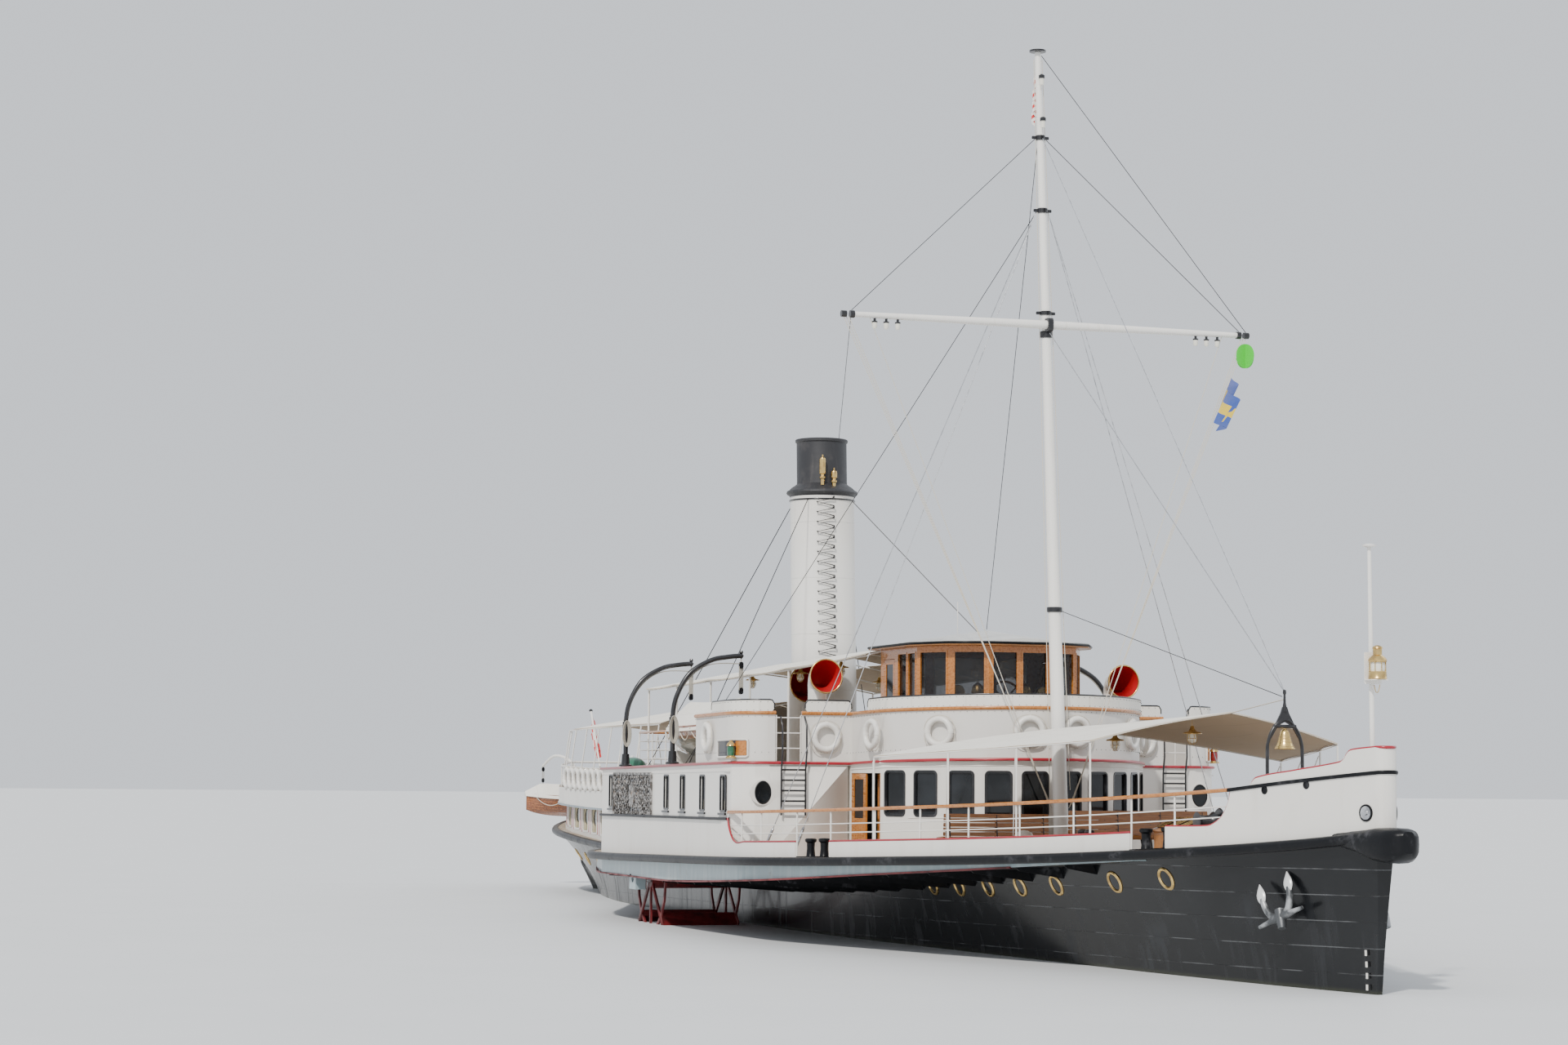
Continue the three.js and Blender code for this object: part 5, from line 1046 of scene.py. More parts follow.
def studs_along(given):
    """Small round studs set along paths at an even pitch."""
    path = given["Geometry"].node("GeometryNodeMeshToCurve", None, {"Mesh": given["Geometry"]})
    points = path.node("GeometryNodeCurveToPoints", {"mode": "LENGTH"},
                       {"Curve": path, "Length": given["Pitch"]})
    stud = path.node("GeometryNodeMeshIcoSphere", None, {"Radius": 0.5, "Subdivisions": 1})
    return points.node("GeometryNodeInstanceOnPoints", None,
                       {"Points": points, "Instance": stud, "Scale": given["Size"]})


stud_tree = tree_with("studs", {"Pitch": "NodeSocketFloat", "Size": "NodeSocketVector"}, studs_along)
frames, house_panes, rivets, beads = [], [], [], []
for side, _ in SIDES:
    for start, end in zip(SALOON_LINE[2:], SALOON_LINE[3:]):
        spot = pane_spot(start, end, side, 3.39)
        glazing(spot, 0.56, 0.98, 0.08, frames, house_panes)
        rivets.append(ring_path(spot, rounded(0.72, 1.14, 0.12)))
        beads.append(surround(spot, rounded(0.53, 0.95, 0.07), rounded(0.50, 0.92, 0.06), -0.04, -0.012))
build("fore_saloon_window_frames", frames, black_gloss, "black_iron", extra=[(beads, black_gloss)])
grown("fore_saloon_rivets", rivets, stud_tree, white_paint, "white_paint", Pitch=0.11, Size=(0.016,) * 3)
lines = []
for z_of, first in ((lambda x: promenade(x) - 0.17, 1), (lambda x: 2.80 + 0.02 * (x - 9), 3)):
    side_line = [(x, y + 0.004, z_of(x)) for x, y in SALOON_LINE[first:]]
    lines.append([(x, -y, z) for x, y, z in side_line] + [(x, y, z) for x, y, z in reversed(side_line[:-1])])
rods("fore_saloon_mouldings", lines, 0.012, white_paint, "white_paint", sides=6)


# Saloon doors. Varnished double doors on both sides, panelled below and glazed above, with brass knobs.
# They hang at their outer edges, and the forward leaf stands ajar.
DOOR_WIDTH, DOOR_THICK, DOOR_HEAD, DOOR_GAP = 0.80, 0.045, 3.84, 0.012
door_run = Vector((10.65 - 8.9, 3.2 - 3.34)).normalized()
door_sill = deck_top(8.9) + 0.05 + DOOR_GAP
for side, name in SIDES:
    for end, which, ajar in ((-1, "aft", 0), (1, "fore", math.radians(20))):
        reach = end * (DOOR_WIDTH + 0.5 * DOOR_GAP)
        hinge = (9.775 + reach * door_run.x + 0.045 * door_run.y,
                 side * (3.27 + reach * door_run.y - 0.045 * door_run.x), 0)
        turn = side * (math.atan2(door_run.y, door_run.x) + end * ajar)
        leaf = Matrix.Translation(hinge) @ Matrix.Rotation(turn, 4, "Z")
        middle = -end * DOOR_WIDTH / 2
        face = leaf @ frame_at((middle, side * DOOR_THICK, 0), (0, side, 0))
        back = leaf @ frame_at((middle, 0, 0), (0, -side, 0))
        body = f"door_{which}_{name}"
        high = DOOR_HEAD - DOOR_GAP
        glass = slab(face @ Matrix.Translation((0, (door_sill + 0.85 + high - 0.13) / 2, 0)),
                     rounded(0.56, high - 0.13 - door_sill - 0.85 + 0.02, 0.01, 2), -0.028, -0.02)
        panels, knobs = [], []
        for look in (face, back):
            for u in steps(-0.225, 0.225, 3):
                board = look @ Matrix.Translation((u, door_sill + 0.42, 0))
                panels.append(slab(board, rounded(0.135, 0.66, 0.02, 3), 0, 0.008))
            pull = look @ Matrix.Translation((0.34 * (1 if look is face else -1) * side * -end, 3.0, 0))
            knobs.append(lathe([(0, 0.045), (0.018, 0.042), (0.026, 0.03), (0.018, 0.016), (0.012, 0.0),
                                (0, 0)], pull, 14))
        refined(f"saloon_door_{which}_{name}", varnished, "varnished_wood", body, angle=25)
        build(f"saloon_door_panels_{which}_{name}", panels, varnished, "varnished_wood", body)
        build(f"saloon_door_glass_{which}_{name}", [glass], dark_glass, "black_iron", body)
        build(f"saloon_door_knobs_{which}_{name}", knobs, brass, "brass", body)


# Midship casing. Plain white plating over the engine and boiler, with three windows a side.
# Their frames are black, like those of the fore saloon.
refined("midship_casing", white_paint, "white_paint")
frames = []
for side, _ in SIDES:
    for x in (-4.5, -6.1, -7.7):
        glazing(frame_at((x, side * 3.3, 3.0), (0, side, 0)), 0.6, 0.8, 0.06, frames, house_panes)
build("casing_window_frames", frames, black_gloss, "black_iron")


# Aft saloon. A long white house under the raised deck, its square windows in pairs of red stripes.
# Each window has a curtain tied back to both sides, and a blue-grey line runs along over them.
refined("aft_saloon", white_paint, "white_paint")
AFT_SALOON = [(-26.9, 0.85), (-26, 1.45), (-24, 2.10), (-22, 2.37), (-18, 2.62), (-14, 2.87), (-9.45, 3.0)]
AFT_DECK = [(-28.2, 3.34), (-24, 3.16), (-18, 3.06), (-9.4, 3.02)]
aft_curtains, stripes, white_frames = [], [], []
for side, _ in SIDES:
    for x in (-10.6 - 1.5 * i for i in range(10)):
        rise = deck_top(x) - deck_top(-18)
        low, high = 1.98 + rise, 2.72 + rise / 2
        start = (x - 0.4, straight(AFT_SALOON, x - 0.4))
        end = (x + 0.4, straight(AFT_SALOON, x + 0.4))
        spot = pane_spot(start, end, side, (low + high) / 2)
        glazing(spot, 0.92, high - low, 0.05, white_frames, house_panes, deep=0.05, border=0.05)
        for edge in (-1, 1):
            aft_curtains.append(drape(spot, edge * 0.44, edge * 0.03, (low - high) / 2 + 0.02,
                                      (high - low) / 2 - 0.02, 0.62, folds=5))
            stripe = spot @ Matrix.Translation((edge * 0.60, 0, 0))
            stripes.append(slab(stripe, rounded(0.035, high - low + 0.1, 0.01, 2), 0, 0.012))
build("aft_saloon_window_frames", white_frames, white_paint, "white_paint")
build("house_panes", house_panes, dark_glass, "black_iron")
build("aft_saloon_curtains", aft_curtains, curtains_cloth, "canvas")
build("aft_saloon_stripes", stripes, red_paint, "red_paint")


# Promenade and aft decks' edges. A red half-round bar runs round the promenade deck.
# The aft deck has a deep white fascia with a blue-grey moulding under it, and its own planking.
def blue_shade(value, place):
    streaks = (place * (3.0, 3.0, 0.4)).noise(1.8, 5).soft(0.4, 0.7)
    return {"Base Color": value.tint((0.16, 0.21, 0.24), streaks, (0.27, 0.32, 0.34)), "Roughness": 0.35}


blue_grey = finish("blue_grey_paint", blue_shade, coat=0.2)
curve = [(8.9 + 0.04 + 4.14 * math.cos(a), 3.25 * math.sin(a) / math.sin(ARC)) for a in steps(0, ARC, 22)]
box_corner = [(8.93, 5.33), (8.85, 5.66), (8.68, 5.9), (8.37, 6.07), (7.9, 6.14), (-3.44, 6.14)]
edge_plan = [*curve, (8.93, 3.385), *box_corner]
aft_edge = [(-3.44, 3.71), (-9.41, 3.71), (-9.41, 0)]
edge_half = [(x, y, promenade(x) - 0.035) for x, y in [*edge_plan, *aft_edge]]
deck_edge = [(x, -y, z) for x, y, z in edge_half] + [(x, y, z) for x, y, z in reversed(edge_half[:-1])]
rods("promenade_deck_red_edge", [deck_edge], 0.034, red_paint, "red_paint")


def aft_half(x):
    return 3.1 if x > -14 else deck_half(x) - 0.04


aft_line = []
for path in both_sides([(x, aft_half(x), straight(AFT_DECK, x) - 0.31) for x in steps(-9.5, -28.0, 60)]):
    aft_line.append(swept(path, [(-0.05, -0.03), (0.02, -0.03), (0.03, 0), (0.02, 0.03), (-0.05, 0.03)]))
build("aft_deck_moulding", aft_line, blue_grey, "blue_grey_paint")


# Aft rail. White iron stanchions and rods under a white handrail round the raised deck.
# The awning's posts lean inwards from it, and two white davits and the ensign staff stand at the stern.
def spline(points, count=8):
    """A smooth curve through points in space."""
    curve = []
    for i in range(len(points) - 1):
        a, b, c, d = (Vector(points[max(0, min(len(points) - 1, k))]) for k in (i - 1, i, i + 1, i + 2))
        for t in steps(0, 1, count)[:-1]:
            curve.append(tuple(0.5 * (2 * b + (c - a) * t + (2 * a - 5 * b + 4 * c - d) * t * t
                                      + (3 * b - a - 3 * c + d) * t ** 3)))
    return curve + [tuple(points[-1])]


def aft_deck(x):
    return straight(AFT_DECK, x)


def aft_rail_point(x, up, side, inwards=0.0):
    return (x, side * (aft_half(x) - 0.09 - inwards), aft_deck(x) + up)


AFT_RAIL = 0.92
AWNING_LOW = 5.24
runs = [[aft_rail_point(x, up, side) for x in steps(-9.7, -27.6, 60)] for side, _ in SIDES
        for up in (0.32, 0.62)]
top_rail = round_ship([(x, aft_half(x) - 0.09, aft_deck(x) + AFT_RAIL) for x in steps(-9.7, -27.6, 70)])
stanchions = [[aft_rail_point(x, 0.01, side), aft_rail_point(x, AFT_RAIL, side)]
              for side, _ in SIDES for x in steps(-9.8, -27.4, 11)]
leaning = [[aft_rail_point(x, 0.3, side), aft_rail_point(x, AWNING_LOW - aft_deck(x), side, 0.25)]
           for side, _ in SIDES for x in (-10, -12, -14, -16, -18, -20, -22, -24, -25.8)]
edge_bars = [[(x, side * (aft_half(x) - 0.34), AWNING_LOW) for x in steps(-10, -25.8, 30)]
             for side, _ in SIDES]
stern_davits = [spline([(-27.59, side * 0.84, 3.325), (-27.62, side * 0.86, 3.9), (-27.9, side * 1.1, 4.32),
                        (-28.7, side * 1.4, 4.44), (-29.5, side * 1.6, 4.1)], 6) for side, _ in SIDES]
staff = [(-27.27, 0, 3.36), (-29.18, 0, 6.05)]
rods("aft_rail_rods", runs, 0.012, white_paint, "white_paint", replaces=["aft_rail"])
rods("aft_rail_top", [top_rail], 0.034, white_paint, "white_paint")
rods("aft_rail_stanchions", [*stanchions, *leaning, *edge_bars], 0.021, white_paint, "white_paint")
rods("stern_davits", stern_davits, 0.05, white_paint, "white_paint", sides=14)
rods("ensign_staff", [staff], 0.034, white_paint, "white_paint", sides=12)
build("ensign_staff_truck", [lathe([(0, 0.1), (0.05, 0.08), (0.075, 0.04), (0.05, 0.0), (0, 0)],
                                   Matrix.Translation((-29.18, 0, 6.0)), 16)], black_gloss, "black_iron")


# Lifebuoys. White painted cork rings with a grab rope in four bights, hung from the rails and plates.
# Eight hang side by side on each after rail, and ten more round the bridge.
def ring(matrix, radius, tube, sides=32, faces=12):
    """A round ring about Z of the matrix."""
    return lathe([(radius + tube * math.cos(a), tube * math.sin(a)) for a in around(faces)], matrix, sides)


BRIDGE_BUOYS = [((6.68, 6.16, 4.66), (0, 1, 0)), ((8.94, 3.95, 4.66), (1, 0, 0)),
                ((10.4, 3.36, promenade(10.4) + 0.59), (0.15, 0.99, 0))]
for angle in (0.721, 0.16):
    normal = Vector((math.cos(angle) / 4.1, math.sin(angle) * 0.92 / 3.2, 0)).normalized()
    BRIDGE_BUOYS.append(((8.9 + 4.17 * math.cos(angle), 3.26 * math.sin(angle) / math.sin(ARC),
                          promenade(8.9 + 4.1 * math.cos(angle)) + 0.59), normal))
hung, grabs, bands = [], [], []
for side, _ in SIDES:
    spots = [frame_at((x, side * aft_half(x), aft_deck(x) + 0.57), (0.05, side, 0))
             for x in (-15.7 - 0.857 * i for i in range(8))]
    spots += [frame_at((x, side * y, z), (nx, side * ny, 0)) for (x, y, z), (nx, ny, _) in BRIDGE_BUOYS]
    for spot in spots:
        hung.append(ring(spot, 0.285, 0.068))
        grab = []
        for a in around(48):
            bight = abs(math.sin(2 * a))
            reach = 0.36 + 0.045 * bight
            place = (reach * math.cos(a), reach * math.sin(a) - 0.02 * bight, -0.02)
            grab.append(tuple(spot @ Vector(place)))
        grabs.append(grab + grab[:1])
        for a in around(4):
            cuff = spot @ Matrix.Rotation(a, 4, "Z") @ Matrix.Translation((0.285, 0, 0)) @ Matrix.Rotation(
                math.pi / 2, 4, "X")
            bands.append(lathe([(0.066, -0.035), (0.073, -0.03), (0.073, 0.03), (0.066, 0.035)], cuff, 12))


def rope_shade(value, place):
    lay = (place.axis("X") + place.axis("Y") + place.axis("Z")).line(0.03, 0.012)
    return {"Base Color": value.tint((0.66, 0.61, 0.52), lay * 0.5, (0.42, 0.37, 0.29)), "Roughness": 0.85,
            "Height": lay}


rope = finish("natural_rope", rope_shade, bump=0.002)
build("lifebuoys", hung, white_paint, "white_paint", extra=[(bands, white_paint)])
rods("lifebuoy_grab_ropes", grabs, 0.009, rope, "canvas", sides=6)


# Boats. Clinker-built and varnished: overlapping planks riveted to steamed ribs, pointed at both ends.
# Each lies under a white canvas cover, and a looped white lifeline hangs along its side.
def fullness(u):
    """How full a boat's plan is along its length, from 1 amidships to 0 at its ends."""
    return (1 - abs(2 * u) ** 2.6) ** 0.8 if abs(u) < 0.5 else 0.0


def clinker(length, beam, keel, gunwale, strakes):
    """One side after the other: planks whose lower edges stand proud of the plank below."""
    def half(u, v):
        return beam / 2 * fullness(u) * (0.12 + 0.88 * math.sin(min(1, v * 1.05) * math.pi / 2) ** 0.75)

    def height(u, v):
        lift = (gunwale - keel) * (0.35 * abs(2 * u) ** 4)
        sheer = 0.10 * abs(2 * u) ** 2
        return keel + lift * (1 - v) + (gunwale - keel + sheer) * v

    section = []
    for i in range(strakes):
        section += [(i / strakes, 0.016), ((i + 0.96) / strakes, 0.0)]
    section.append((1.0, 0.0))
    loops = []
    for u in steps(-0.497, 0.497, 30):
        right = [(u * length, half(u, v) + out, height(u, v)) for v, out in section]
        loops.append([(u * length, 0, height(u, 0) - 0.03), *right,
                      *[(x, -y, z) for x, y, z in reversed(right)]])
    return loft(loops)


def planked_shade(value, place):
    grain = (place * (1.0, 9.0, 9.0)).noise(2.5, 5).soft(0.3, 0.7)
    lap = place.axis("Z").line(0.083, 0.012)
    wood = value.tint((0.20, 0.055, 0.018), grain, (0.40, 0.145, 0.045))
    low = (1 - place.axis("Z").soft(4.69, 4.70)) * place.axis("Z").soft(3.9, 4.0)
    painted = value.tint(wood, low, (0.012, 0.045, 0.03))
    return {"Base Color": value.tint(painted, lap * 0.6, (0.05, 0.018, 0.01)), "Roughness": 0.22,
            "Height": grain}


planked = finish("clinker_planks", planked_shade, coat=0.6, bump=0.001)


def canvas_shade(value, place, under=None):
    weave = place.noise(90.0, 2)
    stain = place.noise(0.8, 5).soft(0.45, 0.75)
    cloth_colour = value.tint((0.80, 0.775, 0.71), stain * 0.35, (0.66, 0.615, 0.53))
    seams = place.axis("Y").line(0.92, 0.03)
    colour = value.tint(cloth_colour, seams * 0.3, (0.60, 0.56, 0.48))
    # Where under is given, faces that turn down take that tan, with the seams darker still: painted shade and
    # painted light through the cloth.
    if under:
        down = 1 - value.node("ShaderNodeNewGeometry", None, None, 1).axis("Z").soft(-0.1, 0.1)
        colour = value.tint(colour, down, value.tint(under, seams * 0.5, tuple(c * 0.75 for c in under)))
    return {"Base Color": colour, "Roughness": 0.8, "Height": weave * 0.2 + place.noise(1.5) + seams * 0.3}


canvas = finish("white_canvas", canvas_shade, bump=0.006)
# The tan below is painted shade and light through the cloth, on white canvas.
canvas_shaded_below = finish("foredeck_canvas", lambda value, place: canvas_shade(value, place, (0.50, 0.395, 0.275)),
                     bump=0.006)


def cloth(name, rows, thickness, material, slot, replaces=(), gap=None):
    """A thin closed sheet over a grid of points; gap(i, j) is true for cells cut out of it."""
    across = len(rows[0])
    grid = [[Vector(p) * METRE for p in row] for row in rows]
    faces, area = [], 0.0
    for i in range(len(rows) - 1):
        for j in range(across - 1):
            if gap and gap(i, j):
                continue
            a, b, c, d = grid[i][j], grid[i][j + 1], grid[i + 1][j + 1], grid[i + 1][j]
            area += ((b - a).cross(c - a).length + (c - a).cross(d - a).length) / 2
            faces.append((i * across + j, i * across + j + 1, (i + 1) * across + j + 1, (i + 1) * across + j))

    def long(points):
        return sum((b - a).length for a, b in zip(points, points[1:]))

    width = max(long(row) for row in grid)
    length = max(long([row[j] for row in grid]) for j in range(across))
    points = [point for row in grid for point in row]
    normals = [Vector() for _ in points]
    edges = {}
    for face in faces:
        a, b, c, d = (points[i] for i in face)
        for i in face:
            normals[i] += (c - a).cross(d - b)
        for edge in zip(face, face[1:] + face[:1]):
            edges[frozenset(edge)] = None if frozenset(edge) in edges else edge
    count = len(points)
    offset = [normal.normalized() * thickness * METRE / 2 for normal in normals]
    both = [p + n for p, n in zip(points, offset)] + [p - n for p, n in zip(points, offset)]
    closed = [*faces, *(tuple(i + count for i in reversed(face)) for face in faces),
              *((e[1], e[0], e[0] + count, e[1] + count) for e in edges.values() if e)]
    mesh = bpy.data.meshes.new(name)
    mesh.from_pydata([tuple(p) for p in both], [], closed)
    shape = bmesh.new()
    shape.from_mesh(mesh)
    bmesh.ops.delete(shape, geom=[v for v in shape.verts if not v.link_faces], context="VERTS")
    bmesh.ops.recalc_face_normals(shape, faces=shape.faces)
    shape.to_mesh(mesh)
    shape.free()
    mesh.materials.append(material)
    mesh.shade_smooth()
    mesh.set_sharp_from_angle(angle=math.radians(50))
    piece = settle(bpy.data.objects.new(name, mesh), slot, "ship", replaces)
    return piece


def boat_cover(length, beam, gunwale, ridge, place):
    """A cover over a boat: rows along it, each from edge to edge over the ridge rope."""
    rows = []
    for u in steps(-0.5, 0.5, 26):
        half = beam / 2 * fullness(u) + 0.05
        low = gunwale + 0.10 * abs(2 * u) ** 2 - 0.08
        peak = low + 0.10 + (ridge - gunwale) * min(1.0, (0.5 - abs(u)) * 7 + 0.12)
        row = []
        for t in steps(-1, 1, 16):
            fall = abs(t)
            z = peak + (low - peak) * (fall ** 1.15 if fall < 0.86 else fall ** 1.15 + (fall - 0.86) * 0.6)
            sag = -0.025 * math.sin(math.pi * fall) * abs(math.sin(math.pi * u * 8))
            row.append(tuple(place @ Vector((u * (length + 0.06), half * min(1.0, fall * 1.04)
                                             * (1 if t >= 0 else -1), z + sag))))
        rows.append(row)
    return rows


# Name, length, beam, heights of keel, gunwale and ridge rope, and place.
boats = [("lifeboat_starboard", 6.3, 1.8, 4.28, 5.02, 5.62, Matrix.Translation((0.42, -4.15, 0))),
         ("lifeboat_port", 6.3, 1.8, 4.28, 5.02, 5.62, Matrix.Translation((0.42, 4.15, 0))),
         ("stern_boat", 4.4, 1.4, 2.38, 3.05, 3.42, Matrix.Translation((-29.5, 0, 0)) @ Matrix.Rotation(
             math.pi / 2, 4, "Z"))]
lines, chocks = [], []
for name, length, beam, keel, gunwale, ridge, place in boats:
    planks = turned_to(clinker(length, beam, keel, gunwale, 9 if length > 5 else 7), place)
    build(f"{name}_planking", [planks], planked, "varnished_wood", replaces=[name], angle=20)
    cloth(f"{name}_cover", boat_cover(length, beam, gunwale, ridge, place), 0.012, canvas, "canvas")
    for side, _ in SIDES:
        loops = 6 if length > 5 else 4
        hang = []
        for i in range(loops * 10 + 1):
            u = -0.44 + 0.88 * i / (loops * 10)
            drop = 0.30 * abs(math.sin(math.pi * i / 10)) ** 0.8
            out = beam / 2 * fullness(u) * (1 - drop * 0.12) + 0.035
            hang.append(tuple(place @ Vector((u * length, side * out,
                                              gunwale + 0.1 * abs(2 * u) ** 2 - 0.06 - drop))))
        lines.append(hang)
    if length > 5:
        for x in (-1.7, 1.7):
            foot = promenade(0.42 + x)
            outline = [(-0.72, foot), (0.72, foot), (0.5, keel + 0.14), (0.25, keel + 0.05),
                       (-0.25, keel + 0.05), (-0.5, keel + 0.14)]
            chocks.append(loft([[tuple(place @ Vector((x + dx, y, z))) for y, z in outline]
                                for dx in (-0.05, 0.05)]))
rods("boat_lifelines", lines, 0.014, rope, "canvas", sides=6)
build("boat_chocks", chocks, white_paint, "white_paint")


# Skylight covers. Two low domes of green painted metal on the promenade deck, just abaft the lifeboats.
# They stand over the lights of the rooms beside the wheels.
green_cover = finish("green_cover", lambda value, place: {
    "Base Color": value.tint((0.012, 0.10, 0.055), place.noise(3.0), (0.02, 0.16, 0.09))}, 0.4, coat=0.2)
domes = []
for side, _ in SIDES:
    dome = [(0, 0.0), (0.30, 0.0), (0.32, 0.02), (0.29, 0.09), (0.20, 0.15), (0.08, 0.18), (0, 0.185)]
    spot = (Matrix.Translation((-2.9, side * 5.4, promenade(-2.9) + 0.02))
            @ Matrix.Diagonal((1.8, 1.0, 1.35, 1)))
    domes.append(lathe(dome, spot, 28))
build("skylight_covers", domes, green_cover, "blue_grey_paint")


# Davits. Bent black iron arms that turn in sockets on the promenade deck, with a tackle at each head.
# A spare coil of the fall hangs on a cleat at shoulder height.
weathered_rope = finish("weathered_rope", lambda value, place: {
    "Base Color": value.tint((0.42, 0.39, 0.33), place.noise(20.0), (0.28, 0.26, 0.22))}, 0.85)
DAVITS = [(-1.85, "aft"), (2.70, "fore")]
DAVIT_ARM = [(0, 0.05), (0, 0.6), (0, 1.2), (0.10, 1.7), (0.42, 2.25), (0.95, 2.58), (1.40, 2.68),
             (1.78, 2.72)]
for side, name in SIDES:
    for x, end in DAVITS:
        body = f"davit_{end}_{name}"
        foot = promenade(x) + 0.002

        def arm_at(reach, up):
            return (x, side * (5.88 - reach), foot + up)

        arm = spline([arm_at(reach, up) for reach, up in DAVIT_ARM], 6)
        rods(f"{body}_arm", [arm], 0.062, black_gloss, "black_iron", body, [body], sides=16)
        axis = Matrix.Translation(arm_at(0, 0))
        head = Matrix.Translation(arm_at(1.75, 2.72))
        socket = [lathe([(0.17, 0.01), (0.17, 0.055), (0.11, 0.08), (0.095, 0.33), (0.062, 0.34), (0.0, 0.34),
                         (0.0, 0.01)], axis, 24),
                  lathe([(0, 0.13), (0.04, 0.12), (0.055, 0.08), (0.03, 0.04), (0.075, 0.0), (0.0, -0.1)],
                        head, 16),
                  lathe([(0.062, 1.02), (0.088, 1.03), (0.088, 1.09), (0.062, 1.10)], axis, 20)]
        cleat = frame_at(arm_at(0.0, 1.0), (0, side, 0))
        socket.append(slab(cleat, rounded(0.05, 0.34, 0.02, 3), 0.055, 0.085))
        build(f"{body}_socket", socket, black_gloss, "black_iron", body)
        blocks = []
        for up in (2.48, 1.84):
            shell = frame_at(arm_at(1.75, up), (1, 0, 0))
            blocks += [slab(shell, rounded(0.10, 0.17, 0.05, 5), w - 0.009, w + 0.009)
                       for w in (-0.04, 0, 0.04)]
            blocks.append(slab(shell, rounded(0.06, 0.09, 0.03, 4), -0.035, 0.035))
        build(f"{body}_blocks", blocks, worn_black, "black_iron", body)
        falls = [[arm_at(1.75 + dy, 2.46), arm_at(1.75 + dy, 1.86)] for dy in (-0.045, -0.015, 0.015, 0.045)]
        falls.append([arm_at(1.75, 2.70), arm_at(1.75, 2.5)])
        falls.append(spline([arm_at(1.72, 2.52), arm_at(0.9, 2.47), arm_at(0.33, 2.03),
                             arm_at(-0.07, 1.2)], 6))
        for turn in range(5):
            wide = 0.05 + 0.016 * turn
            falls.append([(x + 0.078 + 0.01 * turn, side * (5.88 + wide * math.sin(a)),
                           foot + 0.86 + (0.22 + wide) * math.cos(a)) for a in steps(0, math.tau, 24)])
        rods(f"{body}_falls", falls, 0.014, weathered_rope, "canvas", body, sides=6)


# Stern boat's falls. Two rope falls with black blocks hang from the white davits at the stern.
# The boat stays slung under them.
stern_falls, stern_blocks = [], []
for side, _ in SIDES:
    stern_falls += [[(-29.5, side * 1.6 + dy, 4.08), (-29.5, side * 1.6 + dy, 3.56)]
                    for dy in (-0.025, 0.025)]
    stern_falls.append([(-29.5, side * 1.6, 3.56), (-29.5, side * 1.6, 3.38)])
    for z in (3.98, 3.60):
        shell = frame_at((-29.5, side * 1.6, z), (1, 0, 0))
        stern_blocks += [slab(shell, rounded(0.09, 0.15, 0.045, 5), w - 0.008, w + 0.008)
                         for w in (-0.03, 0.03)]
        stern_blocks.append(slab(shell, rounded(0.05, 0.08, 0.02, 4), -0.03, 0.03))
rods("stern_boat_falls", stern_falls, 0.014, weathered_rope, "canvas", sides=6)
build("stern_boat_blocks", stern_blocks, worn_black, "black_iron")


# Bridge bulwark. Plates laced and riveted to a frame round the front of the promenade deck.
# A varnished handrail runs along them, and a canvas dodger with a black roped edge stands above it.
def plate_shade(value, place):
    base = white_shade(value, place, (0.70, 0.675, 0.635))
    return {"Base Color": base, "Height": place.noise(1.3) + place.noise(5.0) * 0.2,
            "Roughness": 0.45 + place.noise(2.0) * 0.1}


bridge_white = finish("bridge_grey_white", plate_shade, bump=0.010)
RAIL_UP, DODGER_UP = 1.10, 1.39
GATE_X = 8.845
PACE = 0.05
RAIL_FRONT = [(8.9 + 4.08 * math.cos(a), 3.17 * math.sin(a) / math.sin(ARC))
              for a in steps(0, ARC * 0.985, 26)]
WING = [(8.83, 5.14), (8.83, 5.3), (8.78, 5.52), (8.66, 5.73), (8.50, 5.88), (8.25, 6.0), (7.9, 6.05),
        (5.4, 6.05)]


def run_of(path):
    return sum(math.dist(a, b) for a, b in zip(path, path[1:]))


def paced(path, start, end):
    """Points at an even pitch along a plan path, between two distances from its start."""
    points = []
    for reach in steps(start, end, max(1, round((end - start) / PACE))):
        run = 0.0
        for a, b in zip(path, path[1:]):
            length = math.dist(a, b)
            if reach <= run + length + 1e-9:
                t = (reach - run) / length
                points.append((a[0] + (b[0] - a[0]) * t, a[1] + (b[1] - a[1]) * t))
                break
            run += length
    return points


def from_gate(wing, start, end):
    """Points of a wing's plan path between two distances from the gate, in the path's own order."""
    gate_first = wing[0][0] > wing[-1][0]
    points = paced(wing if gate_first else wing[::-1], start, end)
    return points if gate_first else points[::-1]


def beside(plan, out, up):
    """A path set out to a plan path's left, at a height over the promenade deck."""
    return [(x + left.x * out, y + left.y * out, promenade(x) + up) for (x, y), left in sideways(plan)]


def strip_rows(plan, low, high, radius, out):
    """Upright rows of points along a plan path, the ends rounded off, set out to the path's left."""
    sofar, rows = 0.0, []
    total = run_of(plan)
    for i, ((x, y), left) in enumerate(sideways(plan)):
        sofar += math.dist(plan[i - 1], plan[i]) if i else 0.0
        near = max(0.0, radius - min(sofar, total - sofar))
        cut = radius - math.sqrt(max(0.0, radius ** 2 - near ** 2))
        x, y = x + left.x * out, y + left.y * out
        rows.append([(x, y, promenade(x) + up) for up in steps(low + cut, high - cut, 4)])
    return rows


def strip_hem(rows):
    """The open path up one end of such rows, along their top and down the other end."""
    return [rows[0][0], *(row[-1] for row in rows), rows[-1][0]]


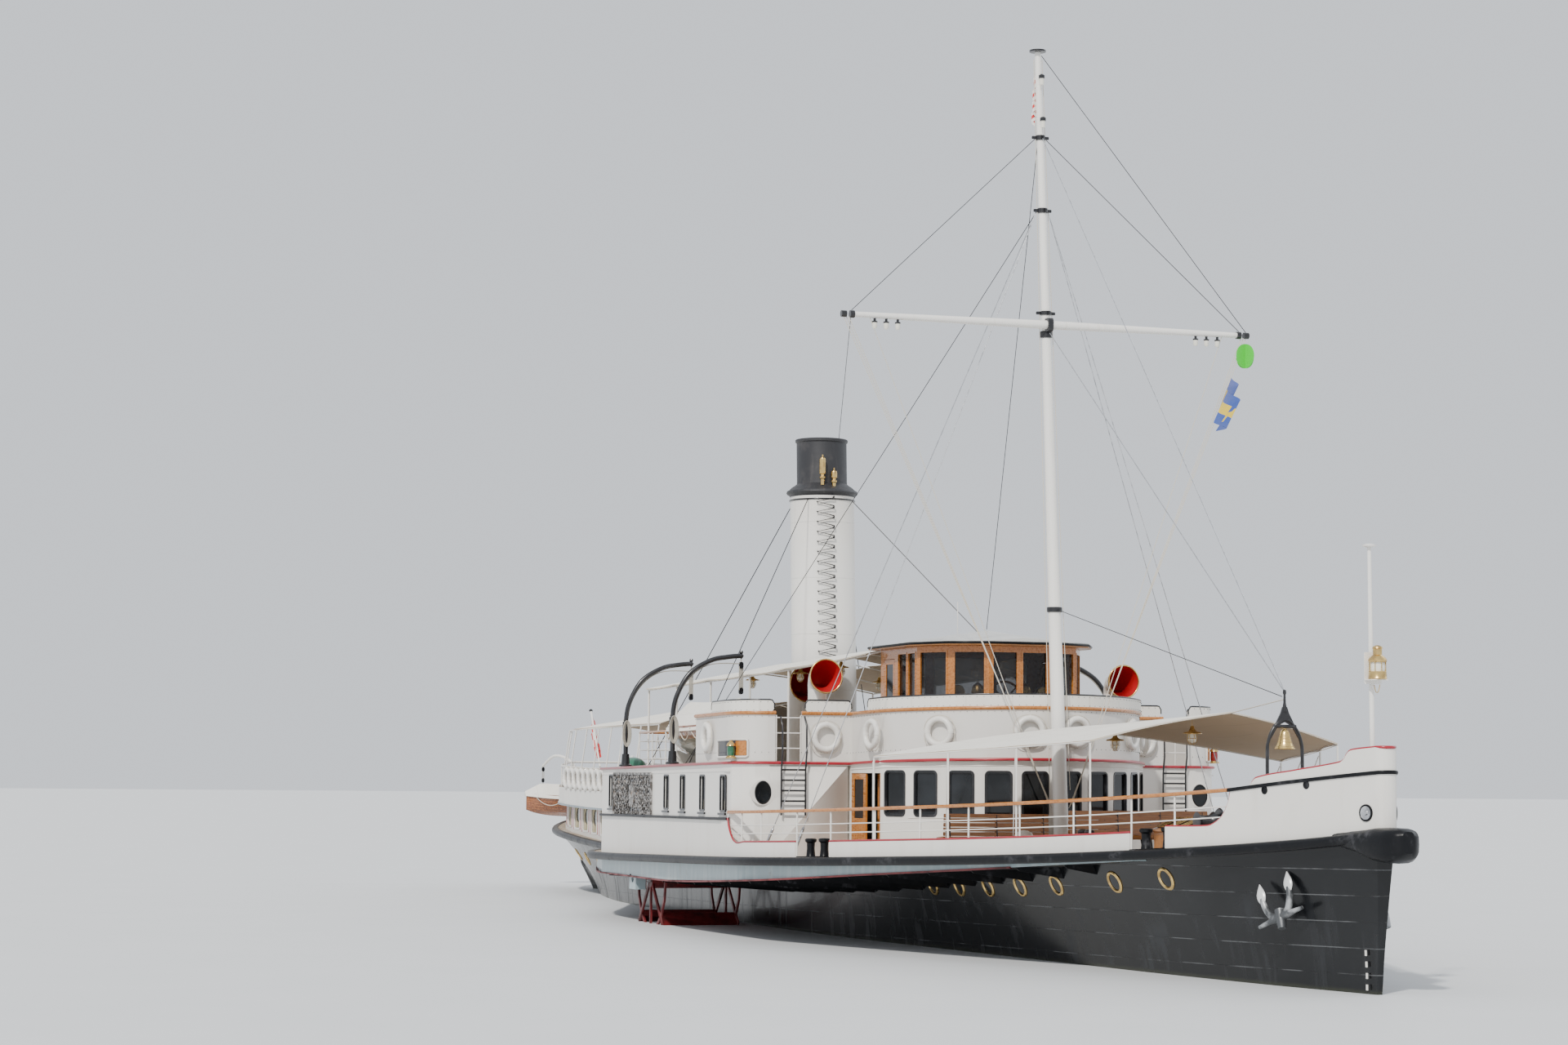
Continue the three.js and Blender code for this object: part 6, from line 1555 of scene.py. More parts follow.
plates, wood_rails, rope_edges, dots, gates = [], [], [], [], []
half_front = [*RAIL_FRONT, (9.6, 3.25), (8.84, 3.31)]
front_path = [(x, y) for x, y in reversed(half_front)] + [(x, -y) for x, y in half_front[1:]]
gate_plates = [[(GATE_X, side * 3.26), (GATE_X, side * 4.52)][::-side] for side, _ in SIDES]
wings = [[point[:2] for point in path] for path in both_sides([(x, y, 0) for x, y in WING])]
for plan in (front_path, *wings, *gate_plates):
    plates.append(wall(plan, 0.03, lambda x: promenade(x) + 0.004, lambda x: promenade(x) + RAIL_UP))
    wood_rails.append(beside(plan, 0.012, RAIL_UP + 0.012))
    dots += [beside(plan, 0.014, up) for up in (0.21, 1.03)]
canvas_strips = [paced(front_path, 1.0, run_of(front_path) - 1.0)]
canvas_strips += [from_gate(plan, 0.04, 2.55) for plan in wings]
canvas_strips += [paced(plan, 0.06, 1.18) for plan in gate_plates]
for number, plan in enumerate(canvas_strips, 1):
    rows = strip_rows(plan, RAIL_UP + 0.03, DODGER_UP + 0.02, 0.09, 0.03)
    rope_edges.append(strip_hem(rows))
    dots += [beside(plan[3:-3], 0.044, up) for up in (RAIL_UP + 0.07, DODGER_UP - 0.03)]
    cloth(f"bridge_dodger_{number}", rows, 0.012, canvas, "canvas")
for side, _ in SIDES:
    gates += [[(GATE_X, side * y, promenade(8.8) + up) for y in (4.52, 5.14)] for up in (0.3, 0.65, 1.0)]
    gates += [[(GATE_X, side * y, promenade(8.8) + up) for up in (0.01, 1.06)] for y in (4.54, 4.84, 5.12)]
build("bridge_plates", plates, bridge_white, "grey_white_paint", replaces=["bridge_bulwark"])
rods("bridge_handrail", wood_rails, 0.045, varnished, "varnished_wood", sides=12)
rods("dodger_black_edges", rope_edges, 0.018, black_gloss, "black_iron")
rods("bridge_gates", gates, 0.014, white_paint, "white_paint")
grown("bridge_lacing", dots, stud_tree, worn_black, "black_iron", Pitch=0.155, Size=(0.017,) * 3)


# Sidelights. Each stands in a black-lined alcove in the bridge wing, a brass lamp with a coloured lens.
# The starboard lens is green and the port lens red.
def lens_shade(colour):
    return lambda value, place: {"Base Color": value.tint(colour, place.noise(5.0) * 0.3,
                                                          tuple(c * 0.6 for c in colour)), "Roughness": 0.08}


lenses = [finish("green_lens", lens_shade((0.008, 0.11, 0.045)), coat=0.8),
          finish("red_lens", lens_shade((0.22, 0.008, 0.008)), coat=0.8)]


def strip_edge(rows):
    """The closed path round the edge of such rows."""
    edge = [row[-1] for row in rows] + [row[0] for row in reversed(rows)]
    return edge + edge[:1]


def strip_plate(rows, thickness):
    """A solid strip from such rows, its thickness laid evenly inwards of them."""
    loops = []
    for row, (_, left) in zip(rows, sideways([row[0][:2] for row in rows])):
        loops.append([*row, *((x - left.x * thickness, y - left.y * thickness, z)
                              for x, y, z in reversed(row))])
    return loft(loops)


alcoves, alcove_frames, alcove_wood, lamps = [], [], [], []
for (side, name), lens, plan in zip(SIDES, lenses, wings):
    niche = from_gate(plan, 0.63, 2.06)
    alcoves.append(strip_plate(strip_rows(niche, 0.10, 0.50, 0.03, 0.012), 0.02))
    alcove_frames.append(strip_edge(strip_rows(niche, 0.10, 0.50, 0.03, 0.02)))
    wood = from_gate(plan, 0.67, 0.98)
    alcove_wood.append(strip_plate(strip_rows(wood, 0.13, 0.47, 0.01, 0.022), 0.02))
    lamp = Matrix.Translation((8.40, side * 6.07, promenade(8) + 0.07)) @ Matrix.Scale(1.2, 4)
    lamps.append(lathe([(0, 0), (0.10, 0), (0.10, 0.03), (0.075, 0.04), (0.075, 0.05), (0, 0.05)], lamp, 20))
    lamps.append(lathe([(0.075, 0.23), (0.09, 0.24), (0.07, 0.29), (0.03, 0.32), (0.03, 0.35), (0, 0.35),
                        (0, 0.23)], lamp, 20))
    build(f"sidelight_lens_{name}", [lathe([(0, 0.05), (0.066, 0.05), (0.074, 0.10), (0.074, 0.18),
                                            (0.066, 0.23), (0, 0.23)], lamp, 20)], lens, "brass")
build("sidelight_alcoves", alcoves, black_gloss, "black_iron", extra=[(alcove_wood, varnished)])
rods("sidelight_alcove_frames", alcove_frames, 0.028, bridge_white, "grey_white_paint", sides=10)
build("sidelight_lamps", lamps, brass, "brass")


# Wheelhouse. Varnished posts, rails and panels with a large pane in each bay and a door on each side.
# Its broad roof has a pale grey top, and a wooden helm and brass instruments show through the panes.
refined("wheelhouse", varnished, "varnished_wood", angle=12)
WHEELHOUSE = [(7.2, 2.02), (9.7, 2.02), (10.6, 1.55), (11.0, 0.75)]
SILL, HEAD = 5.62, 6.62
pane_height, pane_z = HEAD - SILL, (SILL + HEAD) / 2
wheel_panes, mullions = [], []


def house_pane(spot, width):
    wheel_panes.append(slab(spot, rounded(width + 0.02, pane_height + 0.02, 0.01, 2), -0.05, -0.042))
    mullions.append(surround(spot, rounded(width + 0.05, pane_height + 0.05, 0.01, 2),
                             rounded(width - 0.03, pane_height - 0.03, 0.01, 2), -0.03, 0.012))


for side, _ in SIDES:
    for start, end in zip(WHEELHOUSE[1:], WHEELHOUSE[2:]):
        width = math.hypot(end[0] - start[0], end[1] - start[1]) - 0.2
        house_pane(pane_spot(start, end, side, pane_z), width)
    house_pane(frame_at((11.0, side * 0.36, pane_z), (1, 0, 0)), 0.60)
    for x0, x1 in ((8.42, 9.0), (9.1, 9.6)):
        house_pane(frame_at(((x0 + x1) / 2, side * 2.02, pane_z), (0, side, 0)), x1 - x0)
    house_pane(frame_at((7.2, side * 1.3, pane_z), (-1, 0, 0)), 0.8)
house_pane(frame_at((7.2, 0, pane_z), (-1, 0, 0)), 1.4)
clear_glass = finish("wheelhouse_glass", glass_shade, Alpha=0.45)
build("wheelhouse_panes", wheel_panes, clear_glass, "black_iron")
helm = frame_at((10.05, 0, 5.55), (1, 0, 0))
helm_wood = [ring(helm, 0.42, 0.028, 36, 8),
             lathe([(0, -0.06), (0.09, -0.06), (0.09, 0.06), (0, 0.06)], helm, 16)]
for a in around(8):
    spoke = helm @ Matrix.Rotation(a, 4, "Z") @ Matrix.Rotation(math.pi / 2, 4, "Y")
    helm_wood.append(lathe([(0, 0.07), (0.014, 0.07), (0.022, 0.25), (0.014, 0.45), (0.024, 0.52),
                            (0.012, 0.60), (0, 0.60)], spoke, 8))
stands = [lathe([(0, 4.12), (0.13, 4.12), (0.13, 4.18), (0.06, 4.24), (0.05, 5.45), (0.12, 5.55),
                 (0.15, 5.70), (0.12, 5.84), (0.03, 5.92), (0, 5.92)], Matrix.Translation((10.55, y, 0)), 20)
                 for y in (-0.85, 0.3)]
for y in (-1.05, 1.05):
    dial = frame_at((9.75, y, 5.72), (1, 0, 0))
    stands.append(lathe([(0, -0.09), (0.15, -0.09), (0.17, -0.06), (0.17, 0.06), (0.15, 0.09), (0, 0.09)],
                        dial, 24))
    stands.append(lathe([(0, 4.12), (0.14, 4.12), (0.14, 4.17), (0.05, 4.22), (0.045, 5.58), (0, 5.58)],
                        Matrix.Translation((9.75, y, 0)), 16))
build("wheelhouse_helm", helm_wood, varnished, "varnished_wood")
build("wheelhouse_instruments", stands, brass, "brass")
build("wheelhouse_mullions", mullions, varnished, "varnished_wood")
for side, name in SIDES:
    refined(f"wheelhouse_door_{name}", varnished, "varnished_wood", f"bridge_door_{name}", angle=20)
    pane = frame_at((7.81, side * 2.0, 6.01), (0, side, 0))
    build(f"wheelhouse_door_glass_{name}", [slab(pane, rounded(0.51, 0.79, 0.01, 2), -0.006, 0.002)],
          dark_glass, "black_iron", f"bridge_door_{name}")
ROOF = [(6.95, 2.25), (9.85, 2.25), (10.85, 1.75), (11.3, 0.9)]
roof_loops = []
for x in [6.95, *steps(7.4, 9.85, 6), 10.2, 10.55, 10.85, 11.0, 11.15, 11.3]:
    half = straight(ROOF, x)
    crown = 7.2 - 0.12 * abs(x - 9)
    top = [(x, half * t, 6.85 + (crown - 6.85) * (1 - abs(t)) ** 0.9) for t in steps(1, -1, 12)]
    roof_loops.append([(x, -half, 6.76), (x, -half + 0.03, 6.752), (x, half - 0.03, 6.752), (x, half, 6.76),
                       *top])


def roof_shade(value, place):
    up = value.node("ShaderNodeNewGeometry", None, None, 1).axis("Z").soft(0.2, 0.4)
    edge = place.axis("Z").soft(6.79, 6.80)
    wood = value.tint((0.50, 0.22, 0.06), (place * (1.2, 8.0, 8.0)).noise(2.6, 6), (0.30, 0.11, 0.03))
    grey = value.tint((0.58, 0.58, 0.56), place.noise(1.2).soft(0.4, 0.7), (0.44, 0.44, 0.42))
    return {"Base Color": value.tint(wood, up.most(edge), grey), "Roughness": 0.4}


roof_finish = finish("wheelhouse_roof_paint", roof_shade, coat=0.2)
build("wheelhouse_roof_cover", [loft(roof_loops)], roof_finish, "varnished_wood",
      replaces=["wheelhouse_roof"])
eaves = [(x, y, 6.81) for x, y in ROOF] + [(11.32, 0, 6.81)]
eave = [(x, -y, z) for x, y, z in eaves] + [(x, y, z) for x, y, z in reversed(eaves[:-1])]
rods("wheelhouse_eaves", [eave], 0.03, worn_black, "black_iron")
rods("wheelhouse_aerial", [[(6.98, 0, 6.9), (6.98, 0, 7.97)]], 0.012, white_paint, "white_paint")


# Ventilator cowls. Bent sheet-steel trunks, white outside, with wide mouths that face forward.
# The inside is deep red and the rim is a rolled brass bead.
def cowl_red(value, place):
    return {"Base Color": value.tint((0.50, 0.012, 0.016), place.noise(3.0) * 0.5, (0.33, 0.008, 0.012)),
            "Roughness": 0.4}


deep_red = finish("cowl_red", cowl_red, coat=0.3)
COWLS = [(8.0, 3.75, 0.40, 6.08, "fore"), (-1.0, 1.30, 0.50, 6.20, "aft")]
cowl_rims = []
for side, name in SIDES:
    for x, y, radius, height, end in COWLS:
        foot = promenade(x - 0.9 * radius) + 0.004
        bend = height - foot - 1.25 * radius
        # Reach and height of the trunk's centre line, its turn in degrees, and its width in mouth radii.
        keys = [(-0.9, 0, 0, 0.55), (-0.9, bend, 0, 0.55), (-0.85, bend + 0.75 * radius, 25, 0.58),
                (-0.4, bend + 1.12 * radius, 60, 0.69), (0.35, bend + 1.25 * radius, 88, 0.86),
                (0.75, bend + 1.25 * radius, 90, 1.0)]
        centres = spline([(u * radius, rise, math.radians(turn)) for u, rise, turn, _ in keys], 7)
        widths = spline([(width * radius, 0, 0) for *_, width in keys], 7)

        def cowl_skin(shrink):
            loops = []
            for (out, rise, turn), (width, _, _) in zip(centres, widths):
                thick = width - shrink
                loops.append([(x + out - thick * math.sin(a) * math.cos(turn), side * y + thick * math.cos(a),
                               foot + rise + thick * math.sin(a) * math.sin(turn)) for a in around(32)])
            return loops

        outside, inside = cowl_skin(0.0), cowl_skin(0.02)
        throat = len(outside) // 3
        node = f"cowl_{end}_{name}"
        build(f"{node}_trunk", [loft(outside + inside[:throat - 1:-1])], white_paint, "white_paint",
              replaces=[node])
        lining = cowl_skin(0.0215)[throat + 1:] + cowl_skin(0.028)[:throat:-1]
        build(f"{node}_lining", [loft(lining)], deep_red, "red_paint")
        rim = cowl_skin(0.01)[-1]
        cowl_rims.append(rim + rim[:1])
        base = Matrix.Translation((x - 0.9 * radius, side * y, foot))
        wide = 0.55 * radius
        build(f"{node}_coaming", [lathe([(wide + 0.003, 0), (wide + 0.09, 0), (wide + 0.09, 0.02),
                                         (wide + 0.03, 0.05), (wide + 0.03, 0.16), (wide + 0.003, 0.17)],
                                         base,
                                        28)], white_paint, "white_paint")
rods("cowl_rims", cowl_rims, 0.02, brass, "brass", sides=10)


# Funnel. A tall white riveted casing with a black collar near its top, and a black inner flue above it.
# Zigzag climbing rungs run up its fore side, and two brass whistles stand on the collar.
FUNNEL_X, FUNNEL_RAKE, FUNNEL_FOOT = -3.1, -0.056, promenade(-3.1) + 0.003
COLLAR, FUNNEL_TOP = 11.5, 12.95


def funnel_at(radius, angle, z):
    return (FUNNEL_X + FUNNEL_RAKE * (z - FUNNEL_FOOT) + radius * math.cos(angle),
            radius * math.sin(angle), z)


def funnel_ring(radius, z):
    return [funnel_at(radius, a, z) for a in around(64)]


def funnel_shade(value, place):
    x, z = place.axis("X"), place.axis("Z")
    soot = place.noise(0.9) * z.soft(9.0, 11.6) * 0.6
    streaks = (place * (4.0, 4.0, 0.15)).noise(1.5).soft(0.6, 0.8) * 0.25
    base = value.tint((0.80, 0.78, 0.74), soot + streaks, (0.58, 0.53, 0.46))
    seam = z.line(1.52, 0.02)
    return {"Base Color": base, "Height": seam * 0.5 + place.noise(1.6) * 0.3, "Roughness": 0.34}


funnel_white = finish("funnel_white", funnel_shade, coat=0.2, bump=0.012)
casing_loops = [funnel_ring(r, z) for r, z in
                ((0.935, FUNNEL_FOOT), (0.935, FUNNEL_FOOT + 0.03), (0.895, FUNNEL_FOOT + 0.06),
                 (0.875, FUNNEL_FOOT + 0.10), (0.875, 6.0), (0.875, 8.5), (0.875, COLLAR - 0.14),
                 (0.60, COLLAR - 0.14), (0.60, FUNNEL_FOOT))]
build("funnel_casing", [loft(casing_loops + casing_loops[:1], caps=False)], funnel_white, "white_paint",
      replaces=["funnel"])


def soot_black(value, place):
    chalk = place.noise(2.2).soft(0.5, 0.8) * 0.35
    streak = (place * (5.0, 5.0, 0.3)).noise(1.8).soft(0.55, 0.8) * 0.4
    return {"Base Color": value.tint((0.020, 0.020, 0.023), chalk + streak, (0.10, 0.09, 0.085)),
            "Height": place.noise(3.0), "Roughness": 0.42 + place.noise(3.0) * 0.15}


funnel_black = finish("funnel_black", soot_black, bump=0.008)
collar_loops = [funnel_ring(r, COLLAR + z) for r, z in
                ((0.60, -0.14), (0.88, -0.14), (0.90, -0.10), (0.955, -0.07), (0.975, -0.03), (0.955, 0.02),
                 (0.90, 0.05), (0.83, 0.12), (0.75, 0.17), (0.69, 0.22), (0.685, 0.30))]
flue = [(0.685, FUNNEL_TOP - 0.10), (0.715, FUNNEL_TOP - 0.08), (0.72, FUNNEL_TOP - 0.02), (0.70, FUNNEL_TOP),
        (0.64, FUNNEL_TOP), (0.625, FUNNEL_TOP - 0.04), (0.62, COLLAR), (0.60, 8.0)]
collar_loops += [funnel_ring(r, z) for r, z in flue]
build("funnel_top", [loft(collar_loops + collar_loops[:1], caps=False)], funnel_black, "black_paint")
ladder, studs = [], []
for i in range(17):
    z = 6.85 + 0.27 * i
    ladder += [funnel_at(0.965, -0.46, z), funnel_at(0.965, 0.02, z + 0.10), funnel_at(0.965, 0.02, z + 0.16)]
    studs += [[funnel_at(0.87, -0.46, z), funnel_at(0.97, -0.46, z)],
              [funnel_at(0.87, 0.02, z + 0.13), funnel_at(0.97, 0.02, z + 0.13)]]
rods("funnel_rungs", [ladder, *studs], 0.02, black_gloss, "black_iron", sides=6)
whistles = []
for angle, low in ((-0.30, 0.0), (0.10, -0.25)):
    base = Matrix.Translation(funnel_at(0.80, angle, COLLAR + 0.30 + low * 0.4))
    whistles.append(lathe([(0, -0.16), (0.05, -0.16), (0.05, 0.0), (0.08, 0.02), (0.08, 0.06), (0.045, 0.08),
                           (0.05, 0.12), (0.085, 0.14), (0.085, 0.52 + low), (0.07, 0.57 + low),
                           (0.02, 0.60 + low), (0.02, 0.66 + low), (0, 0.66 + low)], base, 16))
build("funnel_whistles", whistles, brass, "brass")
guys = []
for side, _ in SIDES:
    for angle, foot_x, foot_y in ((0.75, 3.1, 5.55), (2.4, -8.9, 3.4)):
        start = funnel_at(0.90, side * angle, COLLAR - 0.24)
        guys.append([start, (foot_x, side * foot_y, promenade(foot_x) + 0.05)])
rods("funnel_guys", guys, 0.012, worn_black, "galvanised_steel", sides=6)
band = funnel_ring(0.885, COLLAR - 0.24)
rods("funnel_guy_band", [band + band[:1]], 0.022, black_gloss, "black_iron", sides=8)


# Companion hood. Tan canvas stretched over three bent ribs above the stair behind the funnel.
# Its fore end is open, and a white board closes the aft end.
HOOD = {"aft": -8.4, "fore": -6.0, "half": 1.1, "upright": 1.3, "rise": 0.605}
hood_foot = promenade(HOOD["aft"]) + 0.015
hood_arch = [(-HOOD["half"], up) for up in steps(0, HOOD["upright"], 6)]
hood_arch += [(-HOOD["half"] * math.cos(a), HOOD["upright"] + HOOD["rise"] * math.sin(a))
              for a in steps(0, math.pi, 18)[1:-1]]
hood_arch += [(HOOD["half"], up) for up in steps(HOOD["upright"], 0, 6)]
hood_rows = []
for i, x in enumerate(steps(HOOD["aft"] + 0.02, HOOD["fore"], 12)):
    sag = 0.035 * math.sin(math.pi * i / 5.5) ** 2
    hood_rows.append([(x, y * (1 - sag * 0.4), max(promenade(x) + 0.008, hood_foot + up * (1 - sag * 0.6)))
                      for y, up in hood_arch])
# Its canvas takes the awnings' finish: white where it faces up, and tinted tan as painted shade where it
# faces sideways and down.
cloth("companion_hood_canvas", hood_rows, 0.012, canvas_shaded_below, "canvas", ["companion_hood"])
ribs = []
for x in (HOOD["aft"] + 0.06, -7.2, HOOD["fore"] - 0.03):
    ribs.append([(x, y * 0.975, max(promenade(x) + 0.02, hood_foot + up * 0.975 - 0.012))
                 for y, up in hood_arch])
rods("companion_hood_ribs", ribs, 0.022, white_paint, "white_paint", sides=10)
end_wall = [(HOOD["aft"] + 0.035, y * 0.955, max(promenade(HOOD["aft"]) + 0.008, hood_foot + up * 0.955))
            for y, up in hood_arch]
end_inner = [(x + 0.02, y, z) for x, y, z in end_wall]
build("companion_hood_end", [loft([end_wall, end_inner])], white_paint, "white_paint")


# Promenade rail. White stanchions and rods round the aft part of the deck, with a gap at the stair.
# The handrail is varnished wood.
rail_top, rail_low, rail_posts = [], [], []
for side, _ in SIDES:
    corner = [(-3.58, 3.55), (-6.4, 3.55), (-9.17, 3.55), (-9.2, 3.52), (-9.2, 1.2)]
    rail_top.append([(x, side * y, promenade(x) + 1.05) for x, y in corner])
    for up in (0.30, 0.55, 0.80):
        rail_low.append([(x, side * y, promenade(x) + up) for x, y in corner])
    for x, y in ((-3.6, 3.55), (-5.0, 3.55), (-6.4, 3.55), (-7.8, 3.55), (-9.2, 3.55), (-9.2, 2.4),
                 (-9.2, 1.2)):
        rail_posts.append([(x, side * y, promenade(x) + 0.003), (x, side * y, promenade(x) + 1.05)])
rods("promenade_rail_top", rail_top, 0.028, varnished, "varnished_wood", replaces=["promenade_rail"],
     sides=12)
rods("promenade_rail_rods", rail_low, 0.012, white_paint, "white_paint")
rods("promenade_rail_posts", rail_posts, 0.02, white_paint, "white_paint")


# Promenade awning frame. White tubes: posts at both edges, bars along them and bowed cross bars.
# Brass lanterns with wire cages hang from the cross bars.
PROM_AWNING = [(-8.9, 3.45, 6.22, 6.75), (-6.2, 3.38, 6.27, 6.85), (-3.2, 3.28, 6.32, 6.98),
               (0.2, 3.22, 6.36, 7.02), (3.5, 3.22, 6.42, 7.06), (6.9, 2.3, 6.68, 7.08)]


def awning_at(x, t):
    """A point of the promenade awning, t running from -1 at its starboard edge to 1 at its port edge."""
    half, edge, ridge = (straight(PROM_AWNING, x, column) for column in (1, 2, 3))
    return (x, half * t, edge + (ridge - edge) * (1 - abs(t)) + 0.10 * math.sin(math.pi * abs(t)) * 0.5)


frame_bars, frame_posts = [], []
for side, _ in SIDES:
    for x, half, edge, _ in PROM_AWNING[:5]:
        post = [(x, side * (half - 0.08), promenade(x) + 0.003), (x, side * (half - 0.08), edge - 0.03)]
        frame_posts.append(post)
    frame_bars.append([(x, side * (half - 0.08), edge - 0.035) for x, half, edge, _ in PROM_AWNING])
for x, half, edge, ridge in PROM_AWNING:
    bow = [awning_at(x, t * (half - 0.08) / half) for t in steps(-1, 1, 12)]
    frame_bars.append([(px, py, pz - 0.042) for px, py, pz in bow])
rods("promenade_awning_posts", frame_posts, 0.03, white_paint, "white_paint",
     replaces=["promenade_awning_frame"], sides=12)
rods("promenade_awning_bars", frame_bars, 0.022, white_paint, "white_paint", sides=10)


def lantern(place, drop):
    """A brass hanging lantern with its glass, and the paths of its wire cage."""
    x, y, z = place
    axis = Matrix.Translation((x, y, z - drop))
    cap = lathe([(0, 0.20), (0.035, 0.20), (0.05, 0.13), (0.09, 0.09), (0.17, 0.075), (0.195, 0.055),
                 (0.19, 0.045), (0.07, 0.06), (0.07, 0.04), (0.06, 0.04), (0.06, 0.06), (0, 0.06)], axis, 20)
    glass = lathe([(0, -0.15), (0.04, -0.14), (0.075, -0.10), (0.085, -0.04), (0.07, 0.04), (0, 0.04)],
                  axis, 16)
    cage = [[(x + r * math.cos(a), y + r * math.sin(a), z - drop + up)
             for r, up in ((0.08, 0.05), (0.10, -0.03), (0.088, -0.10), (0.05, -0.155), (0, -0.17))]
            for a in around(6)]
    hoop = [(x + 0.098 * math.cos(a), y + 0.098 * math.sin(a), z - drop - 0.05)
            for a in steps(0, math.tau, 16)]
    return cap, glass, [*cage, hoop, [(x, y, z), (x, y, z - drop + 0.18)]]


pale_glass = finish("lamp_glass", lambda value, place: {
    "Base Color": value.tint((0.82, 0.80, 0.70), place.noise(6.0) * 0.3, (0.60, 0.58, 0.50))}, 0.08, coat=0.6)
lantern_caps, lantern_glasses, lantern_wires = [], [], []
hanging = [(awning_at(x, t), 0.34) for x in (-3.9, 0.2, 3.5, 6.2) for t in (-0.55, 0.55)]
hanging += [((20.23, 0, 4.965), 0.36), ((16.4, 0, 4.86), 0.36)]
for place, drop in hanging:
    spot = (place[0], place[1], place[2] - 0.04)
    cap, glass, wires = lantern(spot, drop - 0.04)
    lantern_caps.append(cap)
    lantern_glasses.append(glass)
    lantern_wires += wires
build("lantern_caps", lantern_caps, brass, "brass")
build("lantern_glasses", lantern_glasses, pale_glass, "brass")
rods("lantern_cages", lantern_wires, 0.005, brass, "brass", sides=5)


# Awnings. White canvas laced over the frames: one over the promenade deck, cut out round the funnel, and
# one over the aft deck. The foredeck awning runs down from a ridge rope to the rail posts. All three are
# tinted tan where they face down, as painted shade and light through the cloth.
FUNNEL_HOLE = {"aft": -4.6, "fore": -1.95, "half": 0.385}
awning_xs = [-8.9, -8.3, -7.6, -6.9, -6.2, -5.6, -5.1, -4.6, -3.9, -3.2, -2.5, -1.95, -1.2, -0.5, 0.2, 1.0,
             1.9, 2.7, 3.5, 4.3, 5.1, 5.9, 6.9]
awning_ts = [-1, -0.96, -0.8, -0.6, -0.385, -0.2, 0, 0.2, 0.385, 0.6, 0.8, 0.96, 1]
bow_xs = [row[0] for row in PROM_AWNING]


def slack(x, supports):
    """How far canvas hangs below a straight line between the bars on either side of it, from 0 to 1."""
    for low, high in zip(supports, supports[1:]):
        if low <= x <= high:
            return math.sin(math.pi * (x - low) / (high - low))
    return 0.0


promenade_rows = []
for x in awning_xs:
    row = []
    for t in awning_ts:
        px, py, pz = awning_at(x, t)
        row.append((px, py, pz - 0.035 * slack(x, bow_xs) * (0.3 + 0.7 * abs(t)) + 0.005))
    promenade_rows.append(row)


def over_funnel(i, j):
    return (FUNNEL_HOLE["aft"] - 0.01 < awning_xs[i] and awning_xs[i + 1] < FUNNEL_HOLE["fore"] + 0.01
            and abs(awning_ts[j]) < 0.39 and abs(awning_ts[j + 1]) < 0.39)


cloth("promenade_awning_canvas", promenade_rows, 0.012, canvas_shaded_below, "canvas",
      ["promenade_awning"], gap=over_funnel)
AFT_AWNING = [(-26.2, 1.45, 5.42), (-22, 2.30, 5.62), (-18, 2.52, 5.78), (-14, 2.78, 5.92),
              (-9.8, 2.78, 6.02)]
aft_supports = (-26.2, -24, -22, -20, -18, -16, -14, -12, -9.8)
aft_rows = []
for x in steps(-26.2, -9.8, 40):
    half, ridge = straight(AFT_AWNING, x, 1), straight(AFT_AWNING, x, 2)
    hang = slack(x, aft_supports)
    row = []
    for t in steps(-1, 1, 16):
        rise = (ridge - 5.275) * (1 - abs(t)) + 0.05 * math.sin(math.pi * abs(t))
        row.append((x, half * t, 5.278 + rise - 0.03 * hang * (1 - abs(t) ** 4) * (0.4 + 0.6 * abs(t))))
    aft_rows.append(row)
cloth("aft_awning_canvas", aft_rows, 0.012, canvas_shaded_below, "canvas", ["aft_awning"])
FORE_RIDGE = [(13.78, 4.86), (16.4, 4.90), (19.2, 4.97), (22.0, 5.05)]
fore_rows = []
ridge_stations = [(i, *row) for i, row in enumerate(FORE_RIDGE)]
post_stations = [(i, *row) for i, row in enumerate(AWNING_POSTS)]
for s in steps(0, 3, 30):
    ridge_x, ridge_z = (straight(ridge_stations, s, column) for column in (1, 2))
    post_x, post_z = (straight(post_stations, s, column) for column in (1, 2))
    post_y = rail_edge(post_x)
    scallop = slack(s, range(4))
    row = []
    for t in steps(-1, 1, 16):
        a = abs(t)
        row.append((ridge_x + (post_x - ridge_x) * a, (post_y - 0.10 * scallop * a ** 3) * t,
                    ridge_z + (post_z + 0.046 - ridge_z) * a + 0.05 * math.sin(math.pi * a)
                    - 0.05 * scallop * math.sin(math.pi * a) ** 2))
    fore_rows.append(row)
cloth("fore_awning_canvas", fore_rows, 0.012, canvas_shaded_below, "canvas", ["fore_awning"])
hems = [[row[end] for row in rows] for rows in (fore_rows, promenade_rows, aft_rows) for end in (0, -1)]
hems += [fore_rows[0], fore_rows[-1], [(22.0, 0, 5.05), (24.26, 0, 5.26)]]
lowered = [[(x, y, z - 0.018) for x, y, z in hem] for hem in hems]
rods("awning_hem_ropes", lowered, 0.011, rope, "canvas", sides=6)


# Mast. A raked white steel tube with black bands where the stays are made fast.
# The yard carries three lamps on each arm, a green ball of two crossed discs, and a small striped flag.
MAST = {"x": 13.5, "rake": 0.082, "foot": 1.8, "head": 20.4, "yard": 13.9, "half": 4.9,
        "thick": 0.175, "thin": 0.07}
YARD_LAMPS = (3.60, 3.87, 4.14)


def mast_at(z, y=0.0, out=0.0):
    return (MAST["x"] - MAST["rake"] * (z - deck_top(MAST["x"])) + out, y, z)


def mast_radius(z):
    share = (z - MAST["foot"]) / (MAST["head"] - MAST["foot"])
    return MAST["thick"] + (MAST["thin"] - MAST["thick"]) * share


def mast_ring(radius, z):
    return [(mast_at(z)[0] + radius * math.cos(a), radius * math.sin(a), z) for a in around(24)]


def mast_shade(value, place):
    streak = (place * (6.0, 6.0, 0.2)).noise(1.2).soft(0.55, 0.8) * 0.35
    return {"Base Color": value.tint((0.82, 0.80, 0.76), streak, (0.58, 0.54, 0.48)),
            "Roughness": 0.32, "Height": place.noise(2.0) * 0.3}


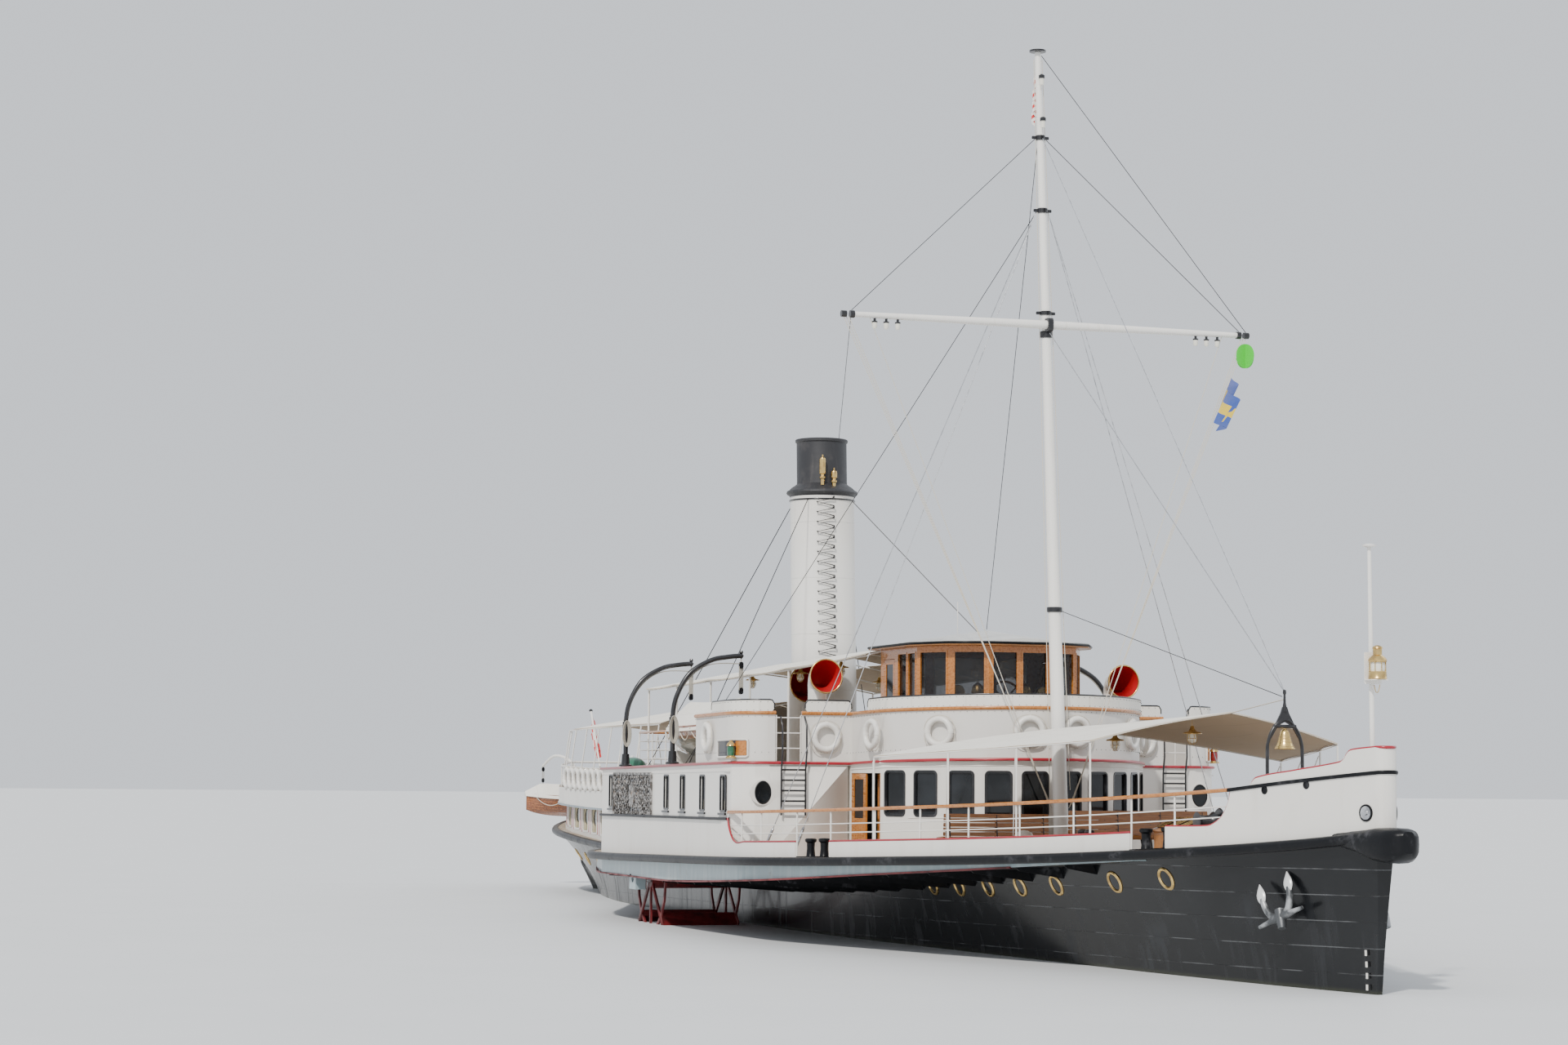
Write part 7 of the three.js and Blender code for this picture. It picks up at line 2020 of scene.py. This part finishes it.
mast_white = finish("mast_white", mast_shade, coat=0.3, bump=0.004)
mast_foot = deck_top(MAST["x"]) + 0.004
mast_loops = [mast_ring(mast_radius(z) + extra, z) for z, extra in
              ((mast_foot, 0.07), (mast_foot + 0.03, 0.07), (mast_foot + 0.04, 0.0), (7.0, 0), (10.5, 0),
               (13.9, 0), (17.0, 0), (20.33, 0))]
yard_x = mast_at(MAST["yard"])[0] + mast_radius(MAST["yard"]) + 0.07
yard_loops = []
for y in steps(-MAST["half"] + 0.25, MAST["half"] - 0.25, 16):
    thick = 0.10 - 0.04 * abs(y) / MAST["half"]
    yard_loops.append([(yard_x + thick * math.cos(a), y, MAST["yard"] + thick * math.sin(a))
                       for a in around(20)])
build("mast_and_yard", [loft(mast_loops), loft(yard_loops)], mast_white, "white_paint", replaces=["mast"])
mast_iron = []
for z, height in ((7.42, 0.12), (13.62, 0.16), (14.14, 0.10), (16.5, 0.12), (18.2, 0.12), (20.27, 0.06)):
    rim = 0.12 if z > 20 else 0.03
    mast_iron.append(loft([mast_ring(mast_radius(z) + e, z + u) for e, u in
                           ((0.004, 0), (rim, 0.01), (rim, height - 0.01), (0.004, height))]))
for z in (16.56, 18.26, 14.19):
    for angle in (0, math.pi / 2, math.pi, -math.pi / 2):
        lug = frame_at((mast_at(z)[0] + (mast_radius(z) + 0.07) * math.cos(angle),
                        (mast_radius(z) + 0.07) * math.sin(angle), z), (-math.sin(angle), math.cos(angle), 0))
        mast_iron.append(slab(lug, rounded(0.11, 0.07, 0.02, 3), -0.014, 0.014))
for sign in (-1, 1):
    for low, high, thick in ((4.62, 4.72, 0.085), (4.80, 4.92, 0.075)):
        cuff = [[(yard_x + thick * math.cos(a), sign * y, MAST["yard"] + thick * math.sin(a))
                 for a in around(16)] for y in (low, high)]
        mast_iron.append(loft(cuff))
    for y in YARD_LAMPS:
        axis = Matrix.Translation((yard_x, sign * y, MAST["yard"] - 0.07))
        mast_iron.append(lathe([(0, 0), (0.03, 0), (0.03, -0.05), (0.065, -0.06), (0.065, -0.09), (0, -0.09)],
                               axis, 14))
mast_iron.append(slab(frame_at((yard_x - 0.02, 0, MAST["yard"]), (0, 1, 0)), rounded(0.30, 0.30, 0.06),
                      -0.06, 0.06))
build("mast_bands", mast_iron, black_gloss, "black_iron")
signal_lamps = [lathe([(0, -0.30), (0.035, -0.295), (0.055, -0.26), (0.058, -0.16), (0, -0.16)],
                      Matrix.Translation((yard_x, sign * y, MAST["yard"])), 14) for sign in (-1, 1)
                for y in YARD_LAMPS]
signal_lamps += [lathe([(0, -0.16), (0.05, -0.15), (0.055, 0.0), (0, 0.0)],
                       Matrix.Translation(mast_at(z, 0, 0.19)), 14)
                 for z in (19.62, 18.62)]
build("yard_lamps", signal_lamps, pale_glass, "brass")
lamp_caps = [lathe([(0, 0), (0.07, 0), (0.07, 0.07), (0.03, 0.10), (0, 0.10)],
                   Matrix.Translation(mast_at(z, 0, 0.19)), 14)
             for z in (19.62, 18.62)]
build("mast_lamp_caps", lamp_caps, black_gloss, "black_iron")
signal_green = finish("signal_green", lambda value, place: {
    "Base Color": value.tint((0.06, 0.62, 0.04), place.noise(3.0) * 0.4, (0.04, 0.45, 0.03))}, 0.45)
ball = (yard_x, 4.84, 13.43)
discs = []
for angle in (0.35, 0.35 + math.pi / 2):
    flat = frame_at(ball, (math.cos(angle), math.sin(angle), 0))
    discs.append(slab(flat, rounded(0.56, 0.56, 0.278, 10), -0.006, 0.006))
build("signal_ball", discs, signal_green, "blue_grey_paint")


# Stays. Wire shrouds to each side of the deck, the forestay to the bell's arch, and the yard's lifts.
# Thin rope halyards run from the yard arms to the rails.
rods("forestay_wire", [[mast_at(18.25, 0, mast_radius(18.2) + 0.039), (24.28, 0, 5.427)],
                       [mast_at(13.72, 0, 0.2), (24.28, 0, 5.40)]], 0.010, steel,
     "galvanised_steel", replaces=["forestay"])
for side, name in SIDES:
    top = (mast_at(16.5)[0] - 0.02, side * (mast_radius(16.5) + 0.048), 16.55)
    feet = [(x, side * y, deck_top(x) + SEAT) for x, y in ((9.75, 5.75), (11.3, 5.5))]
    rods(f"shroud_wires_{name}", [[top, foot] for foot in feet], 0.010, steel, "galvanised_steel",
         replaces=[f"shrouds_{name}"])
    screws = []
    for foot in feet:
        along_wire = (Vector(top) - Vector(foot)).normalized()
        axis = Matrix.Translation(Vector(foot)) @ along_wire.to_track_quat("Z", "Y").to_matrix().to_4x4()
        screws.append(lathe([(0.012, 0.20), (0.03, 0.22), (0.034, 0.30), (0.034, 0.62), (0.03, 0.70),
                             (0.012, 0.72), (0.012, 0.20)], axis, 10))
    build(f"shroud_screws_{name}", screws, steel, "galvanised_steel")
wires = []
for side, _ in SIDES:
    wires.append([mast_at(18.22, side * 0.14), (yard_x, side * 4.68, MAST["yard"] + 0.09)])
wires.append([mast_at(16.52, -0.15), (2.9, -5.6, promenade(2.9) + 0.02)])
wires.append([mast_at(20.2, 0.09), (yard_x, 4.86, MAST["yard"] + 0.07)])
wires.append([mast_at(18.22, 0, -0.15), (8.9, 0, 7.22)])
wires.append([mast_at(7.47, 0, 0.19), (24.2, 0, 5.30)])
wires.append([(yard_x, -4.7, 13.80), funnel_at(0.72, 0.4, FUNNEL_TOP)])
rods("mast_wires", wires, 0.008, worn_black, "galvanised_steel", sides=6)
halyards = []
for side, _ in SIDES:
    for i, y in enumerate((4.86, 4.80, 4.74, 4.25)):
        halyards.append([(yard_x, side * y, MAST["yard"] - 0.06),
                         mast_at(3.1 + 0.04 * i, side * (0.20 + 0.03 * i))])
port_halyard = halyards[-4]
halyards.append([mast_at(20.1, 0.10), mast_at(3.5, 0.24)])
halyards.append([mast_at(20.1, -0.10), mast_at(3.5, -0.24)])
rods("halyards", halyards, 0.008, rope, "canvas", sides=5)


# Foredeck seats. Double benches of varnished slats on iron ends stand athwart the deck, back to back.
# Two shorter ones stand on either side of the mast.
def bench_forms(x, y0, y1):
    """Slats and iron ends of a double bench that stands across the deck from y0 to y1."""
    foot = deck_top(x) + SEAT
    slats, irons = [], []
    middle, long = (y0 + y1) / 2, y1 - y0
    for sign in (-1, 1):
        for i in range(5):
            up = 0.435 - 0.006 * i
            spot = frame_at((x + sign * (0.085 + 0.088 * i), middle, foot + up), (0, 0, 1), (1, 0, 0))
            slats.append(slab(spot, rounded(long, 0.070, 0.012, 2), -0.012, 0.012))
        for i in range(5):
            lean = 0.035 + 0.008 * i
            spot = frame_at((x + sign * (0.075 - lean * 0.8), middle, foot + 0.50 + 0.098 * i),
                            (sign, 0, 0.12))
            slats.append(slab(spot, rounded(long, 0.082, 0.014, 2), -0.010, 0.010))
    count = max(2, round(long / 1.1) + 1)
    for y in steps(y0 + 0.12, y1 - 0.12, count - 1):
        for sign in (-1, 1):
            irons.append([(x + sign * 0.42, y, foot), (x + sign * 0.40, y, foot + 0.22),
                          (x + sign * 0.46, y, foot + 0.38), (x + sign * 0.44, y, foot + 0.415),
                          (x + sign * 0.10, y, foot + 0.42), (x + sign * 0.045, y, foot + 0.55),
                          (x + sign * 0.018, y, foot + 0.91)])
            irons.append([(x + sign * 0.06, y, foot + 0.42), (x + sign * 0.14, y, foot + 0.2),
                          (x + sign * 0.10, y, foot)])
    return slats, irons


def bench_wood_shade(value, place):
    grain = (place * (9.0, 1.2, 9.0)).noise(3.0, 5).soft(0.3, 0.7)
    board = (place * (11.0, 0.2, 10.0)).noise(1.0, 1)
    wood = value.tint((0.40, 0.15, 0.03), grain, (0.56, 0.235, 0.055))
    return {"Base Color": value.tint(wood, board * 0.3, (0.28, 0.09, 0.02)), "Roughness": 0.28,
            "Height": grain}


bench_wood = finish("bench_varnish", bench_wood_shade, coat=0.5, bump=0.001)
slats, irons = bench_forms(17.6, -1.55, 1.55)
build("foredeck_bench_slats", slats, bench_wood, "varnished_wood", replaces=["foredeck_bench"])
rods("foredeck_bench_irons", [spline(p, 4) for p in irons], 0.017, black_gloss, "black_iron", sides=6)
slats, irons = [], []
for y0, y1 in ((-3.0, -0.6), (0.6, 3.0)):
    more_slats, more_irons = bench_forms(14.15, y0, y1)
    slats += more_slats
    irons += more_irons
build("mast_bench_slats", slats, bench_wood, "varnished_wood")
rods("mast_bench_irons", [spline(p, 4) for p in irons], 0.017, black_gloss, "black_iron", sides=6)


# Windlass and deck gear. A black iron anchor windlass with gypsies and warping drums stands abaft the bow.
# Twin bitts, mushroom vents and a teak skylight stand round it, and a plate foot holds the mast.
def drum(x, y0, y1, z, profile):
    axis = Matrix.Translation((x, y0, z)) @ Matrix.Rotation(-math.pi / 2, 4, "X")
    return lathe([(r, (y1 - y0) * t) for r, t in profile], axis, 24)


windlass_x = 22.6
windlass_foot = deck_top(windlass_x) + SEAT
windlass = []
for sign in (-1, 1):
    for y in (0.22, 0.62):
        cheek = frame_at((windlass_x, sign * y, windlass_foot + 0.36), (0, 1, 0), (0, 0, 1))
        windlass.append(slab(cheek, [(-0.42, -0.36), (0.42, -0.36), (0.30, -0.1), (0.16, 0.22), (0.06, 0.34),
                                     (-0.06, 0.34), (-0.16, 0.22), (-0.30, -0.1)], -0.03, 0.03))
    gypsy = [(0.10, 0.0), (0.24, 0.03), (0.26, 0.12), (0.16, 0.3), (0.15, 0.5), (0.16, 0.7), (0.26, 0.88),
             (0.24, 0.97), (0.10, 1.0)]
    y0, y1 = sorted((sign * 0.27, sign * 0.57))
    windlass.append(drum(windlass_x, y0, y1, windlass_foot + 0.56, [(0, 0), *gypsy, (0, 1)]))
    warping = [(0.09, 0.0), (0.18, 0.02), (0.13, 0.2), (0.11, 0.5), (0.13, 0.8), (0.19, 0.97), (0.17, 1.0)]
    y0, y1 = sorted((sign * 0.66, sign * 1.02))
    windlass.append(drum(windlass_x, y0, y1, windlass_foot + 0.56, [(0, 0), *warping, (0, 1)]))
windlass.append(drum(windlass_x, -0.24, 0.24, windlass_foot + 0.56,
                     [(0, 0), (0.07, 0), (0.07, 0.2), (0.25, 0.22), (0.26, 0.3), (0.26, 0.7),
                      (0.25, 0.78), (0.07, 0.8), (0.07, 1), (0, 1)]))
bed = frame_at((windlass_x, 0, windlass_foot), (0, 0, 1), (1, 0, 0))
windlass.append(slab(bed, rounded(1.5, 1.0, 0.05, 3), 0.0, 0.05))
for side, _ in SIDES:
    for x, y in ((23.9, 1.15), (20.9, 2.6), (25.2, 0.95)):
        foot = deck_top(x) + SEAT
        half = deck_half(x) - 0.32
        for dx in (-0.17, 0.17):
            axis = Matrix.Translation((x + dx, side * min(y, half), foot))
            windlass.append(lathe([(0, 0), (0.10, 0.0), (0.10, 0.03), (0.085, 0.05), (0.078, 0.36),
                                   (0.10, 0.39), (0.10, 0.43), (0.06, 0.46), (0, 0.465)], axis, 18))
        base = frame_at((x, side * min(y, half), foot), (0, 0, 1), (1, 0, 0))
        windlass.append(slab(base, rounded(0.24, 0.58, 0.05, 3), 0.0, 0.02))
build("windlass_and_bitts", windlass, black_gloss, "black_iron")
vents = []
for x, y in ((19.6, 0.0), (23.35, 0.0), (16.0, 1.9), (16.0, -1.9), (-20.0, 0.0)):
    top = aft_deck(x) if x < 0 else deck_top(x)
    axis = Matrix.Translation((x, y, top + 0.006))
    vents.append(lathe([(0, 0), (0.13, 0), (0.13, 0.03), (0.09, 0.05), (0.09, 0.38), (0.2, 0.39),
                        (0.21, 0.42), (0.17, 0.50), (0.08, 0.55), (0, 0.56)], axis, 24))
build("mushroom_vents", vents, white_paint, "white_paint")
skylight_x = 20.35
skylight_foot = deck_top(skylight_x) + SEAT
hatch = [[(skylight_x + dx, y, skylight_foot + up) for y, up in
          ((-0.55, 0), (-0.55, 0.42), (-0.60, 0.44), (-0.60, 0.48), (0, 0.72), (0.60, 0.48), (0.60, 0.44),
           (0.55, 0.42), (0.55, 0))]
         for dx in (-0.75, 0.75)]
build("foredeck_skylight", [loft(hatch)], bench_wood, "varnished_wood")
skylight_panes, guards = [], []
for side, _ in SIDES:
    for dx in (-0.49, 0, 0.49):
        spot = frame_at((skylight_x + dx, side * 0.31, skylight_foot + 0.597), (0, side * 0.24, 0.60))
        skylight_panes.append(slab(spot, rounded(0.38, 0.44, 0.02, 2), 0.0, 0.012))
        guards += [[tuple(spot @ Vector((u, v, 0.035))) for v in (-0.24, 0.24)] for u in (-0.12, 0, 0.12)]
        guards += [[tuple(spot @ Vector((u, v, 0.028))) for u in (-0.21, 0.21)] for v in (-0.235, 0.235)]
build("foredeck_skylight_panes", skylight_panes, dark_glass, "black_iron")
rods("foredeck_skylight_guards", guards, 0.009, brass, "brass", sides=6)
mast_plate = [lathe([(0, 0), (0.34, 0), (0.34, 0.02), (0.21, 0.03), (0.20, 0.16), (0.178, 0.18), (0, 0.18)],
                    Matrix.Translation(mast_at(mast_foot)), 28)]
build("mast_foot_plate", mast_plate, white_paint, "white_paint")


# Bell and its arch. The arch is a black iron hoop with pointed gable plates and a tall finial.
# The bell is polished bronze and hangs from a crossbar by its crown.
BELL_X, BELL_HINGE = 24.3, 4.72
bell_foot = deck_top(BELL_X)
arch = [(BELL_X, y, bell_foot + up) for y, up in
        ((-0.36, 0.02), (-0.36, 1.0), (-0.36, 1.75), (-0.34, 1.95), (-0.27, 2.15), (-0.14, 2.32), (0, 2.38),
         (0.14, 2.32), (0.27, 2.15), (0.34, 1.95), (0.36, 1.75), (0.36, 1.0), (0.36, 0.02))]
rods("bell_arch_hoop", [spline(arch, 4), [(BELL_X, -0.23, BELL_HINGE + 0.02),
                                          (BELL_X, 0.23, BELL_HINGE + 0.02)]],
     0.034, black_gloss, "black_iron", replaces=["bell_frame"], sides=14)
gable = [(-0.33, 1.98), (-0.24, 2.20), (-0.15, 2.38), (-0.085, 2.50), (-0.045, 2.62), (0.045, 2.62),
         (0.085, 2.50), (0.15, 2.38), (0.24, 2.20), (0.33, 1.98), (0.28, 2.04), (0.14, 2.27), (0, 2.34),
         (-0.14, 2.27), (-0.28, 2.04)]
gable_plane = frame_at((BELL_X, 0, bell_foot), (1, 0, 0))
finial = lathe([(0, 2.52), (0.045, 2.53), (0.04, 2.62), (0.026, 2.70), (0.022, 5.33 - bell_foot),
                (0.035, 5.36 - bell_foot), (0.03, 5.42 - bell_foot), (0, 5.425 - bell_foot)],
                Matrix.Translation((BELL_X, 0, bell_foot)), 14)
feet = [slab(frame_at((BELL_X, side * 0.36, bell_foot + 0.008), (0, 0, 1), (1, 0, 0)),
             rounded(0.18, 0.26, 0.04, 3), 0, 0.04)
        for side, _ in SIDES]
build("bell_arch_gable", [slab(gable_plane, gable, -0.02, 0.02), finial, *feet], black_gloss, "black_iron")
bell_axis = Matrix.Translation((BELL_X, 0, BELL_HINGE))
bell_wall = [(0, -0.032), (0.02, -0.032), (0.045, -0.040), (0.07, -0.062), (0.088, -0.10), (0.10, -0.15),
             (0.118, -0.22), (0.135, -0.28), (0.158, -0.335), (0.19, -0.385), (0.20, -0.40), (0.192, -0.407),
             (0.183, -0.405), (0.15, -0.35), (0.125, -0.29), (0.105, -0.22), (0.088, -0.15), (0.072, -0.11),
             (0.04, -0.095), (0, -0.09)]
bands = [lathe([(r - 0.004, z - 0.006), (r + 0.004, z - 0.006), (r + 0.004, z + 0.006),
                (r - 0.004, z + 0.006), (r - 0.004, z - 0.006)], bell_axis, 40)
                for r, z in ((0.117, -0.21), (0.134, -0.27), (0.174, -0.358))]
clapper = lathe([(0, -0.085), (0.012, -0.085), (0.012, -0.33), (0.035, -0.345), (0.045, -0.375),
                 (0.03, -0.41), (0, -0.42)],
                bell_axis, 14)
crown_bar = [slab(frame_at((BELL_X, 0, BELL_HINGE - 0.035), (0, 1, 0)), rounded(0.07, 0.035, 0.012, 3),
                  -0.02, 0.02)]
build("bell_bronze", [lathe(bell_wall, bell_axis, 40), *bands, clapper, *crown_bar], brass, "brass", "bell",
      ["bell"])


# Jackstaff. A white pole at the stem with a mushroom truck, and a brass masthead lantern on a bracket.
jack_x, jack_top = 27.75, 7.86
jack_foot = deck_top(jack_x) + SEAT


def jack_at(z, out=0.0):
    return (jack_x - 0.1 * (z - jack_foot) / (jack_top - jack_foot) + out, 0, z)


pole = [[(jack_at(z)[0] + r * math.cos(a), r * math.sin(a), z) for a in around(18)]
        for z, r in ((jack_foot, 0.05), (jack_foot + 2.4, 0.046), (jack_top, 0.035))]
build("jackstaff_pole", [loft(pole)], mast_white, "white_paint", replaces=["jackstaff"])
truck = lathe([(0, 0.0), (0.03, 0.0), (0.12, 0.03), (0.125, 0.05), (0.06, 0.075), (0, 0.08)],
              Matrix.Translation(jack_at(jack_top)), 20)
board = slab(frame_at(jack_at(5.72, 0.055), (1, 0, 0)), rounded(0.34, 0.56, 0.02, 2), 0, 0.012)
shelf = slab(frame_at(jack_at(5.50, 0.19), (0, 0, 1), (1, 0, 0)), rounded(0.34, 0.34, 0.04, 3), 0, 0.015)
build("jackstaff_truck", [truck, board, shelf], mast_white, "white_paint")
lamp_axis = (Matrix.Translation((jack_x + 0.18, 0, 5.52)) @ Matrix.Diagonal((1.3, 1.3, 0.84, 1))
             @ Matrix.Translation((0, 0, -5.45)))
lamp_body = [lathe([(0, 5.45), (0.125, 5.45), (0.13, 5.465), (0.125, 5.48), (0.12, 5.60), (0.125, 5.61),
                    (0.10, 5.615), (0, 5.615)],
                   lamp_axis, 28),
             lathe([(0, 5.80), (0.10, 5.80), (0.125, 5.81), (0.125, 5.84), (0.13, 5.85), (0.11, 5.90),
                    (0.07, 5.95), (0.062, 5.96), (0.062, 6.08), (0.072, 6.09), (0.065, 6.13), (0.03, 6.16),
                    (0, 6.165)], lamp_axis, 28)]
bars = [[tuple(lamp_axis @ Vector((0.115 * math.cos(a), 0.115 * math.sin(a), z))) for z in (5.60, 5.82)]
        for a in around(8)]
build("jackstaff_lamp", lamp_body, brass, "brass")
build("jackstaff_lamp_glass", [lathe([(0, 5.61), (0.095, 5.61), (0.105, 5.71), (0.095, 5.80), (0, 5.80)],
                                     lamp_axis, 24)],
      pale_glass, "brass")
rods("jackstaff_lamp_bars", [*bars, spline([(jack_x + 0.05, 0, 5.42), (jack_x + 0.11, 0, 5.30),
                                            (jack_x + 0.2, 0, 5.30), (jack_x + 0.26, 0, 5.42)], 4)], 0.008,
                                            brass, "brass", sides=8)


# Anchors. Galvanised stockless anchors housed high on the bows, crown out and flukes up.
# The palms are worn bright.
def anchor_shade(value, place):
    worn = place.noise(3.0).soft(0.45, 0.62)
    return {"Base Color": value.tint((0.10, 0.105, 0.11), worn, (0.42, 0.43, 0.44)),
            "Roughness": 0.42, "Height": place.noise(9.0)}


anchor_steel = finish("anchor_steel", anchor_shade, metallic=0.6, bump=0.004)
palm_white = finish("anchor_palms", lambda value, place: {
    "Base Color": value.tint((0.82, 0.82, 0.80), place.noise(4.0) * 0.5, (0.50, 0.51, 0.52)),
    "Height": place.noise(8.0)}, 0.35, metallic=0.3)
ANCHOR = {"x": 26.15, "z": 1.28, "tilt": 0.47}


def laid(u, y, v):
    tilt = ANCHOR["tilt"]
    return Vector((u * math.cos(tilt) - v * math.sin(tilt), y, u * math.sin(tilt) + v * math.cos(tilt)))


def tapered(points, radii, flat=1.0, count=10):
    """A body round a curved line: its radius changes along it and its thickness across Y is flat times it."""
    path = spline(points, 5)
    thick = spline([(r, 0, 0) for r in radii], 5)
    loops = []
    for i, point in enumerate(path):
        ahead = Vector(path[min(i + 1, len(path) - 1)]) - Vector(path[max(i - 1, 0)])
        ahead.normalize()
        across = ahead.cross(Vector((0, 1, 0))).normalized()
        over = across.cross(ahead)
        loops.append([tuple(Vector(point) + thick[i][0] * (across * math.cos(a) + over * math.sin(a) * flat))
                      for a in around(count)])
    return loft(loops)


for side, name in SIDES:
    low, high = (Vector(corner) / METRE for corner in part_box(f"anchor_{name}"))
    shapes = [tapered([laid(0, 0, -0.22), laid(0, 0, -0.05), laid(0, 0, 0.14)], [0.075, 0.095, 0.10])]
    shapes.append(tapered([laid(-0.53, 0, -0.01), laid(-0.3, 0, 0.0), laid(0, 0, 0.0), laid(0.3, 0, 0.0),
                           laid(0.53, 0, -0.01)], [0.035, 0.05, 0.085, 0.05, 0.035]))
    palms = []
    for end in (-1, 1):
        arm = [laid(end * 0.06, 0, 0.02), laid(end * 0.20, 0, 0.08), laid(end * 0.30, side * 0.03, 0.28),
               laid(end * 0.33, side * 0.045, 0.50), laid(end * 0.34, side * 0.05, 0.72)]
        shapes.append(tapered(arm, [0.075, 0.07, 0.062, 0.055, 0.02]))
        palm = [laid(end * 0.315, side * 0.05, 0.34), laid(end * 0.33, side * 0.06, 0.46),
                laid(end * 0.335, side * 0.065, 0.58), laid(end * 0.34, side * 0.06, 0.75)]
        palms.append(tapered(palm, [0.03, 0.095, 0.09, 0.008], 0.42, 12))
    turn = Matrix.Rotation(side * 0.24, 4, "X") @ Matrix.Rotation(side * -0.32, 4, "Z")
    turned_shapes = [([tuple(turn @ Vector(p)) for p in points], faces) for points, faces in shapes + palms]
    reach = max(side * p[1] for points, _ in turned_shapes for p in points)
    outer = max(side * low.y, side * high.y)
    shift = Vector((ANCHOR["x"], side * (outer - reach), ANCHOR["z"]))
    placed = [([tuple(Vector(p) + shift) for p in points], faces) for points, faces in turned_shapes]
    build(f"anchor_{name}_steel", placed[:len(shapes)], anchor_steel, "galvanised_steel",
          replaces=[f"anchor_{name}"], extra=[(placed[len(shapes):], palm_white)])


# Flags. A plain red, white and red ensign hangs limp from its staff at the stern.
# A long white and red pennant hangs along the masthead, and a small striped flag on a port halyard.
def stripes_shade(colours):
    """Plain bands of these colours, told apart by an attribute that runs along the hoist."""
    def shade(value, place):
        drop = value.node("ShaderNodeAttribute", {"attribute_name": "drop"}, None, 2)
        colour = colours[0]
        for i, tone in enumerate(colours[1:], 1):
            colour = value.tint(colour, drop.soft(i / len(colours) - 0.004, i / len(colours) + 0.004), tone)
        # Random darker patches are painted shade for the hanging cloth's folds.
        fold = place.noise(2.0).soft(0.4, 0.7) * 0.25
        return {"Base Color": value.tint(colour, fold, (0.25, 0.22, 0.22)), "Roughness": 0.75,
                "Height": place.noise(60.0, 2)}
    return shade


def limp_flag(name, hoist_top, hoist_foot, fly, colours, folds, depth, drop, towards=1):
    """A flag that hangs from its hoist in folds, its bands one under another."""
    head, foot = Vector(hoist_top), Vector(hoist_foot)
    rows = []
    for u in steps(0, 1, 48):
        opened = min(1.0, 5 * u)
        row = []
        for v in steps(0, 1, 16):
            fold = depth * opened * math.sin(math.tau * folds * u + 0.9 * v)
            out = towards * fly * 0.20 * u + 0.3 * depth * opened * math.sin(math.pi * folds * u)
            fall = fly * drop * u ** 0.8 - 0.2 * (head - foot).length * u * v
            row.append(tuple(head.lerp(foot, v) + Vector((out, fold, -fall))))
        rows.append(row)
    material = finish(f"{name}_cloth", stripes_shade(colours), bump=0.001)
    piece = cloth(name, rows, 0.004, material, "canvas", [])
    mesh = piece.data
    drop = mesh.attributes.new("drop", "FLOAT", "POINT")
    made = [Vector(p) * METRE for row in rows for p in row]
    tree = KDTree(len(made))
    for i, point in enumerate(made):
        tree.insert(point, i)
    tree.balance()
    for vertex in mesh.vertices:
        drop.data[vertex.index].value = (tree.find(vertex.co)[1] % 17) / 16


RED_CLOTH, WHITE_CLOTH = (0.62, 0.03, 0.03), (0.82, 0.80, 0.77)
BLUE_CLOTH, YELLOW_CLOTH = (0.05, 0.10, 0.38), (0.75, 0.55, 0.05)
limp_flag("ensign", (-29.05, 0.05, 5.80), (-28.40, 0.05, 4.92), 1.25,
          (RED_CLOTH, WHITE_CLOTH, RED_CLOTH), 2.5, 0.10, 0.62)
limp_flag("masthead_pennant", mast_at(20.0, 0.0, -0.13), mast_at(19.68, 0.0, -0.14), 1.6,
          (WHITE_CLOTH, RED_CLOTH, WHITE_CLOTH), 4.0, 0.055, 0.72, -0.4)
hoist = [Vector(port_halyard[0]).lerp(Vector(port_halyard[1]), share) for share in (0.085, 0.165)]
limp_flag("signal_flag", hoist[0], hoist[1], 1.00,
          (BLUE_CLOTH, YELLOW_CLOTH, BLUE_CLOTH), 1.5, 0.16, 0.62)


# Underwater gear. The paddle wheels are red-leaded iron with flat floats, on one steel shaft.
# The rudder is a plated blade on a round stock, and the engine and boiler are plain masses in the hull.
for side, name in SIDES:
    refined(f"paddle_wheel_{name}", red_lead, "red_paint", "wheels", angle=28)
refined("paddle_shaft", steel, "galvanised_steel", "wheels", angle=30)
refined("rudder", red_lead, "red_paint", "rudder", angle=30)


def engine_shade(value, place):
    return {"Base Color": value.tint((0.10, 0.13, 0.12), place.noise(2.5), (0.16, 0.19, 0.17)),
            "Height": place.noise(12.0), "Roughness": 0.4}


engine_paint = finish("engine_enamel", engine_shade, coat=0.3)
for node in ("engine_block", "boiler_block"):
    dress(node, engine_paint)


# The frame's box, kept from before any piece was added, and the dressed ship's own box.
low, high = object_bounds()
{"cad_low": list(cad_low), "cad_high": list(cad_high), "low": list(low), "high": list(high)}
